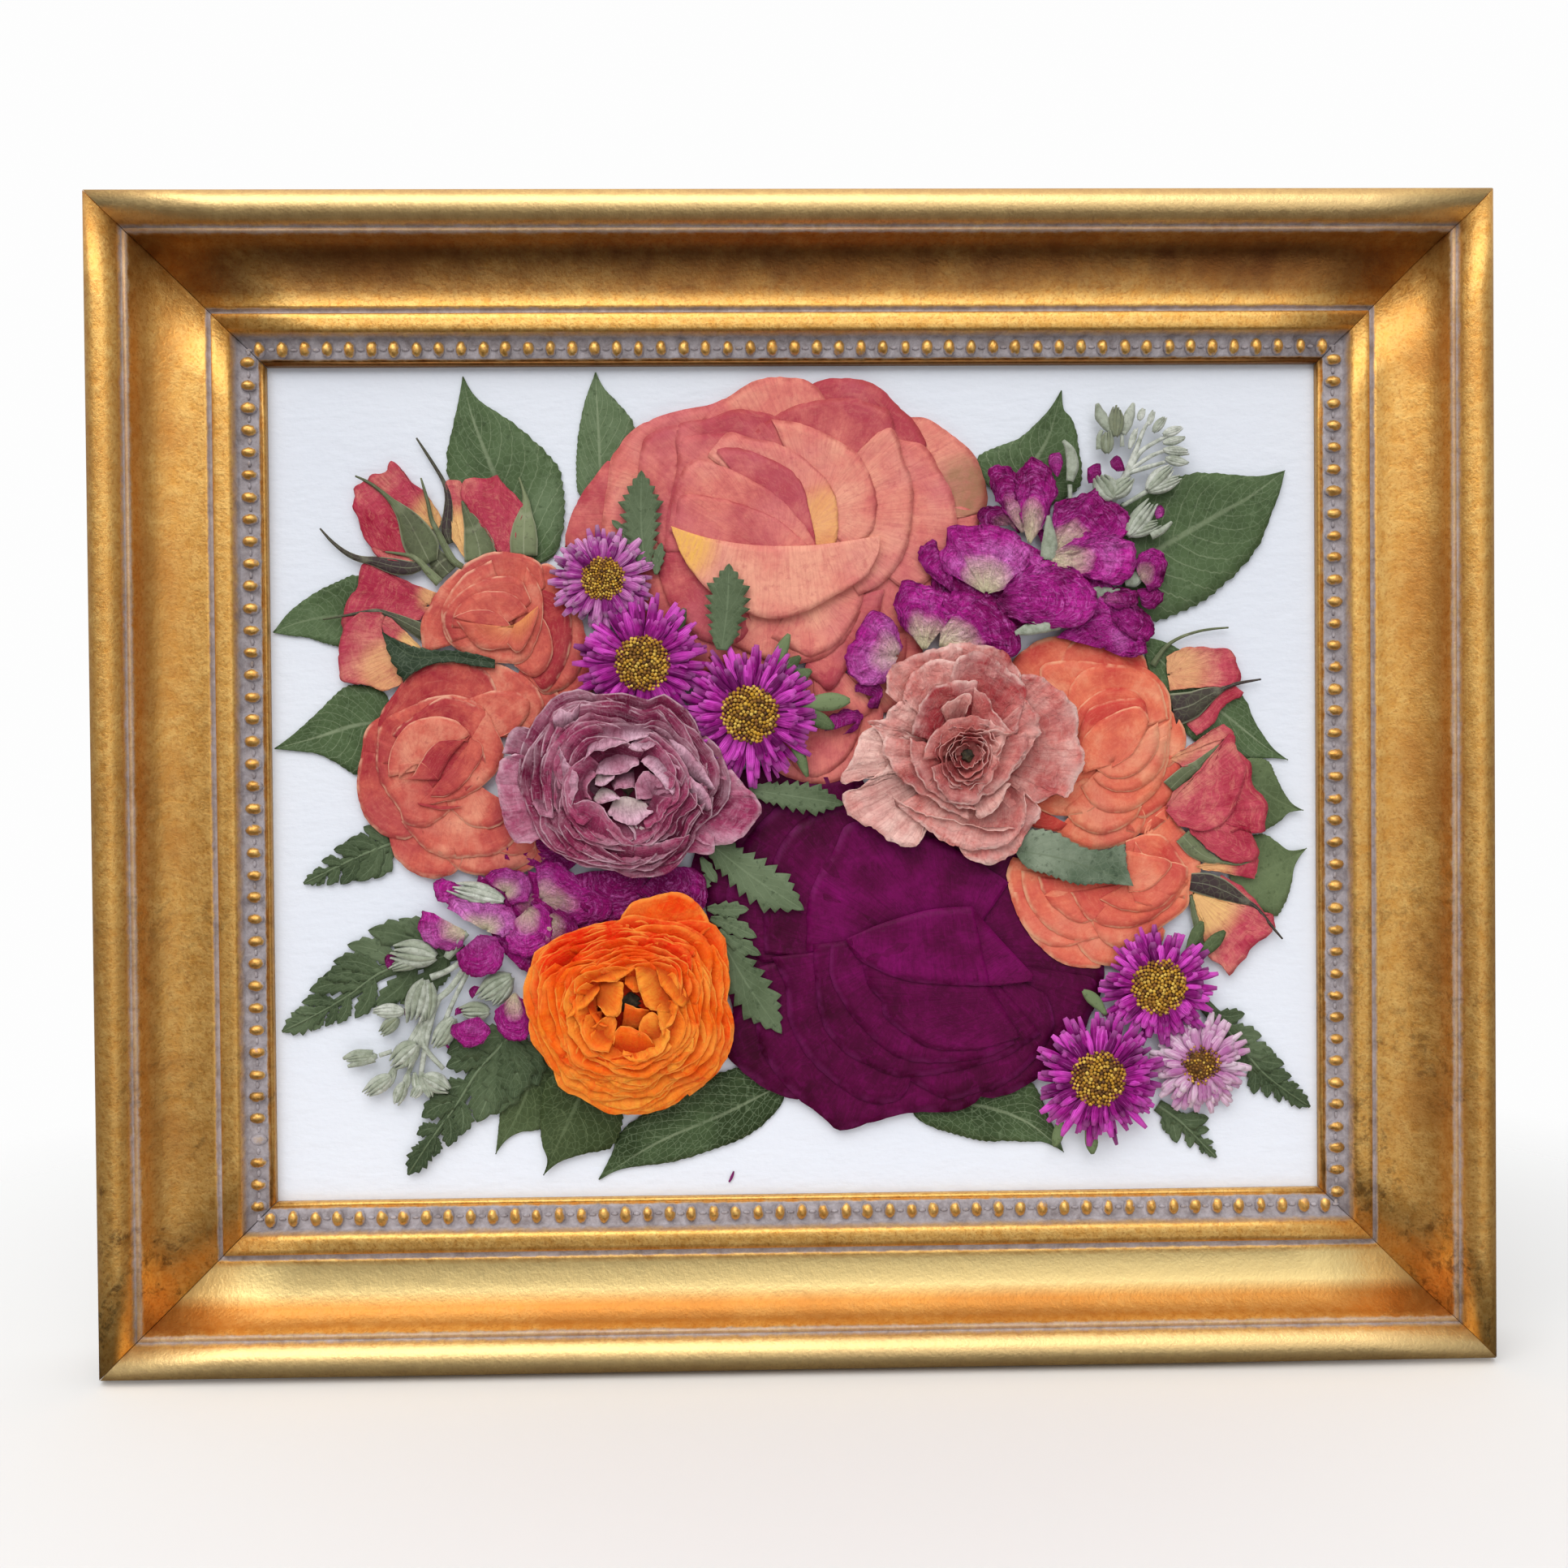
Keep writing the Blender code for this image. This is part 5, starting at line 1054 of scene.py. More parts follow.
# %% The broad leaves
LEAVES = [
    ("leaf_upper_left_tall", "A",
     [(1447, 1263), (1530, 1220), (1562, 1100), (1555, 990), (1530, 930), (1410, 820), (1290, 740), (1240, 668)],
     [(1447, 1263), (1370, 1185), (1275, 1115), (1200, 1010), (1188, 915), (1205, 840), (1225, 750), (1240, 668)],
     [(1447, 1263), (1390, 1100), (1320, 930), (1268, 790), (1240, 668)], 0.45, broad_leaf, 0.5),
    ("leaf_top", "B",
     [(230, 1110), (330, 1000), (345, 900), (332, 812), (285, 752), (240, 705), (212, 655)],
     [(230, 1110), (160, 1036), (150, 960), (152, 900), (160, 830), (180, 740), (212, 655)],
     [(230, 1110), (225, 950), (218, 800), (212, 655)], 0.45, broad_leaf, 0.62),
    ("leaf_left_upper", "A",
     [(945, 1430), (965, 1350), (915, 1285), (860, 1300), (780, 1340), (700, 1400), (650, 1465)],
     [(945, 1430), (940, 1505), (860, 1512), (800, 1497), (755, 1482), (700, 1476), (650, 1465)],
     [(945, 1430), (850, 1415), (740, 1430), (650, 1465)], 0.45, broad_leaf, 0.42),
    ("leaf_left_lower", "D",
     [(1023, 425), (1000, 340), (940, 312), (870, 318), (790, 395), (720, 460), (655, 512)],
     [(1023, 425), (1000, 560), (920, 600), (850, 560), (790, 530), (720, 520), (655, 512)],
     [(1023, 425), (900, 440), (780, 478), (655, 512)], 0.45, broad_leaf, 0.33),
    ("leaf_upper_right_small", "S",
     [(790, 470), (900, 500), (1000, 480), (1090, 420), (1105, 350), (1090, 250), (1080, 180), (1055, 118),
      (1025, 85), (1015, 5)],
     [(790, 470), (700, 400), (640, 330), (665, 275), (740, 240), (830, 208), (900, 150), (962, 85), (1015, 5)],
     [(790, 470), (870, 350), (950, 220), (985, 120), (1015, 5)], 0.45, broad_leaf, 0.5),
    ("leaf_upper_right_broad", "C",
     [(360, 1281), (290, 1180), (330, 1080), (420, 1030), (500, 1000), (560, 970), (640, 967), (780, 978),
      (868, 960)],
     [(360, 1281), (370, 1400), (450, 1438), (540, 1410), (620, 1370), (690, 1310), (740, 1260), (790, 1190),
      (825, 1100), (850, 1030), (868, 960)],
     [(360, 1281), (500, 1190), (640, 1108), (760, 1040), (868, 960)], 0.5, broad_leaf, 0.5),
    ("leaf_right_upper", "F",
     [(430, 190), (440, 168), (500, 182), (560, 215), (640, 280), (735, 345), (770, 420), (800, 470), (835, 515),
      (877, 547)],
     [(430, 190), (440, 260), (500, 370), (560, 470), (640, 520), (720, 540), (780, 545), (830, 542), (877, 547)],
     [(430, 190), (560, 310), (700, 420), (800, 500), (877, 547)], 0.45, broad_leaf, 0.45),
    ("leaf_right_middle", "F",
     [(690, 560), (760, 540), (815, 548), (840, 600), (862, 645), (890, 683), (925, 704)],
     [(690, 560), (720, 680), (760, 760), (800, 768), (850, 740), (880, 712), (925, 704)],
     [(690, 560), (770, 620), (850, 675), (925, 704)], 1.1, grey_leaf, 0.5),
    ("leaf_right_lower", "F",
     [(700, 930), (690, 860), (740, 790), (800, 776), (840, 800), (880, 828), (935, 822)],
     [(700, 930), (760, 1000), (835, 1040), (870, 990), (888, 930), (895, 885), (912, 850), (935, 822)],
     [(700, 930), (790, 900), (870, 860), (935, 822)], 0.45, grey_leaf, 0.55),
    ("leaf_bottom_left_outer", "G",
     [(1490, 350), (1560, 450), (1540, 560), (1490, 632), (1420, 645), (1375, 670), (1343, 712)],
     [(1490, 350), (1380, 400), (1350, 500), (1355, 570), (1350, 640), (1343, 712)],
     [(1490, 350), (1440, 520), (1390, 630), (1343, 712)], 0.45, grey_leaf, 0.2),
    ("leaf_bottom_left_inner", "H",
     [(210, 430), (290, 540), (300, 620), (265, 692), (180, 712), (100, 738), (50, 778)],
     [(210, 430), (80, 460), (45, 520), (38, 600), (45, 680), (62, 730), (50, 778)],
     [(210, 430), (150, 560), (90, 690), (50, 778)], 1.1, grey_leaf, 0.08),
    ("leaf_bottom", "H",
     [(803, 491), (700, 440), (560, 470), (400, 560), (290, 640), (262, 710), (222, 792)],
     [(803, 491), (790, 560), (700, 650), (580, 700), (450, 738), (300, 758), (222, 792)],
     [(803, 491), (620, 585), (400, 680), (222, 792)], 0.45, broad_leaf, 0.14),
    ("leaf_bottom_right", "I",
     [(-300, 560), (-200, 480), (0, 440), (90, 500), (130, 590), (160, 650), (178, 706)],
     [(-300, 560), (-280, 600), (-214, 636), (-87, 672), (0, 672), (60, 675), (110, 675), (150, 690), (178, 706)],
     [(-300, 560), (-100, 560), (60, 612), (178, 706)], 0.45, broad_leaf, 0.25),
]
for name, view, upper, lower, rib, lift, surface, tone in LEAVES:
    leaf_piece(f"dried_{name}", view, upper, lower, rib, lift, surface, name, tone=tone)

# %% [markdown]
# Two rose leaves have a saw-toothed margin. The teeth come from the row number: each tooth cuts
# back at once and then grows out again towards the tip.

# %% The two rose leaves
leaf_piece("rose_leaf_left", "D", [(1340, 235), (1290, 218), (1215, 203), (1160, 203), (1100, 193), (1060, 183),
                                   (990, 150)],
           [(1340, 262), (1270, 255), (1200, 244), (1130, 255), (1070, 290), (1048, 306), (1010, 230), (990, 150)],
           [(1340, 245), (1200, 225), (1080, 222), (990, 150)], 2.75, rose_leaf, "leaf_rose_left", tone=0.15,
           teeth=11, bite=0.2, along=66, ripple=0.15)
leaf_piece("rose_leaf_right", "F", [(25, 830), (60, 768), (150, 765), (240, 815), (310, 822), (370, 805),
                                    (376, 870), (395, 940)],
           [(25, 830), (60, 882), (130, 910), (220, 940), (300, 935), (395, 940)],
           [(25, 830), (150, 850), (280, 890), (395, 940)], 3.8, rose_leaf, "leaf_rose_right", tone=0.62,
           teeth=17, bite=0.13, along=85, ripple=0.15)

# %% [markdown]
# ## Fern fronds
# A frond is a thin stalk with a pinna for each traced tip. The pinna's foot is where the stalk
# is met at about 34 degrees, as on the plant, so only the tips need drawing. Each pinna is a
# small toothed leaf of the same helper.

# %% Fronds
fern_leaf = leaf_surface("dry_fern", (0.025, 0.042, 0.018), (0.075, 0.108, 0.052), (0.16, 0.21, 0.12),
                         (0.21, 0.27, 0.16), side_veins=6.0, sweep=0.9, net=0.25)


def between(values, v):
    """The value at v, from 0 to 1, on the line through evenly spaced values."""
    part = v * (len(values) - 1)
    step = min(int(part), len(values) - 2)
    return values[step] + (values[step + 1] - values[step]) * (part - step)


def strap(bm, spine, widths, lift, tone=0.5, columns=4, rows=12, crown=0.15, ripple=0.0, lifts=None):
    """A narrow sheet along a line. widths are half widths from its foot to its tip."""
    tone_layer = bm.verts.layers.float["tone"]
    line = smooth(spine, rows)
    seed = rng.randrange(90)
    grid = new_grid(bm, columns, rows, lambda u, v: (u + seed, v))
    for vert in grid:
        half, v = vert.co.x, (vert.co.y + 1) / 2
        row = round(v * rows)
        ahead = line[min(row + 1, rows)] - line[max(row - 1, 0)]
        out = Vector((-ahead.y, ahead.x)).normalized()
        spot = line[row] + out * half * between(widths, v)
        height = lift + crown * (1 - half * half)
        if lifts:
            height += between(lifts, v)
        if ripple:
            height += ripple * noise.noise(Vector((spot.x * 0.8, spot.y * 0.8, seed)))
        vert.co = (spot.x, spot.y, height)
        vert[tone_layer] = tone


SAW_SHAPE = [(0.0, 0.2), (0.2, 0.62), (0.42, 0.95), (0.64, 1.0), (0.84, 0.66), (1.0, 0.0)]
PINNA_ANGLE = math.radians(34)


def toothed(bm, foot, tip, width, lift, teeth, bite, sag, tone):
    """A small pointed leaf with saw teeth, bent a little to one side."""
    foot, tip = Vector(foot), Vector(tip)
    along = tip - foot
    out = Vector((-along.y, along.x)).normalized()
    middle = foot.lerp(tip, 0.5) + out * along.length * sag
    rib = [foot, middle, tip]

    def side(hand):
        return [foot.lerp(tip, t) + out * along.length * sag * 4 * t * (1 - t) + out * hand * width * w
                for t, w in SAW_SHAPE]

    leaf(bm, side(1), side(-1), rib, lift, tone, teeth, bite, across=4, along=teeth * 4, ripple=0.12)


def frond(name, view, stalk, left, right, lift, node, stout=0.5, teeth=4, tone=0.5):
    bm = new_sheet_mesh()
    spine = traced(view, stalk, lift)
    line = smooth(spine, 40)
    strap(bm, spine, [0.35, 0.3, 0.2, 0.08], lift + 0.25, tone=0.9, columns=2, rows=20)
    strap(bm, spine, [1.5, 1.9, 1.5, 0.9, 0.3], lift + 0.05, tone=tone, columns=4, rows=24, ripple=0.1)
    for hand, tips in ((1, left), (-1, right)):
        for tip in traced(view, tips, lift):
            best = min(range(4, 40), key=lambda k: abs(
                abs((tip - line[k]).angle(line[k] - line[k - 1], 3.0)) - PINNA_ANGLE))
            length = (tip - line[best]).length
            if length > 1.0:
                toothed(bm, line[best], tip, length * stout * 0.5, lift + rng.uniform(0, 0.12), teeth, bite=0.36,
                        sag=-0.09 * hand, tone=tone + rng.uniform(-0.15, 0.15))
    end = line[30]
    toothed(bm, end, line[40], (line[40] - end).length * 0.3, lift + 0.1, teeth + 1, bite=0.4, sag=0.0, tone=tone)
    finish_piece(name, bm, fern_leaf.material, [node], thickness=0.12)


frond("fern_left_upper", "D", [(1040, 800), (940, 838), (840, 885), (745, 932)],
      [(930, 755), (878, 800), (838, 826), (800, 862), (775, 892)],
      [(965, 918), (910, 925), (860, 935), (818, 938), (785, 940)], 0.45, "frond_left_upper", teeth=3, stout=0.62)
frond("fern_left_large", "G", [(1250, 80), (1120, 110), (990, 145), (880, 222), (780, 280), (678, 331)],
      [(1040, -20), (945, 15), (880, 60), (836, 112), (803, 162), (762, 203), (738, 240), (716, 268), (700, 296)],
      [(1160, 190), (1045, 245), (968, 250), (905, 290), (850, 308), (812, 316), (775, 328), (740, 331)], 0.45,
      "frond_left_large", teeth=5)
frond("fern_left_lower", "G", [(1420, 300), (1360, 375), (1290, 450), (1220, 560), (1140, 670), (1070, 777)],
      [(1190, 398), (1188, 440), (1145, 545), (1112, 597), (1096, 652), (1084, 705)],
      [(1475, 500), (1400, 542), (1345, 590), (1285, 614), (1235, 655), (1195, 690), (1150, 722)], 1.15,
      "frond_left_lower", teeth=5, tone=0.35, stout=0.72)
frond("fern_right_lower", "I", [(610, 240), (690, 330), (790, 450), (870, 515), (945, 565)],
      [(742, 275), (795, 345), (832, 395), (865, 432), (888, 470), (912, 498)],
      [(700, 480), (770, 527), (812, 538), (850, 552), (890, 560)], 0.45, "frond_right_lower", teeth=4, stout=0.62)
frond("fern_bottom_right", "I", [(470, 560), (540, 610), (600, 670), (653, 723)],
      [(630, 600), (632, 636), (645, 675)], [(490, 640), (530, 678), (572, 694), (610, 712)], 0.45,
      "frond_bottom_right", teeth=3, stout=0.62)

# %% [markdown]
# The small ferns between the flowers show a single cut leaflet each, so they are drawn as one
# deeply toothed leaf, with a few lobes beside the lowest one.

# %% Leaflets between the flowers
DOTS_PER_MM = 13.4              # of enlargement E
LEAFLETS = [
    ("frond_by_coral_rose", 2.95, [((365, -55), (355, -355), 74, 9), ((330, -110), (300, -165), 20, 2),
     ((320, -150), (262, -200), 16, 2), ((400, -30), (418, -130), 24, 3)]),
    ("frond_by_asters", 4.7, [((605, 205), (628, -65), 80, 8)]),
    ("frond_centre_upper", 3.1, [((690, 640), (988, 685), 58, 8)]),
    ("frond_centre_middle", 2.95, [((560, 800), (862, 1015), 84, 8), ((540, 850), (590, 930), 24, 2)]),
    ("frond_centre_lower", 2.4, [((590, 1080), (792, 1400), 80, 8), ((560, 1010), (690, 1012), 34, 3),
     ((570, 1040), (715, 1100), 36, 3), ((590, 1090), (728, 1155), 32, 3), ((540, 960), (560, 900), 30, 3)]),
]
for node, lift, blades in LEAFLETS:
    bm = new_sheet_mesh()
    for foot, tip, half_width, teeth in blades:
        foot, tip = traced("E", [foot, tip], lift)
        toothed(bm, foot, tip, half_width / DOTS_PER_MM, lift, round(teeth * 1.25), bite=0.42, tone=0.7,
                sag=rng.uniform(-0.03, 0.03))
    finish_piece(node.replace("frond", "leaflet"), bm, fern_leaf.material, [node], thickness=0.12)

# %% [markdown]
# ## Full heads: two ranunculus and a ruffled rose
# These weren't pressed flat: dozens of thin petals stand over each other in a low dome with a
# sunk middle. The outer petals come from a spiral: each one turns by the golden angle, is a
# little smaller and higher than the last, and follows the head's traced outline. Rings would
# look like a cut onion; a spiral lets the rims cross. The few large petals of the heart were
# traced one by one, each from the line where it leaves its neighbour to its own rim.

# %% Spiral of petals
GOLDEN_ANGLE = math.radians(137.508)
COMPASS = 120                   # directions in which the outline is measured
WHORL_GRID = (26, 6)


def whorl(bm, middle, outline, low, high, count, shares=(1.03, 0.5), span=50, cup=0.8, crumple=0.3, ruffle=0.08,
          tones=(0.3, 0.8), sunk=0.0, spread=0.6, deep_side=0.0, upright=0.0):
    tone_layer = bm.verts.layers.float["tone"]
    edge = [p - middle for p in smooth(outline, 180, closed=True)]
    compass = [min(edge, key=lambda p: -p.normalized().dot(Vector((math.cos(a), math.sin(a))))).length
               for a in (math.tau * step / COMPASS for step in range(COMPASS))]

    def reach(angle):
        step = angle / math.tau * COMPASS
        low_step = math.floor(step)
        near, far = compass[low_step % COMPASS], compass[(low_step + 1) % COMPASS]
        return near + (far - near) * (step - low_step)

    for index in range(count):
        part = index / (count - 1)
        share = shares[0] + (shares[1] - shares[0]) * part
        centre_angle = index * GOLDEN_ANGLE + rng.uniform(-0.35, 0.35)
        half_span = math.radians(span) * rng.uniform(0.7, 1.3)
        size = share * rng.uniform(0.95, 1.03)
        skew = rng.uniform(-0.11, 0.11)
        level = low + (high - low) * part ** 0.8 - sunk * max(0.0, part - 0.7) / 0.3
        shade = tones[0] + (tones[1] - tones[0]) * part + rng.uniform(-0.2, 0.2)
        shade -= deep_side * math.cos(centre_angle - math.radians(100)) * share
        lean = rng.uniform(-0.35, 0.35)
        cupped = cup * rng.uniform(0.3, 1.4)
        seed = rng.uniform(0, 90)
        grid = new_grid(bm, *WHORL_GRID, lambda u, v: (seed + (2 * u - 1) * half_span * size * 0.8, v))
        for vert in grid:
            u, v = vert.co.x, (vert.co.y + 1) / 2
            angle = centre_angle + u * half_span
            far = reach(angle) * size * (1 + skew * u - 0.14 * abs(u) ** 2.5)
            wave = 1.2 * noise.noise(Vector((u * 2.6, 0, seed))) + 0.35 * ridge(u * 3.5, v * 0.6, seed)
            wave += 0.3 * noise.noise(Vector((u * 11, v, seed)))
            near = far * (spread + (0.86 - spread) * upright)
            out = near + (far - near) * v + far * ruffle * wave * v ** 2
            spot = middle + Vector((out * math.cos(angle), out * math.sin(angle)))
            height = level - (0.5 + 2.0 * upright) * (1 - v) + cupped * (v ** 3 - 0.35)
            height += lean * u + 0.45 * wave * v ** 2
            height += crumple * (0.6 * ridge(spot.x * 0.3, spot.y * 0.3, seed) + 0.35 * ridge(
                spot.x * 0.9, spot.y * 0.9, seed)) * (0.25 + v)
            vert.co = (spot.x, spot.y, height)
            vert[tone_layer] = shade
    print("petals in the spiral", count)


def knot(bm, middle, radius, level, tone=0.0, flat=0.5):
    """A rough lump: the seat of the petals or the dark stamens in the sunk middle."""
    made = bmesh.ops.create_icosphere(bm, subdivisions=3, radius=radius, matrix=Matrix.Translation(
        (middle.x, middle.y, level)) @ Matrix.Diagonal((1, 1, flat, 1)))["verts"]
    for vert in made:
        vert.co += Vector(noise.noise_vector(vert.co * 1.3)) * min(0.7, radius * 0.4)
        vert[bm.verts.layers.float["tone"]] = tone


stamen = Surface("dark_stamens", 0.8)
stamen.colour(stamen.ramp(stamen.noise(stamen.place(), 700, 4, 0.7), (0.35, (0.012, 0.008, 0.006)),
                          (0.65, (0.07, 0.05, 0.02))))
stamen.bump(stamen.noise(stamen.place(), 900, 4, 0.7), 0.9, 0.4)


def heart(bm, view, petals, **same):
    for foot, rim, lift, tone, *gold in petals:
        lay(bm, view, foot, rim, lift, tone, gold=gold[0] if gold else 0.0, drop=1.2, **same)


def add_stamens(bm, middle, radius, level, seat=6.5):
    knot(bm, middle, seat, level - 2.2, 0.1, 0.3)
    split = len(bm.faces)
    knot(bm, middle, radius, level)
    set_part(bm, split, 1)


# %% [markdown]
# The mauve head is the widest open. A few pale petals are rolled over each other around its dark
# middle.

# %% Mauve ranunculus
FOOT = (670, 530)
mauve = petal_surface("mauve_petal", (0.13, 0.006, 0.035), (0.40, 0.050, 0.140), (0.88, 0.54, 0.68),
                      (0.88, 0.60, 0.70), gold=(0.90, 0.76, 0.70), blush=(0.36, 0.035, 0.110), streak=0.5,
                      mottle=0.6, edge_share=0.5, wrinkle=0.4, crease=0.8, lit=0.3, depth=0.7, relief=1.3, crease_shade_and_highlight=0.22)
bm = new_sheet_mesh()
middle = traced("M", [FOOT], 7)[0]
MAUVE_OUTLINE = [(120, 520), (130, 380), (165, 280), (230, 180), (300, 90), (400, 40), (520, 45), (640, 55),
    (780, 95), (850, 60), (930, 100), (1040, 200), (1130, 310), (1190, 430), (1200, 540), (1150, 650), (1060, 740),
    (1020, 820), (960, 900), (860, 980), (720, 1010), (560, 990), (400, 945), (280, 880), (190, 780), (150, 660)]
heart(bm, "M", [
    (FOOT, [(1190, 430), (1250, 510), (1300, 560), (1332, 615), (1310, 680), (1250, 750), (1155, 808), (1050, 800)],
     5.0, 0.6),
    (FOOT, [(1100, 760), (1100, 838), (1030, 850), (950, 830)], 4.8, 0.45),
    (FOOT, [(60, 350), (85, 280), (120, 232), (160, 222), (200, 240)], 4.9, 0.3),
    (FOOT, [(120, 350), (62, 385), (32, 440), (36, 530), (62, 640), (85, 740), (130, 790), (200, 800)], 5.4, 0.8),
], crumple=0.9, rise=0.9, ripple=0.4, fray=0.4)
whorl(bm, middle, traced("M", MAUVE_OUTLINE, 5), 5.2, 8.3, 40, shares=(1.0, 0.52), span=52, cup=1.1, crumple=0.35,
      ruffle=0.04, tones=(0.1, 0.4), spread=0.6)
heart(bm, "M", [
    ([(300, 565), (215, 570)], [(303, 605), (300, 668), (240, 655), (205, 600)], 7.6, 0.9),
    ([(420, 200), (340, 250), (310, 230)], [(440, 92), (400, 150), (350, 136), (303, 168)], 7.7, 0.75),
    ([(300, 640), (290, 470), (330, 300)], [(402, 605), (428, 540), (425, 460), (380, 400), (345, 345)], 8.3, 0.85),
    ([(900, 560), (1000, 620), (1040, 660)], [(915, 480), (975, 535), (1015, 590), (1045, 655)], 7.6, 0.35),
    ([(900, 520), (985, 600), (1060, 640)], [(903, 408), (960, 446), (1030, 505), (1075, 555), (1088, 625)], 7.9,
     0.8),
    ([(900, 400), (980, 480), (1075, 535)], [(884, 284), (950, 325), (1020, 390), (1070, 460), (1098, 530)], 8.4,
     0.95),
    ([(480, 300), (560, 215), (680, 195), (800, 240)], [(466, 390), (500, 346), (570, 332), (650, 314), (710, 288),
     (770, 272)], 8.9, 0.95),
    ([(720, 270), (780, 255), (830, 300)], [(676, 328), (738, 352), (800, 316)], 8.7, 0.95),
    ([(530, 400), (610, 330), (710, 335)], [(518, 460), (600, 464), (670, 442), (730, 412)], 8.1, 0.8),
    ([(800, 340), (890, 390), (925, 520)], [(735, 392), (795, 440), (845, 500), (898, 556)], 8.5, 0.9),
    ([(890, 570), (800, 625), (720, 600)], [(716, 580), (712, 500), (760, 440), (830, 468), (892, 545)], 7.6, 0.62),
    ([(590, 500), (620, 450), (700, 430)], [(612, 535), (660, 522), (712, 530)], 7.3, 0.7),
    ([(430, 570), (430, 490), (490, 430)], [(500, 585), (478, 530), (500, 480), (525, 450)], 8.0, 0.6),
    ([(515, 465), (560, 445), (610, 450)], [(512, 505), (552, 522), (592, 492), (612, 468)], 8.2, 1.0, 0.6),
    ([(500, 580), (540, 520), (600, 540)], [(520, 600), (580, 590), (640, 575)], 7.6, 0.9, 0.8),
    ([(600, 585), (660, 560), (750, 590)], [(575, 650), (640, 692), (710, 705), (775, 665), (805, 640)], 7.6, 0.95,
     0.8),
    ([(655, 690), (740, 660), (810, 670)], [(690, 722), (726, 805), (770, 795), (795, 740)], 7.9, 1.0, 0.9),
    ([(960, 690), (930, 780), (820, 800)], [(900, 558), (850, 582), (813, 632), (822, 700), (800, 772)], 8.2, 0.35),
    ([(690, 900), (830, 890), (960, 830)], [(688, 812), (780, 800), (880, 778), (978, 752)], 8.0, 0.4),
    ([(390, 720), (470, 830), (600, 870), (700, 890)], [(405, 600), (480, 586), (550, 620), (602, 690), (650, 752),
     (705, 800)], 8.4, 0.42),
    ([(420, 770), (520, 880), (640, 900)], [(400, 690), (480, 760), (570, 830), (640, 880)], 8.0, 0.3),
], crumple=0.8, rise=0.4, ripple=0.3, fray=0.45, fineness=1.5)
add_stamens(bm, middle, 1.6, 5.4, 9.0)
finish_piece("mauve_ranunculus", bm, [mauve.material, stamen.material], ["ranunculus_mauve"],
             thickness=0.13)

# %% [markdown]
# The orange head is the fullest: seventy petals in the spiral before the few of its heart.

# %% Orange ranunculus
FOOT = (585, 590)
orange = petal_surface("orange_petal", (0.85, 0.022, 0.001), (0.96, 0.145, 0.004), (0.99, 0.35, 0.035),
                       (0.99, 0.42, 0.07), gold=(0.62, 0.22, 0.03), streak=0.45, mottle=0.5, wrinkle=0.35,
                       crease=0.6, lit=0.45, depth=0.7, relief=1.3, crease_shade_and_highlight=0.22)
bm = new_sheet_mesh()
middle = traced("O", [FOOT], 7)[0]
ORANGE_OUTLINE = [(60, 640), (45, 520), (40, 450), (60, 370), (110, 300), (200, 255), (300, 225), (420, 185),
    (550, 150), (700, 150), (850, 165), (960, 200), (1030, 250), (1055, 350), (1068, 470), (1060, 600), (1075, 700),
    (1080, 760), (1040, 860), (960, 960), (850, 1030), (720, 1105), (600, 1120), (450, 1110), (330, 1060),
    (220, 1010), (150, 900), (100, 790)]
heart(bm, "O", [
    (FOOT, [(540, 165), (590, 90), (680, 60), (800, 35), (880, 60), (950, 130), (985, 210)], 4.4, 0.3, 0.8),
    (FOOT, [(1050, 540), (1090, 630), (1098, 720), (1080, 810), (1040, 890), (960, 980), (880, 1040)], 4.0, 0.6),
    (FOOT, [(900, 1000), (820, 1070), (700, 1120), (600, 1130), (480, 1115), (400, 1080)], 3.9, 0.65),
], crumple=0.5, rise=0.6, fineness=1.3)
whorl(bm, middle, traced("O", ORANGE_OUTLINE, 4), 4.0, 8.4, 70, shares=(1.01, 0.50), span=42, cup=1.1, crumple=0.35,
      ruffle=0.035, tones=(0.4, 0.7), spread=0.62, deep_side=0.5)
heart(bm, "O", [
    ([(370, 500), (480, 395), (620, 375)], [(400, 475), (490, 482), (560, 452), (606, 412)], 8.8, 0.85),
    ([(700, 395), (820, 450), (880, 570)], [(715, 425), (740, 500), (800, 572), (850, 605)], 9.0, 0.9),
    ([(265, 650), (320, 550), (430, 490)], [(272, 660), (330, 625), (395, 575), (435, 520)], 8.6, 0.85),
    ([(350, 560), (420, 620), (440, 700)], [(395, 640), (430, 690), (480, 690)], 8.0, 0.5),
    ([(420, 600), (418, 500), (480, 470)], [(430, 600), (480, 645), (535, 640), (548, 560), (558, 478)], 8.8, 0.95),
    ([(560, 430), (600, 400), (640, 440)], [(560, 490), (610, 530), (640, 525)], 8.2, 0.6, 0.6),
    ([(640, 400), (760, 420), (800, 560), (790, 640)], [(606, 410), (622, 490), (645, 565), (680, 615), (740, 625)],
     9.1, 1.0),
    ([(760, 560), (825, 640), (780, 740)], [(722, 600), (728, 680), (742, 750)], 8.7, 0.95),
    ([(540, 720), (640, 720), (690, 640)], [(562, 582), (600, 598), (640, 608), (678, 620)], 8.2, 0.6, 0.5),
    ([(330, 720), (420, 800), (510, 800)], [(415, 700), (455, 655), (500, 640), (520, 690), (500, 780)], 8.2, 0.85),
    ([(500, 820), (600, 880), (720, 820)], [(512, 730), (550, 700), (600, 705), (660, 735), (700, 780)], 8.5, 0.55),
    ([(640, 760), (720, 790), (790, 720)], [(630, 740), (640, 670), (690, 628), (735, 660)], 8.6, 0.95),
    ([(380, 860), (480, 890), (580, 880)], [(400, 800), (450, 852), (520, 850), (600, 830)], 8.3, 0.4),
], crumple=0.6, rise=0.3, ripple=0.25, fray=0.4, fineness=1.5)
add_stamens(bm, middle, 2.6, 5.6, 9.0)
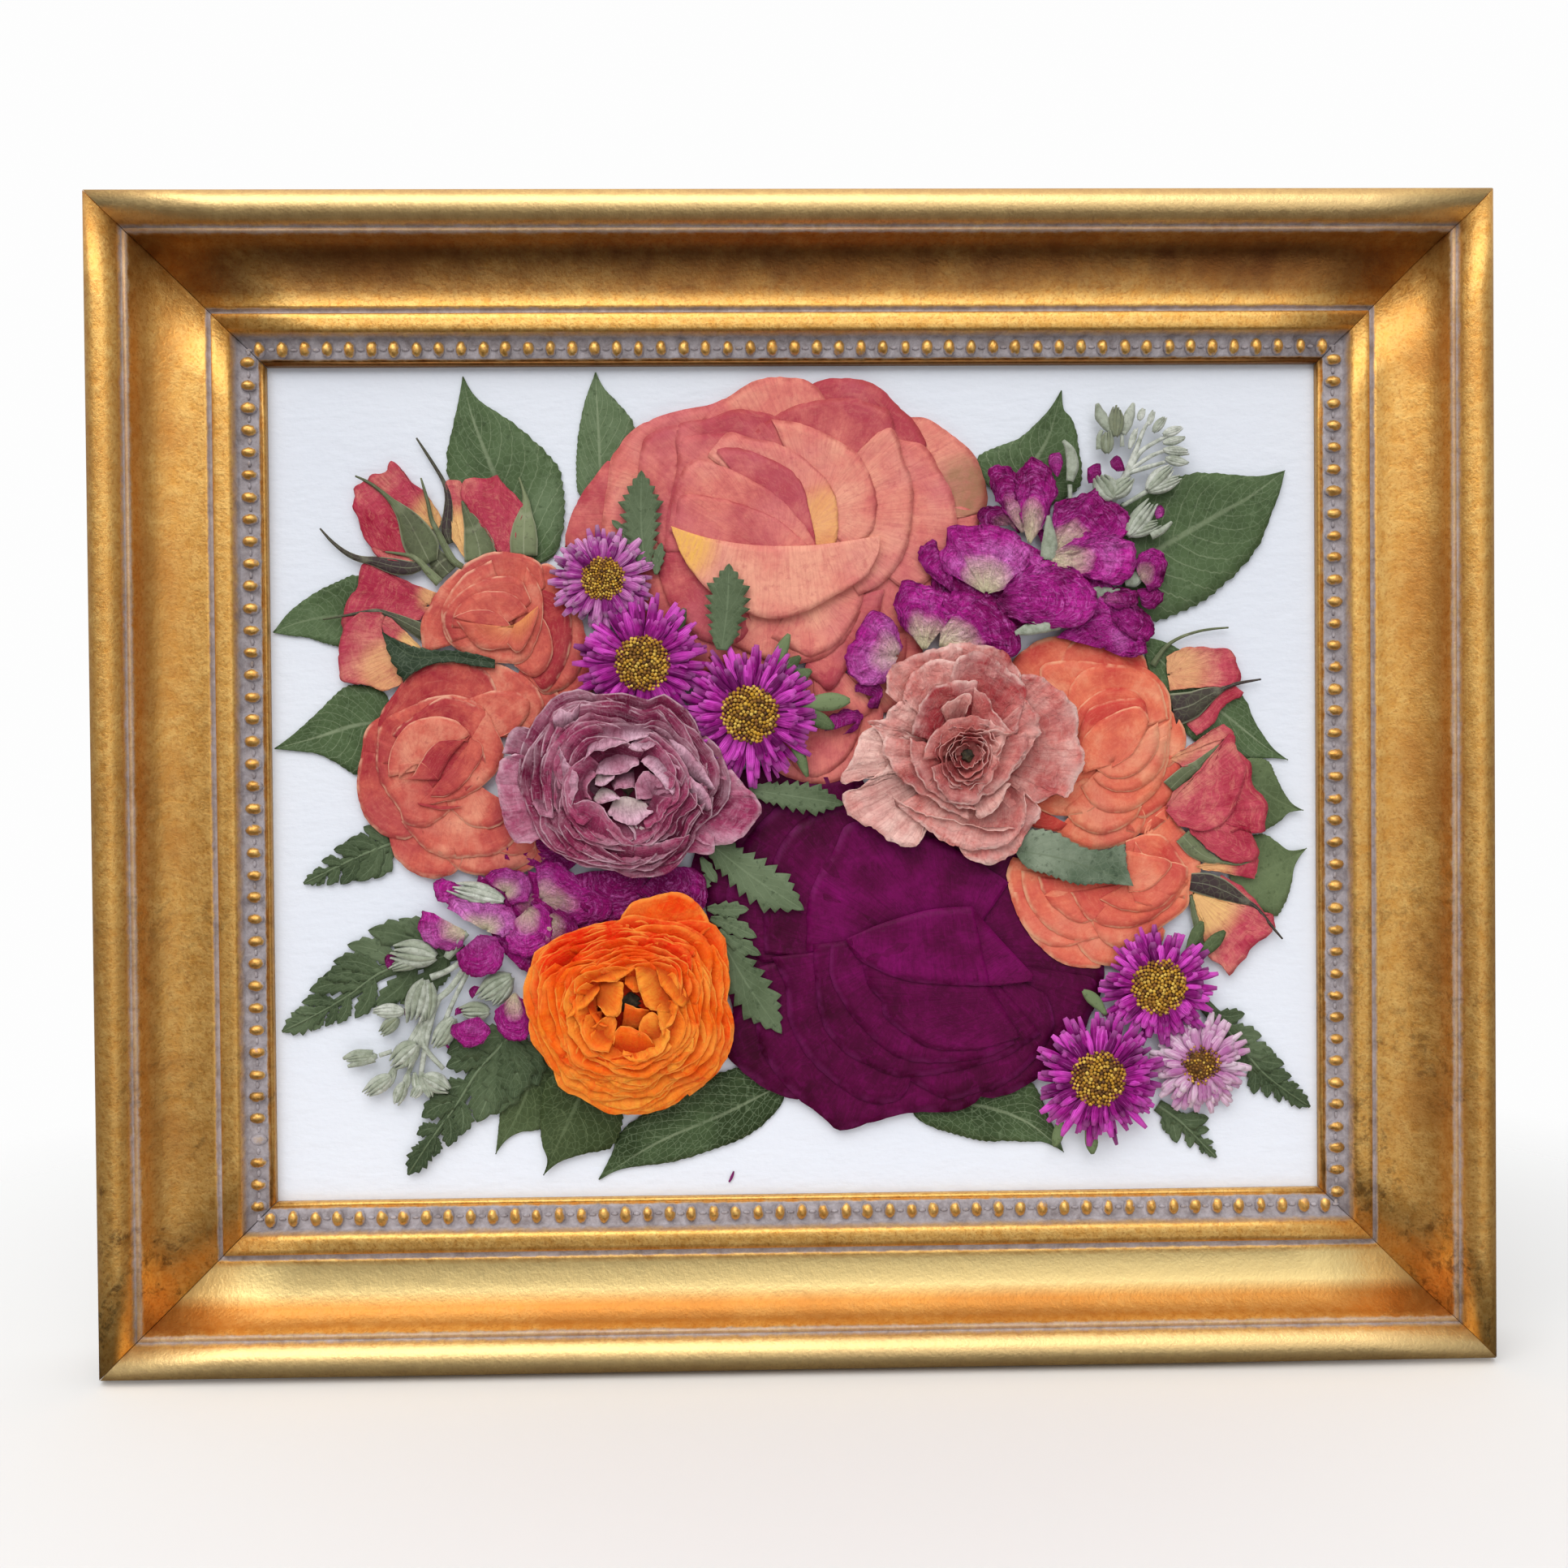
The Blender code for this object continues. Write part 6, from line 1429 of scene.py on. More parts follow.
finish_piece("orange_ranunculus", bm, [orange.material, stamen.material], ["ranunculus_orange"],
             thickness=0.13)

# %% [markdown]
# The pink rose has fewer and larger petals, whose rims are ruffled. So most of them were traced,
# and only its core is a spiral, of petals that stand almost upright.

# %% Ruffled pink rose
FOOT = (648, 600)
pink = petal_surface("pink_petal", (0.34, 0.030, 0.040), (0.70, 0.21, 0.185), (0.95, 0.60, 0.53),
                     (0.94, 0.66, 0.60), gold=(0.84, 0.56, 0.34), blush=(0.55, 0.085, 0.085), streak=0.4, mottle=0.9,
                     wrinkle=0.5, crease=1.0, lit=0.45, depth=0.6, relief=1.3, crease_shade_and_highlight=0.2)
bm = new_sheet_mesh()
middle = traced("P", [FOOT], 7)[0]
heart(bm, "P", [
    (FOOT, [(245, 300), (245, 225), (275, 165), (340, 128), (440, 92), (540, 72), (620, 65)], 4.2, 0.55, 0.5),
    (FOOT, [(200, 690), (110, 760), (35, 800), (45, 870), (110, 935), (180, 960), (260, 1020), (385, 1060),
     (412, 1000), (440, 930)], 4.2, 0.95),
    (FOOT, [(600, 1060), (645, 1112), (740, 1138), (830, 1118), (900, 1060), (945, 970), (1010, 880), (940, 800)],
     4.3, 0.6),
    (FOOT, [(900, 205), (985, 210), (1060, 250), (1130, 310), (1180, 370), (1196, 440), (1192, 510), (1226, 610),
     (1195, 690), (1150, 790), (1130, 808), (1070, 790), (1000, 840), (930, 800)], 4.5, 0.62),
    (FOOT, [(235, 440), (160, 470), (110, 520), (90, 580), (50, 660), (22, 735), (100, 725), (190, 710), (260, 650)],
     4.6, 1.0),
    (FOOT, [(500, 78), (600, 50), (700, 62), (800, 82), (860, 130), (905, 200), (930, 260)], 4.7, 0.55),
    (FOOT, [(340, 330), (262, 370), (235, 425), (155, 430), (170, 455), (230, 520), (250, 620)], 5.0, 0.6),
    ([(700, 620), (830, 720), (900, 700)], [(300, 850), (400, 930), (480, 995), (560, 1042), (700, 1066), (830, 1042),
     (890, 990), (925, 900), (930, 800)], 4.9, 0.6),
    ([(300, 860), (520, 930), (800, 960)], [(278, 812), (340, 850), (480, 905), (640, 940), (780, 975), (880, 960)],
     5.7, 0.95),
    (FOOT, [(330, 340), (335, 280), (370, 210), (440, 150), (520, 128), (600, 150)], 5.4, 0.55),
    (FOOT, [(560, 220), (600, 120), (700, 92), (800, 150), (880, 210), (930, 290), (905, 420), (880, 495)], 5.5,
     0.15),
    (FOOT, [(245, 510), (225, 600), (262, 622), (300, 700), (380, 770), (480, 832), (560, 882), (645, 912)], 5.6,
     0.5),
    (FOOT, [(930, 330), (985, 400), (1000, 480), (960, 560), (905, 640), (850, 705), (790, 765)], 6.0, 0.55),
    (FOOT, [(940, 480), (945, 560), (900, 625), (840, 720), (760, 785), (690, 800)], 6.5, 0.45),
    ([(640, 700), (740, 700)], [(680, 850), (700, 917), (780, 872), (830, 790), (860, 745)], 6.3, 0.75),
    (FOOT, [(355, 520), (370, 640), (420, 742), (500, 812), (600, 862), (690, 882)], 6.6, 0.45),
    (FOOT, [(370, 500), (400, 390), (440, 310), (500, 262), (600, 236), (700, 236)], 6.7, 0.0),
    ([(560, 470), (640, 420)], [(515, 372), (560, 335), (640, 298), (664, 325), (630, 400)], 7.7, 0.8),
    (FOOT, [(680, 262), (750, 330), (800, 420), (872, 497)], 6.9, 0.3),
    (FOOT, [(425, 620), (440, 560), (478, 495), (560, 430), (670, 408), (760, 440)], 7.5, 0.5),
    (FOOT, [(460, 660), (500, 760), (570, 830), (680, 845), (720, 800)], 7.4, 0.4),
    (FOOT, [(760, 430), (830, 490), (810, 590), (780, 690), (705, 790)], 7.6, 0.5),
    ([(690, 520), (760, 520)], [(690, 500), (760, 480), (872, 495)], 8.0, 0.8),
], crumple=1.0, rise=0.9, ripple=0.35, fray=0.55, fineness=1.25)
PINK_CORE = [(480, 620), (500, 540), (560, 470), (660, 450), (760, 480), (800, 560), (780, 670), (720, 760),
    (620, 790), (530, 740)]
whorl(bm, middle, traced("P", PINK_CORE, 6), 7.4, 8.6, 16, shares=(1.0, 0.34), span=66, cup=1.0, crumple=0.7,
      ruffle=0.15, tones=(0.4, 0.15), sunk=1.2, upright=0.6)
add_stamens(bm, middle, 1.5, 6.9)
finish_piece("pink_ruffled_rose", bm, [pink.material, stamen.material], ["rose_pink_ruffled"],
             thickness=0.13)

# %% [markdown]
# ## Asters
# An aster is three wheels of narrow rays and a domed disc. One ray is a strap of a few
# faces with a rounded tip, since there are hundreds. The disc's florets stand in the spiral that
# sunflowers have: each next one turns by the golden angle, at the square root of its number.

# %% Asters
def ray_surface(name, deep, main, light, tip):
    surface = Surface(name, 0.6)
    place = surface.place()
    v, tone = surface.across("v"), surface.across("tone")
    clouded = surface.plus(tone, surface.times(surface.less(surface.noise(place, 500, 3, 0.6), 0.5), 0.7))
    colour = surface.ramp(clouded, (0.0, deep), (0.5, main), (1.0, light))
    lines = surface.noise(surface.stretched(surface.unrolled(), (9.0, 1.2, 1.0)), 1.0, 3, 0.6)
    colour = surface.mix(surface.ramp(lines, (0.35, 0.7), (0.55, 0.0)), colour, deep)
    colour = surface.mix(surface.ramp(lines, (0.55, 0.0), (0.75, 0.45)), colour, tip)
    colour = surface.mix(surface.ramp(v, (0.75, 0.0), (1.0, 0.3)), colour, tip)
    # painted shade: each ray darker towards its foot, where the rays lie under each other and the disc
    colour = surface.mix(surface.ramp(v, (0.1, 0.85), (0.6, 0.0)), colour, deep)
    surface.colour(colour)
    surface.shader.inputs["Specular IOR Level"].default_value = 0.12
    surface.bump(lines, 0.5, 0.15)
    return surface


violet_ray = ray_surface("aster_ray", (0.10, 0.001, 0.07), (0.40, 0.008, 0.28), (0.80, 0.08, 0.66),
                         (0.84, 0.26, 0.74))
lilac_ray = ray_surface("aster_ray_lilac", (0.16, 0.006, 0.12), (0.44, 0.04, 0.34), (0.74, 0.26, 0.62),
                        (0.88, 0.68, 0.82))
pale_ray = ray_surface("aster_ray_pale", (0.42, 0.13, 0.34), (0.66, 0.36, 0.56), (0.82, 0.66, 0.76),
                       (0.90, 0.84, 0.86))
floret = Surface("aster_floret", 0.7)
floret.colour(floret.mix(floret.ramp(floret.noise(floret.place(), 900, 2, 0.6), (0.35, 0.6), (0.6, 0.0)),
                         floret.ramp(floret.across("tone"), (0.0, (0.06, 0.022, 0.006)), (0.3, (0.34, 0.15, 0.012)),
                                     (0.6, (0.68, 0.36, 0.02)), (1.0, (0.92, 0.64, 0.12))), (0.24, 0.09, 0.01)))
floret.bump(floret.noise(floret.place(), 1500, 3, 0.6), 0.6, 0.1)


WHEELS = 3


def aster(name, node, middle, reach, disc, low, surface, rays, worn=0.0, florets=190, bracts=()):
    bm = new_sheet_mesh()
    tone = bm.verts.layers.float["tone"]
    centre = Vector(middle)
    for wheel in range(WHEELS):
        count = rays - wheel * 4
        for index in range(count):
            angle = math.tau * (index + rng.uniform(-0.35, 0.35)) / count + wheel * 1.7
            far = reach * rng.uniform(0.84, 1.03) * (1 - 0.13 * wheel)
            way = Vector((math.cos(angle), math.sin(angle)))
            side = Vector((-way.y, way.x))
            bend = rng.uniform(-0.12, 0.12) * far
            foot = centre + way * disc * rng.uniform(0.6, 0.8)
            end = centre + way * far + side * bend
            width = rng.uniform(0.62, 1.12)
            base = low + 0.25 + wheel * 0.55
            strap(bm, [foot, foot.lerp(end, 0.55) + side * bend * 0.15, end],
                  [width * 0.4, width * 0.75, width, width, width * 0.5], base,
                  tone=rng.uniform(0.0, 1.0), columns=2, rows=6, crown=rng.uniform(-0.3, 0.35),
                  lifts=[rng.uniform(0.2, 0.6), rng.uniform(0.4, 0.9), rng.uniform(0.1, 0.7), rng.uniform(-0.2, 0.6)])
    split = len(bm.faces)
    for index in range(florets):
        spread = math.sqrt((index + 0.5) / florets)
        angle = index * GOLDEN_ANGLE
        tall = rng.uniform(0.55, 1.0) * (0.75 + 0.25 * spread)
        seat = low + 1.9 + 0.9 * (1 - spread ** 2)
        if rng.random() < worn * (1.2 - spread):
            tall, seat = 0.3, seat - 0.35
        lean = Matrix.Rotation(0.6 * spread, 4, Vector((-math.sin(angle), math.cos(angle), 0)))
        spot = Matrix.Translation((centre.x + math.cos(angle) * spread * disc,
                                   centre.y + math.sin(angle) * spread * disc, seat))
        made = bmesh.ops.create_cone(bm, segments=5, radius1=disc * 0.05, radius2=disc * rng.uniform(0.055, 0.085),
                                     depth=tall, cap_ends=True, matrix=spot @ lean)["verts"]
        shade = rng.uniform(0.25, 1.0) if rng.random() > 0.28 + worn * 0.4 else rng.uniform(0.0, 0.3)
        # painted shade: the lower end of each floret is darker, where the crowded florets shade it
        for vert in made:
            vert[tone] = shade * (0.45 if (vert.co.z < seat) else 1.0)
    cushion = bmesh.ops.create_icosphere(bm, subdivisions=2, radius=1.0, matrix=Matrix.Translation(
        (centre.x, centre.y, low + 1.3)) @ Matrix.Diagonal((disc * 0.97, disc * 0.97, 1.0, 1.0)))["verts"]
    for vert in cushion:
        vert[tone] = 0.12
    set_part(bm, split, 1)
    first = len(bm.faces)
    for view, foot, tip, half_width in bracts:
        foot, tip = traced(view, [foot, tip], low)
        strap(bm, [foot, foot.lerp(tip, 0.5) + Vector((0.3, 0.2)), tip],
              [half_width * part for part in (0.35, 0.5, 0.8, 1.0, 1.0, 0.8, 0.25)], low + 0.05,
              tone=rng.uniform(0.3, 0.9), columns=4, rows=9, crown=0.25, ripple=0.2)
    set_part(bm, first, 2)
    finish_piece(name, bm, [surface.material, floret.material, grey_leaf.material], [node], thickness=0.1)


aster("aster_small_left", "aster_left_small", (-44.5, 47), 12.6, 4.9, 2.8, lilac_ray, rays=44)
aster("aster_upper_left", "aster_left", (-35.5, 27.5), 16.2, 6.4, 3.5, violet_ray, rays=50,
      bracts=[("E", (430, 200), (490, 75), 1.5)])
aster("aster_middle", "aster_centre", (-11, 15.5), 16.8, 6.6, 4.2, violet_ray, rays=52,
      bracts=[("E", (740, 300), (815, 155), 1.5), ("E", (760, 300), (850, 225), 1.5),
              ("E", (780, 320), (885, 268), 1.6), ("E", (840, 378), (1005, 362), 2.1),
              ("E", (830, 390), (955, 448), 1.8), ("E", (800, 430), (872, 600), 1.3)])
aster("aster_upper_right", "aster_right_upper", (83.5, -48.5), 14.2, 6.4, 3.0, violet_ray, rays=48,
      bracts=[("F", (560, 1150), (610, 1050), 1.5), ("F", (590, 1170), (680, 1080), 1.6)])
aster("aster_lower_right", "aster_right_lower", (69, -69.5), 16.0, 6.4, 3.8, violet_ray, rays=52,
      bracts=[("F", (310, 1340), (238, 1265), 1.4), ("I", (250, 610), (268, 712), 1.5),
              ("I", (170, 590), (150, 690), 1.3)])
aster("aster_pale_right", "aster_pale", (93.5, -67), 12.2, 4.6, 1.9, pale_ray, rays=40, worn=0.9,
      florets=120)

# %% [markdown]
# ## Rosebuds
# Six buds were pressed half open. A bud is a few folded petals held by sepals, which end in a
# long thin point. The petals and the sepals are separate sheets here, and the bud is one piece.

# %% Rosebuds
bud_petal = petal_surface("bud_petal", (0.36, 0.012, 0.042), (0.60, 0.085, 0.125), (0.86, 0.38, 0.26),
                          (0.34, 0.05, 0.06), gold=(0.90, 0.56, 0.22), blush=(0.44, 0.035, 0.085), streak=0.5,
                          mottle=0.95, wrinkle=0.4, crease=0.6, crease_shade_and_highlight=0.25)
sepal = leaf_surface("sepal", (0.055, 0.036, 0.038), (0.115, 0.135, 0.070), (0.24, 0.28, 0.15), (0.36, 0.38, 0.25),
                     side_veins=1.0, sweep=0.1, net=0.2, rim=0.75)


def rosebud(name, view, node, petals, sepals, low=1.1):
    bm = new_sheet_mesh()
    for foot, rim, step, tone, *more in petals:
        lay(bm, view, foot, rim, low + step, tone, crumple=0.4, rise=0.3, fineness=1.3, fray=0.3,
            **(more[0] if more else {}))
    first = len(bm.faces)
    for line, widths, step, tone in sepals:
        strap(bm, traced(view, line, low + step), [w * MM_PER_PX / VIEWS[view][2] for w in widths], low + step,
              tone=tone, columns=4, rows=18, crown=0.25, ripple=0.2)
    set_part(bm, first, 1)
    finish_piece(name, bm, [bud_petal.material, sepal.material], [node], thickness=0.13)


rosebud("rosebud_upper_left", "W", "rosebud_left_upper", [
    ((690, 560), [(420, 520), (200, 380), (150, 260), (170, 180), (200, 148), (300, 135), (335, 52), (400, 85),
     (480, 190), (560, 255), (640, 350), (722, 475)], 0.1, 0.5, {"gold": 0.9, "gold_at": ((690, 480), 7.5)}),
    ((540, 770), [(350, 730), (215, 705), (140, 610), (100, 480), (62, 390), (72, 300), (65, 258), (110, 225),
     (165, 190), (230, 230), (330, 320), (420, 450), (520, 600)], 0.35, 0.2),
    ((560, 790), [(400, 785), (250, 760), (195, 690), (300, 712), (420, 732), (500, 750)], 0.5, 0.7),
], [
    ([(640, 720), (700, 800), (770, 880)], [55, 75, 70], 0.2, 0.3),
    ([(780, 660), (750, 560), (762, 440), (765, 330), (738, 220), (672, 100), (530, -120)], [22, 42, 30, 14, 10, 8,
     3], 0.3, 0.15),
    ([(590, 820), (480, 840), (350, 825), (220, 790), (100, 770), (0, 722), (-100, 640), (-183, 548)], [22, 50, 62,
     45, 26, 20, 13, 8, 3], 0.6, 0.1),
    ([(630, 800), (540, 620), (450, 460), (310, 310), (190, 215), (78, 160)], [60, 128, 122, 90, 52, 20, 11, 9, 3],
     0.75, 0.5),
    ([(700, 950), (620, 870), (555, 795), (480, 748), (300, 720)], [34, 28, 18, 9, 3], 0.9, 0.7),
    ([(870, 830), (790, 770), (690, 580), (640, 480), (615, 360), (562, 175)], [20, 26, 24, 17, 12, 9, 3], 0.9, 0.6),
])
rosebud("rosebud_tall_left", "T", "rosebud_left_tall", [
    ((245, 740), [(130, 560), (125, 400), (110, 250), (88, 140), (150, 135), (200, 150), (240, 290), (300, 500),
     (300, 640)], 0.1, 0.6, {"gold": 1.0, "gold_at": ((175, 560), 8.5)}),
    ((500, 700), [(470, 655), (400, 520), (320, 380), (215, 290), (198, 180), (260, 115), (400, 118), (470, 95),
     (500, 145), (655, 315), (610, 480), (600, 650)], 0.3, 0.5),
], [
    ([(345, 725), (330, 610), (290, 480), (240, 370), (207, 285)], [118, 114, 80, 38, 4], 0.45, 0.55),
    ([(665, 690), (663, 576), (670, 420), (680, 300), (655, 190), (627, 110)], [98, 104, 82, 36, 10, 3], 0.4, 0.85),
])
rosebud("rosebud_lower_left", "U", "rosebud_left_lower", [
    ((690, 400), [(745, 305), (600, 250), (400, 165), (300, 100), (230, 65), (180, 110), (155, 270), (90, 350),
     (45, 570), (250, 560), (620, 505)], 0.1, 0.45, {"gold": 0.7, "gold_at": ((720, 330), 4.5)}),
    ([(350, 480), (340, 595), (450, 760), (485, 955)], [(345, 450), (200, 448), (130, 480), (60, 560), (30, 680),
     (20, 880), (45, 965), (200, 985), (350, 1030), (440, 1000), (485, 965)], 0.45, 0.6, {"stem": 0.0, "gold": 0.6,
     "gold_at": ((390, 880), 8.5)}),
    ((330, 530), [(370, 475), (470, 555), (560, 640), (630, 720), (520, 683), (420, 642), (345, 602)], 0.5, 0.6,
     {"gold": 1.0, "gold_at": ((570, 680), 4.5)}),
], [([(650, 600), (520, 530), (400, 472), (290, 436), (100, 464), (-100, 500)], [62, 42, 18, 9, 7, 2], 0.6, 0.3)])
rosebud("rosebud_upper_right", "V", "rosebud_right_upper", [
    ((110, 340), [(100, 205), (180, 165), (270, 130), (430, 140), (572, 155), (640, 300), (655, 362), (600, 420),
     (400, 430), (250, 440), (130, 455)], 0.2, 0.7, {"gold": 0.55, "gold_at": ((150, 340), 10.0)}),
    ([(250, 700), (400, 590), (470, 500), (600, 410)], [(320, 790), (440, 705), (500, 600), (570, 535), (655, 500),
     (672, 470)], 0.1, 0.5, {"stem": 0.0}),
], [
    ([(150, 600), (280, 565), (400, 495), (550, 430), (640, 400), (800, 372)], [125, 105, 62, 12, 9, 3], 0.5, 0.1),
    ([(0, 270), (90, 140), (200, 65), (330, 20), (440, 0), (560, -10)], [22, 14, 9, 7, 6, 3], 0.3, 0.6),
])
rosebud("rosebud_middle_right", "X", "rosebud_right_middle", [
    ((40, 300), [(118, 240), (200, 195), (300, 130), (400, 55), (445, 45), (512, 118), (440, 140), (390, 220),
     (330, 290), (220, 340), (130, 360)], 0.1, 0.75, {"gold": 0.5}),
    ((180, 780), [(190, 850), (300, 955), (400, 1030), (500, 1068), (600, 1065), (690, 1030), (675, 930), (640, 860),
     (610, 780), (480, 730)], 0.45, 0.5),
    ((230, 1095), [(300, 1068), (450, 1070), (560, 1070), (655, 1030), (690, 1040), (680, 1110), (655, 1190),
     (610, 1160), (540, 1150), (400, 1128), (280, 1118)], 0.15, 0.55, {"gold": 0.8, "gold_at": ((300, 1095), 8.0)}),
    ((200, 700), [(330, 420), (450, 140), (512, 130), (525, 225), (600, 290), (635, 340), (648, 490), (745, 600),
     (757, 680), (735, 770), (735, 840), (640, 845), (600, 800), (500, 850)], 0.6, 0.4),
    ((0, 670), [(60, 545), (110, 505), (220, 420), (330, 310), (440, 160), (490, 150), (560, 300), (598, 345),
     (565, 520), (500, 680), (430, 775), (330, 828), (200, 825), (100, 795)], 0.8, 0.6),
], [
    ([(40, 520), (150, 410), (250, 345), (400, 200)], [70, 52, 34, 5], 0.35, 0.55),
    ([(130, 870), (230, 975), (330, 1035), (450, 1066), (560, 1078), (655, 1045)], [60, 66, 44, 14, 7, 3], 0.35, 0.7),
], low=1.7)
rosebud("rosebud_lower_right", "Y", "rosebud_right_lower", [
    ((150, 300), [(300, 75), (420, 150), (500, 215), (590, 310), (630, 380), (672, 360), (690, 420), (670, 480),
     (400, 480)], 0.1, 0.6),
    ((80, 200), [(110, 330), (150, 420), (170, 560), (205, 685), (300, 750), (350, 820), (400, 770), (470, 690),
     (530, 600), (620, 540), (680, 480), (620, 400), (560, 320), (400, 300), (250, 250)], 0.35, 0.66, {"gold": 1.0,
     "gold_at": ((160, 290), 10.0)}),
], [
    ([(70, 230), (110, 380), (140, 520), (130, 660)], [14, 34, 38, 34], 0.3, 0.6),
    ([(70, 130), (200, 150), (330, 200), (440, 255), (540, 305), (620, 390), (690, 480), (750, 550)], [66, 86, 80, 50,
     14, 10, 8, 3], 0.6, 0.0),
])

# %% [markdown]
# ## Two sprays of stock
# A stock's florets dry crumpled, with a cream claw at the foot of each petal, and its buds and
# stems keep a grey felt. One spray is one grown piece, so petals, buds and stems share a mesh
# and differ only by material.

# %% Stock materials and parts
magenta = petal_surface("magenta_petal", (0.22, 0.002, 0.10), (0.62, 0.024, 0.38), (0.96, 0.27, 0.82),
                        (0.20, 0.006, 0.10), gold=(1.0, 0.97, 0.58), blush=(0.36, 0.006, 0.18), streak=0.6,
                        mottle=0.9, wrinkle=1.0, crease=1.0, relief=2.0, crease_shade_and_highlight=0.4)
felt = Surface("grey_felt", 0.9)
felt.colour(felt.mix(felt.ramp(felt.noise(felt.place(), 520, 4, 0.7), (0.35, 0.7), (0.6, 0.0)),
                     felt.ramp(felt.across("tone"), (0.0, (0.20, 0.22, 0.13)), (0.5, (0.38, 0.42, 0.33)),
                               (1.0, (0.68, 0.70, 0.64))), (0.17, 0.20, 0.13)))
felt.shader.inputs["Sheen Weight"].default_value = 0.3
felt.bump(felt.noise(felt.place(), 800, 4, 0.7), 0.8, 0.35)


def felt_bud(bm, foot, tip, width, lift, tone=0.5):
    """A closed bud: four felted sepals side by side, swollen, ribbed and pointed."""
    along = tip - foot
    out = Vector((-along.y, along.x)).normalized() * width
    for hand in (-0.68, 0.66, -0.2, 0.24):
        spine = [foot + out * hand * 0.15, foot + along * 0.25 + out * hand * 0.8, foot + along * 0.6 + out * hand,
                 tip + out * hand * rng.uniform(0.35, 0.85) - along * rng.uniform(0.0, 0.14)]
        strap(bm, spine, [width * part for part in (0.1, 0.3, 0.4, 0.36, 0.2, 0.02)],
              lift + (1 - abs(hand)) * width * 0.35, tone=tone + rng.uniform(-0.22, 0.22), columns=6, rows=12,
              crown=width * 0.45, ripple=0.15)


def spray(name, node, view, petals, sepals, buds, stems, tips, step=0.0, crumple=1.3):
    bm = new_sheet_mesh()
    scale = VIEWS[view][2] / MM_PER_PX
    for index, (foot, rim, lift, tone, claw) in enumerate(petals):
        lay(bm, view, foot, rim, lift + index * step, tone, gold=min(1.0, claw * 1.3), claw=0.55,
            crumple=crumple, ripple=0.5, rise=0.3, bow=0.4, fineness=1.7, fray=0.6)
    for (x, y), rim, lift, tone in tips:
        rim = [(x + (px - x) * 0.75, y + (py - y) * 0.75) for px, py in rim]
        lay(bm, view, (x, y), rim, lift, tone, crumple=0.4, fineness=1.3)
    first = len(bm.faces)
    for line, widths, lift, tone in sepals + stems:
        strap(bm, traced(view, line, lift), [w / scale for w in widths], lift, tone=tone, columns=4, rows=14,
              crown=0.35, ripple=0.25)
    for foot, tip, width, lift, tone in buds:
        foot, tip = traced(view, [foot, tip], lift)
        felt_bud(bm, foot, tip, 0.8 * width / scale, lift, tone)
    set_part(bm, first, 1)
    finish_piece(name, bm, [magenta.material, felt.material], [node], thickness=0.13)


# %% [markdown]
# A petal is (foot, rim, lift, tone, claw), a bud (foot, tip, width, lift, tone) and a sepal or a
# stem (line, widths, lift, tone). The tips are the slips of petal that stand out of open buds.

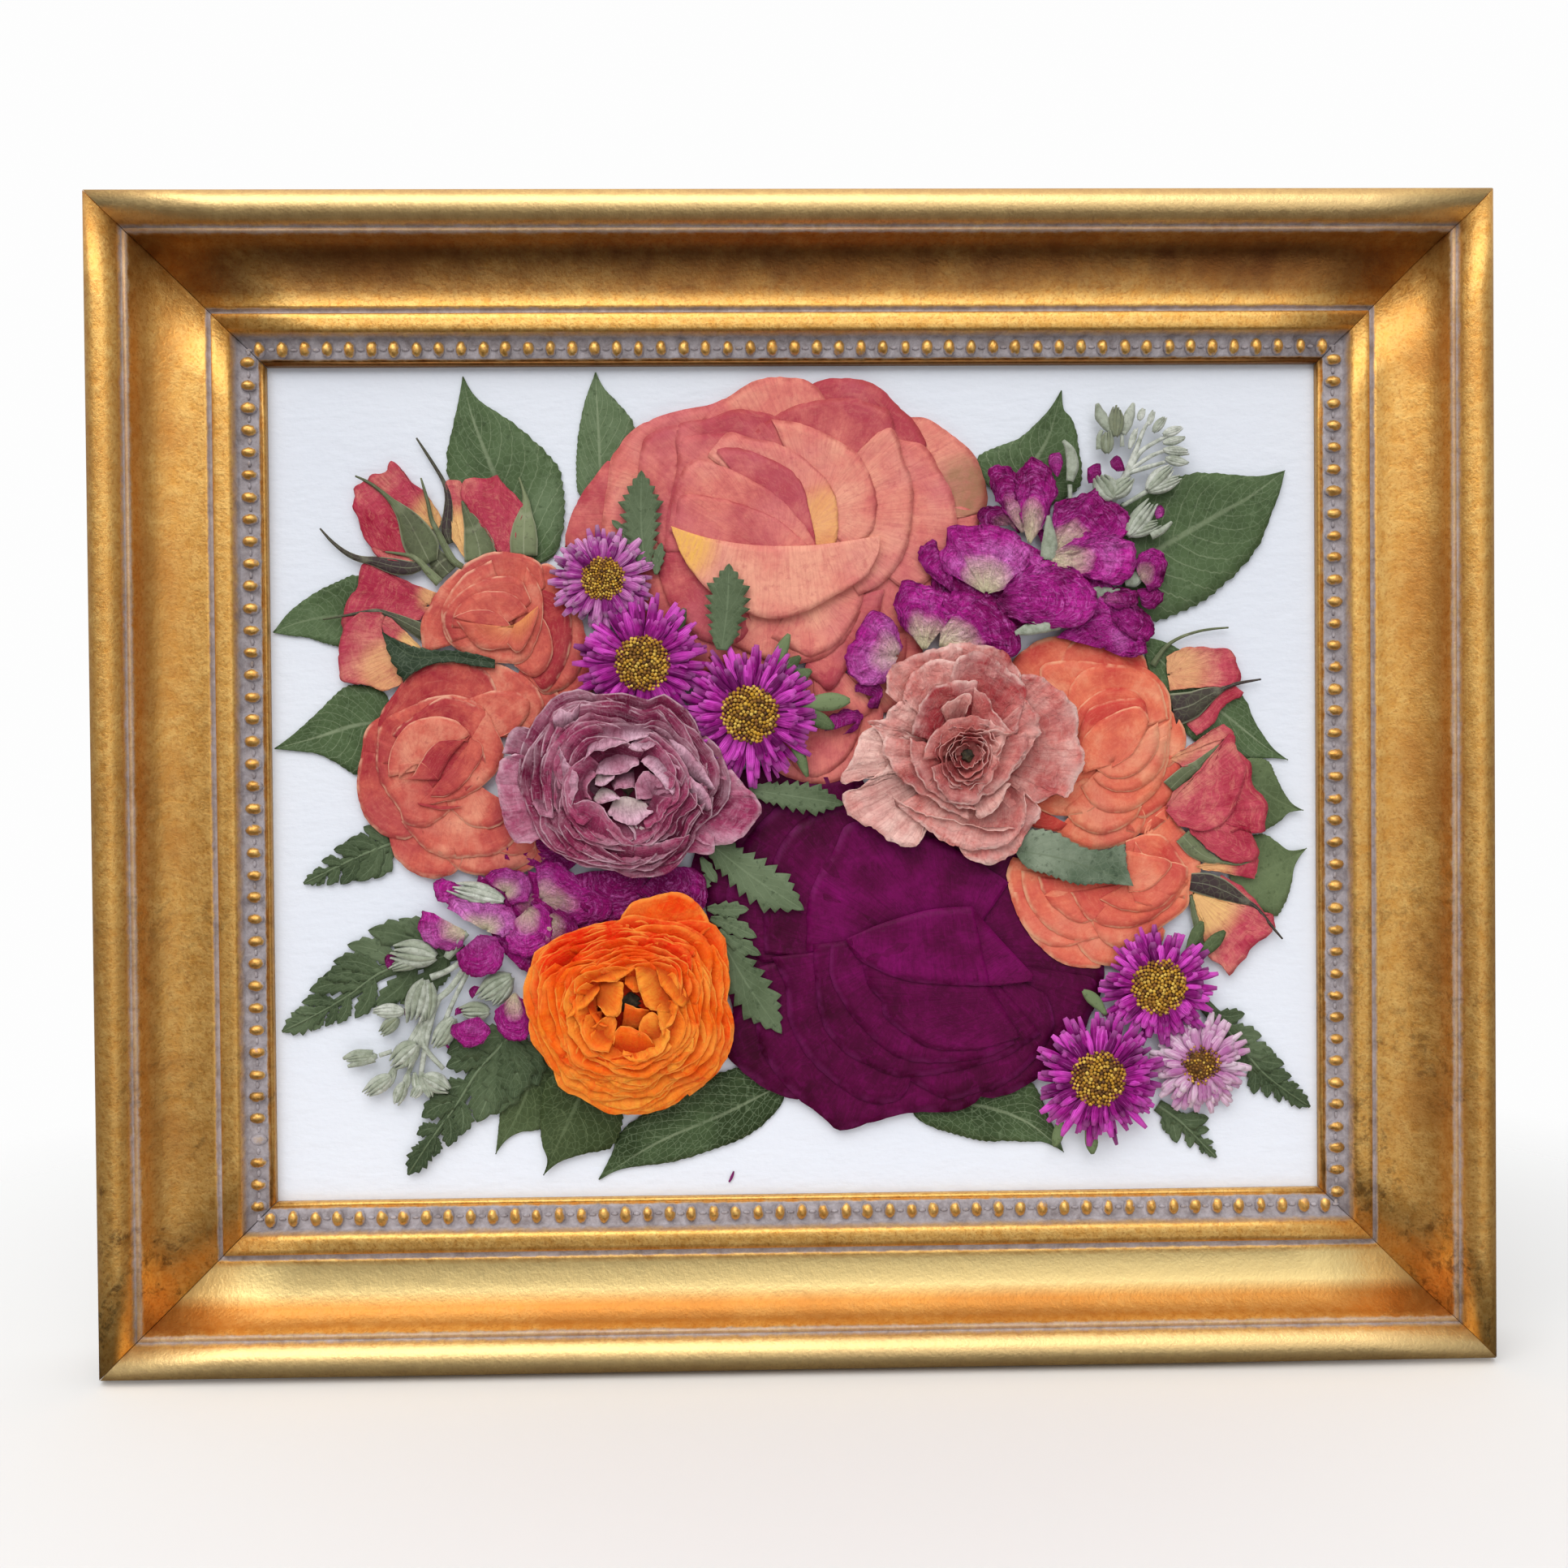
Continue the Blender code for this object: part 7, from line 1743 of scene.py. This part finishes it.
# %% Upper spray
spray("stock_spray_upper", "stock_upper", "S", petals=[
    ((700, 560), [(560, 740), (470, 800), (500, 960), (680, 1010), (880, 990), (1000, 900), (1080, 760)], 2.3, 0.1,
     0.0),
    ((900, 560), [(1080, 720), (1180, 800), (1290, 880), (1380, 960), (1330, 1060), (1200, 1060), (1060, 1000)], 2.3,
     0.2, 0.0),
    ((800, 570), [(672, 580), (665, 515), (740, 492), (820, 500), (864, 560), (840, 600)], 2.9, 0.15, 0.2),
    ((855, 610), [(748, 485), (714, 400), (718, 328), (790, 322), (835, 352), (880, 420)], 3.1, 0.45, 0.5),
    ((880, 655), [(818, 470), (826, 365), (888, 288), (940, 313), (978, 360), (992, 430), (968, 520)], 3.4, 0.35,
     1.0),
    ((950, 715), [(1000, 530), (985, 482), (1040, 462), (1110, 440), (1172, 408), (1212, 452), (1292, 520),
     (1295, 590), (1240, 640)], 3.3, 0.2, 1.0),
    ((930, 722), [(1110, 600), (1240, 612), (1318, 648), (1325, 735), (1285, 808), (1205, 818), (1110, 775)], 3.7,
     0.5, 0.9),
    ((1190, 1090), [(990, 1040), (1080, 980), (1190, 950), (1280, 985), (1345, 1040), (1372, 1100), (1300, 1130)],
     2.9, 0.45, 0.0),
    ((1220, 900), [(1232, 985), (1330, 1062), (1388, 1050), (1405, 1000), (1385, 950), (1320, 895)], 3.1, 0.1, 0.0),
    ((1180, 880), [(1190, 860), (1262, 830), (1328, 852), (1332, 905), (1240, 925)], 3.3, 0.1, 0.1),
    ((1330, 840), [(1350, 910), (1385, 928), (1425, 905), (1445, 855), (1390, 830)], 3.1, 0.35, 0.0),
    ((1340, 790), [(1318, 730), (1340, 690), (1385, 670), (1438, 692), (1455, 750), (1435, 820), (1385, 850)], 3.3,
     0.45, 0.4),
    ((560, 855), [(468, 790), (410, 692), (438, 648), (486, 628), (492, 690), (560, 760)], 3.4, 0.35, 0.0),
    ((700, 860), [(520, 770), (495, 700), (536, 640), (534, 575), (620, 574), (720, 570), (810, 600), (880, 670),
     (900, 750), (820, 830)], 3.7, 0.62, 1.0),
    ((800, 880), [(890, 760), (890, 690), (960, 720), (1060, 745), (1110, 800)], 3.6, 0.5, 0.0),
    ((760, 870), [(800, 800), (880, 745), (975, 742), (1080, 770), (1155, 850), (1162, 920), (1095, 990), (980, 1004),
     (830, 970), (720, 900)], 4.1, 0.3, 0.0),
    ((220, 1290), [(150, 1270), (155, 1230), (230, 1225), (262, 1260), (240, 1340), (190, 1330)], 2.7, 0.1, 0.0),
    ((150, 1400), [(20, 1440), (40, 1380), (110, 1345), (175, 1360), (160, 1420), (100, 1455)], 2.7, 0.35, 0.0),
    ((330, 1120), [(345, 1080), (320, 990), (255, 930), (198, 940), (150, 1030), (105, 1120), (125, 1200),
     (200, 1245), (282, 1232)], 3.2, 0.75, 0.5),
    ((440, 1100), [(340, 985), (318, 940), (322, 860), (358, 800), (440, 822), (530, 850), (600, 900)], 3.5, 0.35,
     0.9),
    ((500, 1090), [(520, 880), (580, 845), (650, 855), (740, 900), (800, 965), (842, 1050), (835, 1105), (780, 1130),
     (660, 1110)], 3.9, 0.42, 0.8),
], tips=[
    ((1000, 370), [(955, 320), (944, 280), (956, 240), (1012, 230), (1030, 290)], 3.6, 0.6),
    ((1160, 390), [(1120, 400), (1108, 350), (1120, 305), (1180, 290), (1192, 340)], 3.6, 0.5),
    ((1250, 345), [(1215, 320), (1208, 285), (1245, 252), (1278, 285), (1288, 340)], 3.9, 0.3),
    ((1405, 520), [(1412, 490), (1440, 475), (1458, 505), (1448, 545), (1415, 552)], 3.7, 0.6),
], sepals=[
    ([(820, 1025), (900, 1002), (1012, 1000)], [8, 27, 22, 6], 4.3, 0.55),
    ([(955, 715), (965, 640), (960, 530)], [30, 34, 22, 5], 4.0, 0.45),
    ([(1140, 855), (1190, 850), (1260, 840)], [20, 26, 12, 4], 2.9, 0.6),
    ([(1280, 810), (1330, 790), (1355, 745)], [16, 34, 22, 6], 2.9, 0.6),
    ([(1050, 385), (1062, 320), (1050, 255), (1022, 214)], [14, 26, 22, 5], 3.9, 0.55),
    ([(1165, 60), (1185, 120), (1240, 190)], [6, 26, 22, 10], 3.2, 0.55),
    ([(1318, 58), (1300, 110), (1275, 190)], [5, 22, 24, 10], 3.3, 0.7),
    ([(1180, 250), (1175, 200), (1185, 172)], [20, 14, 5], 3.4, 0.5),
    ([(1390, 615), (1440, 590), (1478, 556)], [16, 14, 4], 3.6, 0.6),
], stems=[
    ([(1050, 400), (1052, 460)], [8, 8], 3.0, 0.6),
    ([(1270, 240), (1268, 190)], [8, 7], 3.0, 0.8),
    ([(1230, 470), (1310, 300), (1360, 170), (1400, 110)], [15, 12, 9, 4], 3.0, 0.95),
    ([(1290, 370), (1340, 270), (1420, 215), (1500, 180)], [9, 9, 7, 4], 3.1, 0.95),
    ([(1300, 340), (1400, 275), (1500, 245)], [7, 7, 4], 3.2, 0.95),
    ([(1300, 350), (1380, 325), (1450, 305)], [8, 9, 5], 3.2, 0.95),
    ([(1270, 490), (1320, 460), (1378, 425)], [7, 8, 9], 3.0, 0.7),
], buds=[
    ((1240, 200), (1248, 70), 40, 3.2, 0.15), ((1205, 270), (1205, 172), 34, 3.3, 0.1),
    ((1230, 462), (1165, 360), 62, 2.9, 0.5), ((1220, 452), (1312, 372), 46, 3.2, 0.6),
    ((1372, 425), (1480, 320), 46, 2.9, 0.75), ((1380, 430), (1520, 372), 34, 3.0, 0.65),
    ((1290, 618), (1398, 470), 50, 2.9, 0.6), ((1290, 612), (1430, 560), 34, 3.0, 0.5),
    ((1340, 130), (1360, 78), 17, 3.1, 0.9), ((1380, 150), (1402, 88), 15, 3.1, 0.95),
    ((1400, 180), (1452, 112), 22, 3.2, 0.9), ((1440, 190), (1522, 160), 22, 3.2, 0.95),
    ((1440, 225), (1535, 205), 20, 3.2, 0.9), ((1440, 255), (1552, 262), 24, 3.2, 0.95),
    ((1450, 290), (1550, 312), 24, 3.3, 0.8), ((1300, 250), (1330, 160), 15, 3.1, 0.9),
])

# %% [markdown]
# The lower spray lies flatter and partly under the pink and mauve heads. Each of its petals is
# put a step over the last one, and its thin stems fan out to the lower left.

# %% Lower spray
spray("stock_spray_lower", "stock_lower", "D", step=0.11, crumple=0.8, petals=[
    ((1560, 900), [(1370, 860), (1390, 800), (1460, 775), (1560, 785), (1640, 830)], 1.3, 0.0, 0.0),
    ((1560, 1000), [(1290, 905), (1280, 960), (1310, 1040), (1350, 1120), (1430, 1200), (1520, 1200), (1590, 1130)],
     1.75, 0.15, 0.3),
    ((1700, 960), [(1440, 890), (1450, 990), (1500, 1090), (1580, 1140), (1680, 1110), (1760, 1040)], 1.5, 0.0, 0.0),
    ((1750, 880), [(1590, 900), (1600, 990), (1660, 1035), (1750, 1045), (1830, 1000), (1850, 930)], 1.6, -0.2, 0.0),
    ((1860, 880), [(1780, 960), (1840, 1010), (1920, 1045), (1990, 1010), (1998, 930), (1960, 880)], 2.0, -0.2, 0.0),
    ((1480, 980), [(1470, 880), (1520, 860), (1620, 930), (1700, 990), (1690, 1040), (1600, 1060)], 1.9, 0.3, 0.4),
    ((1300, 960), [(1190, 960), (1180, 920), (1150, 935), (1165, 985), (1240, 1000)], 2.0, 0.5, 0.0),
    ((1250, 1080), [(1120, 1010), (1105, 1060), (1120, 1110), (1180, 1140), (1240, 1130)], 2.0, 0.75, 0.9),
    ((1370, 960), [(1310, 920), (1330, 890), (1390, 885), (1450, 920), (1440, 985), (1390, 1000)], 2.1, 0.6, 0.6),
    ((1310, 1080), [(1190, 1010), (1210, 980), (1290, 990), (1380, 1000), (1410, 1050), (1370, 1100)], 2.5, 0.8, 1.0),
    ((1440, 1010), [(1370, 1080), (1390, 1140), (1450, 1160), (1510, 1120), (1520, 1040), (1480, 990)], 2.4, 0.4,
     0.5),
    ((1290, 1090), [(1225, 1150), (1235, 1200), (1290, 1222), (1350, 1200), (1372, 1140), (1340, 1095)], 2.6, 0.5,
     0.0),
    ((1500, 1040), [(1500, 1160), (1560, 1150), (1600, 1100), (1590, 1040), (1540, 1010)], 2.3, 0.1, 0.5),
    ((1400, 1270), [(1345, 1330), (1350, 1390), (1390, 1422), (1440, 1410), (1450, 1350), (1430, 1290)], 2.3, 0.4,
     0.7),
    ((1290, 1345), [(1210, 1370), (1210, 1410), (1265, 1440), (1310, 1420), (1330, 1390)], 2.5, 0.25, 0.0),
], tips=[
    ((1030, 1170), [(1000, 1215), (985, 1175), (1000, 1148), (1035, 1150)], 2.4, 0.25),
    ((1300, 1260), [(1258, 1300), (1245, 1275), (1265, 1250), (1305, 1255)], 2.6, 0.35),
    ((1070, 1320), [(1058, 1352), (1055, 1320), (1075, 1310)], 2.3, 0.3),
    ((1100, 1345), [(1085, 1358), (1092, 1340), (1112, 1350)], 2.4, 0.3),
    ((1180, 1430), [(1140, 1442), (1150, 1430), (1205, 1440), (1200, 1452)], 2.3, 0.2),
    ((1250, 1330), [(1205, 1350), (1205, 1320), (1222, 1310)], 2.5, 0.3),
], sepals=[
    ([(1190, 1165), (1225, 1110), (1255, 1085)], [10, 22, 8], 2.5, 0.45),
    ([(965, 1475), (920, 1490), (882, 1502)], [14, 12, 4], 2.4, 0.6),
    ([(960, 1465), (905, 1462), (868, 1478)], [14, 12, 4], 2.3, 0.5),
], stems=[
    ([(1230, 1180), (1190, 1205), (1140, 1225)], [8, 8, 10], 1.9, 0.75),
    ([(1250, 1190), (1200, 1260), (1150, 1300)], [9, 9, 9], 2.0, 0.7),
    ([(1260, 1200), (1215, 1290), (1185, 1360)], [7, 6, 7], 2.1, 0.8),
    ([(1160, 1290), (1110, 1400), (1060, 1470)], [14, 12, 8], 1.9, 0.75),
    ([(1130, 1350), (1115, 1430), (1180, 1510)], [10, 8, 6], 2.0, 0.7),
    ([(1160, 1290), (1090, 1400), (1020, 1530)], [10, 8, 6], 1.8, 0.75),
    ([(1150, 1310), (1110, 1420), (1060, 1550)], [10, 8, 6], 1.9, 0.65),
    ([(1150, 1320), (1125, 1430), (1105, 1560)], [10, 8, 6], 1.8, 0.8),
    ([(1020, 1455), (980, 1468)], [6, 6], 1.9, 0.8),
], buds=[
    ((1370, 985), (1195, 940), 42, 2.2, 0.75), ((1030, 1500), (1005, 1574), 15, 1.8, 0.6),
    ((1070, 1520), (1062, 1574), 14, 1.8, 0.7), ((1090, 1520), (1098, 1585), 14, 1.8, 0.6),
    ((1160, 1160), (1020, 1140), 52, 1.8, 0.6), ((1150, 1140), (1010, 1200), 34, 1.9, 0.5),
    ((1125, 1230), (1085, 1370), 50, 1.8, 0.65), ((1140, 1240), (1130, 1360), 30, 2.1, 0.5),
    ((1060, 1330), (962, 1330), 28, 1.8, 0.75), ((1040, 1350), (985, 1400), 26, 1.7, 0.2),
    ((1215, 1350), (1150, 1450), 38, 1.8, 0.6), ((1395, 1220), (1290, 1290), 48, 1.9, 0.6),
    ((1390, 1230), (1330, 1310), 34, 2.1, 0.5), ((1325, 1330), (1230, 1330), 36, 1.9, 0.5),
    ((1100, 1430), (1020, 1500), 44, 1.8, 0.65), ((1080, 1430), (1060, 1510), 30, 2.1, 0.5),
    ((975, 1470), (872, 1480), 24, 1.8, 0.6), ((1020, 1530), (935, 1590), 32, 1.8, 0.7),
    ((1060, 1550), (1030, 1620), 24, 1.8, 0.6), ((1110, 1560), (1085, 1600), 20, 1.8, 0.65),
    ((1120, 1530), (1200, 1575), 36, 1.8, 0.7), ((1110, 1520), (1140, 1600), 20, 1.9, 0.6),
])

# %% [markdown]
# One scrap of a ray fell beside the bottom leaf and was kept.

# %% Loose scrap
bm = new_sheet_mesh()
strap(bm, traced("H", [(628, 800), (636, 785), (643, 766)], 0.3), [0.15, 0.34, 0.1], 0.32, tone=0.5, columns=2,
      rows=5, crown=0.1)
finish_piece("loose_ray", bm, magenta.material, ["petal_fragment"], thickness=0.1)

# %% [markdown]
# ## The room
# A pale floor lies under the frame's lower edge, and the frame is held up by its hanger. A large
# soft lamp stands above and a little to the left, so every petal drops a thin shadow to the lower
# right. A gilt hollow shows what it faces: the surroundings are pale above and dim below, so the
# lower rail shines and the upper rail's hollow goes brown. The gilt's painted highlights on the
# lower rail and painted shade in the upper rail's hollow add to this.

# %% Floor
FLOOR_SIZE = 4.0
FLOOR_GAP = 0.0005
floor_mesh = bmesh.new()
bmesh.ops.create_grid(floor_mesh, x_segments=1, y_segments=1, size=FLOOR_SIZE)
bmesh.ops.translate(floor_mesh, vec=(0, 0, cad_box[0][2] - FLOOR_GAP), verts=floor_mesh.verts)
floor_data = bpy.data.meshes.new("floor")
floor_mesh.to_mesh(floor_data)
floor_mesh.free()
floor_paint = Surface("pale_floor", 0.9)
floor_paint.colour((0.90, 0.90, 0.90))
away = floor_paint.add("VectorMath", {"operation": "LENGTH"}, n0=floor_paint.place()).outputs["Value"]
floor_paint.feed(floor_paint.shader.inputs["Alpha"], floor_paint.ramp(away, (0.27, 1.0), (0.44, 0.0)))
floor_data.materials.append(floor_paint.material)
floor = bpy.data.objects.new("floor", floor_data)
bpy.context.scene.collection.objects.link(floor)
floor.visible_glossy = False
print("floor at", round(cad_box[0][2] - FLOOR_GAP, 4))

# %% [markdown]
# Area lamps give soft shadows; a point lamp would cut them hard. The camera itself sees a plain
# near-white backdrop, while the gilt reflects a sky that goes from dark below to bright above.

# %% Lamps and surroundings
def lamp(name, place, target, size, watts, colour=(1, 1, 1)):
    light = bpy.data.lights.new(name, "AREA")
    light.shape = "RECTANGLE"
    light.size, light.size_y = size
    light.energy = watts
    light.color = colour
    stand = bpy.data.objects.new(name, light)
    stand.location = place
    stand.rotation_euler = (Vector(target) - Vector(place)).to_track_quat("-Z", "Y").to_euler()
    bpy.context.scene.collection.objects.link(stand)


MIDDLE = (0, 0, PICTURE_MIDDLE * MM)
lamp("window", (-0.45, -1.35, 1.2), MIDDLE, (2.4, 1.5), 29, (1.0, 0.99, 0.97))
lamp("fill", (0.5, -1.4, -0.2), MIDDLE, (1.2, 1.2), 3.2, (0.95, 0.97, 1.0))

room = bpy.data.worlds.new("room")
bpy.context.scene.world = room
room.use_nodes = True
tree = room.node_tree
shade = tree.nodes["Background"]
shade.inputs["Strength"].default_value = 0.82
direction = tree.nodes.new("ShaderNodeTexCoord").outputs["Generated"]
split = tree.nodes.new("ShaderNodeSeparateXYZ")
tree.links.new(direction, split.inputs[0])
spread = tree.nodes.new("ShaderNodeMapRange")
spread.inputs[1].default_value = -1
tree.links.new(split.outputs["Z"], spread.inputs[0])
sky = tree.nodes.new("ShaderNodeValToRGB")
for element, (position, grey) in zip((sky.color_ramp.elements[0], sky.color_ramp.elements[1],
                                      sky.color_ramp.elements.new(0.5)),
                                     ((0.25, 0.05), (0.85, 1.3), (0.5, 0.36))):
    element.position = position
    element.color = (grey, grey, grey, 1)
tree.links.new(spread.outputs[0], sky.inputs[0])
tree.links.new(sky.outputs[0], shade.inputs[0])
backdrop = tree.nodes.new("ShaderNodeBackground")
backdrop.inputs[0].default_value = (0.985, 0.985, 0.985, 1)
choose = tree.nodes.new("ShaderNodeMixShader")
tree.links.new(tree.nodes.new("ShaderNodeLightPath").outputs["Is Camera Ray"], choose.inputs[0])
tree.links.new(shade.outputs[0], choose.inputs[1])
tree.links.new(backdrop.outputs[0], choose.inputs[2])
tree.links.new(choose.outputs[0], tree.nodes["World Output"].inputs[0])
bpy.context.scene.view_settings.view_transform = "Standard"
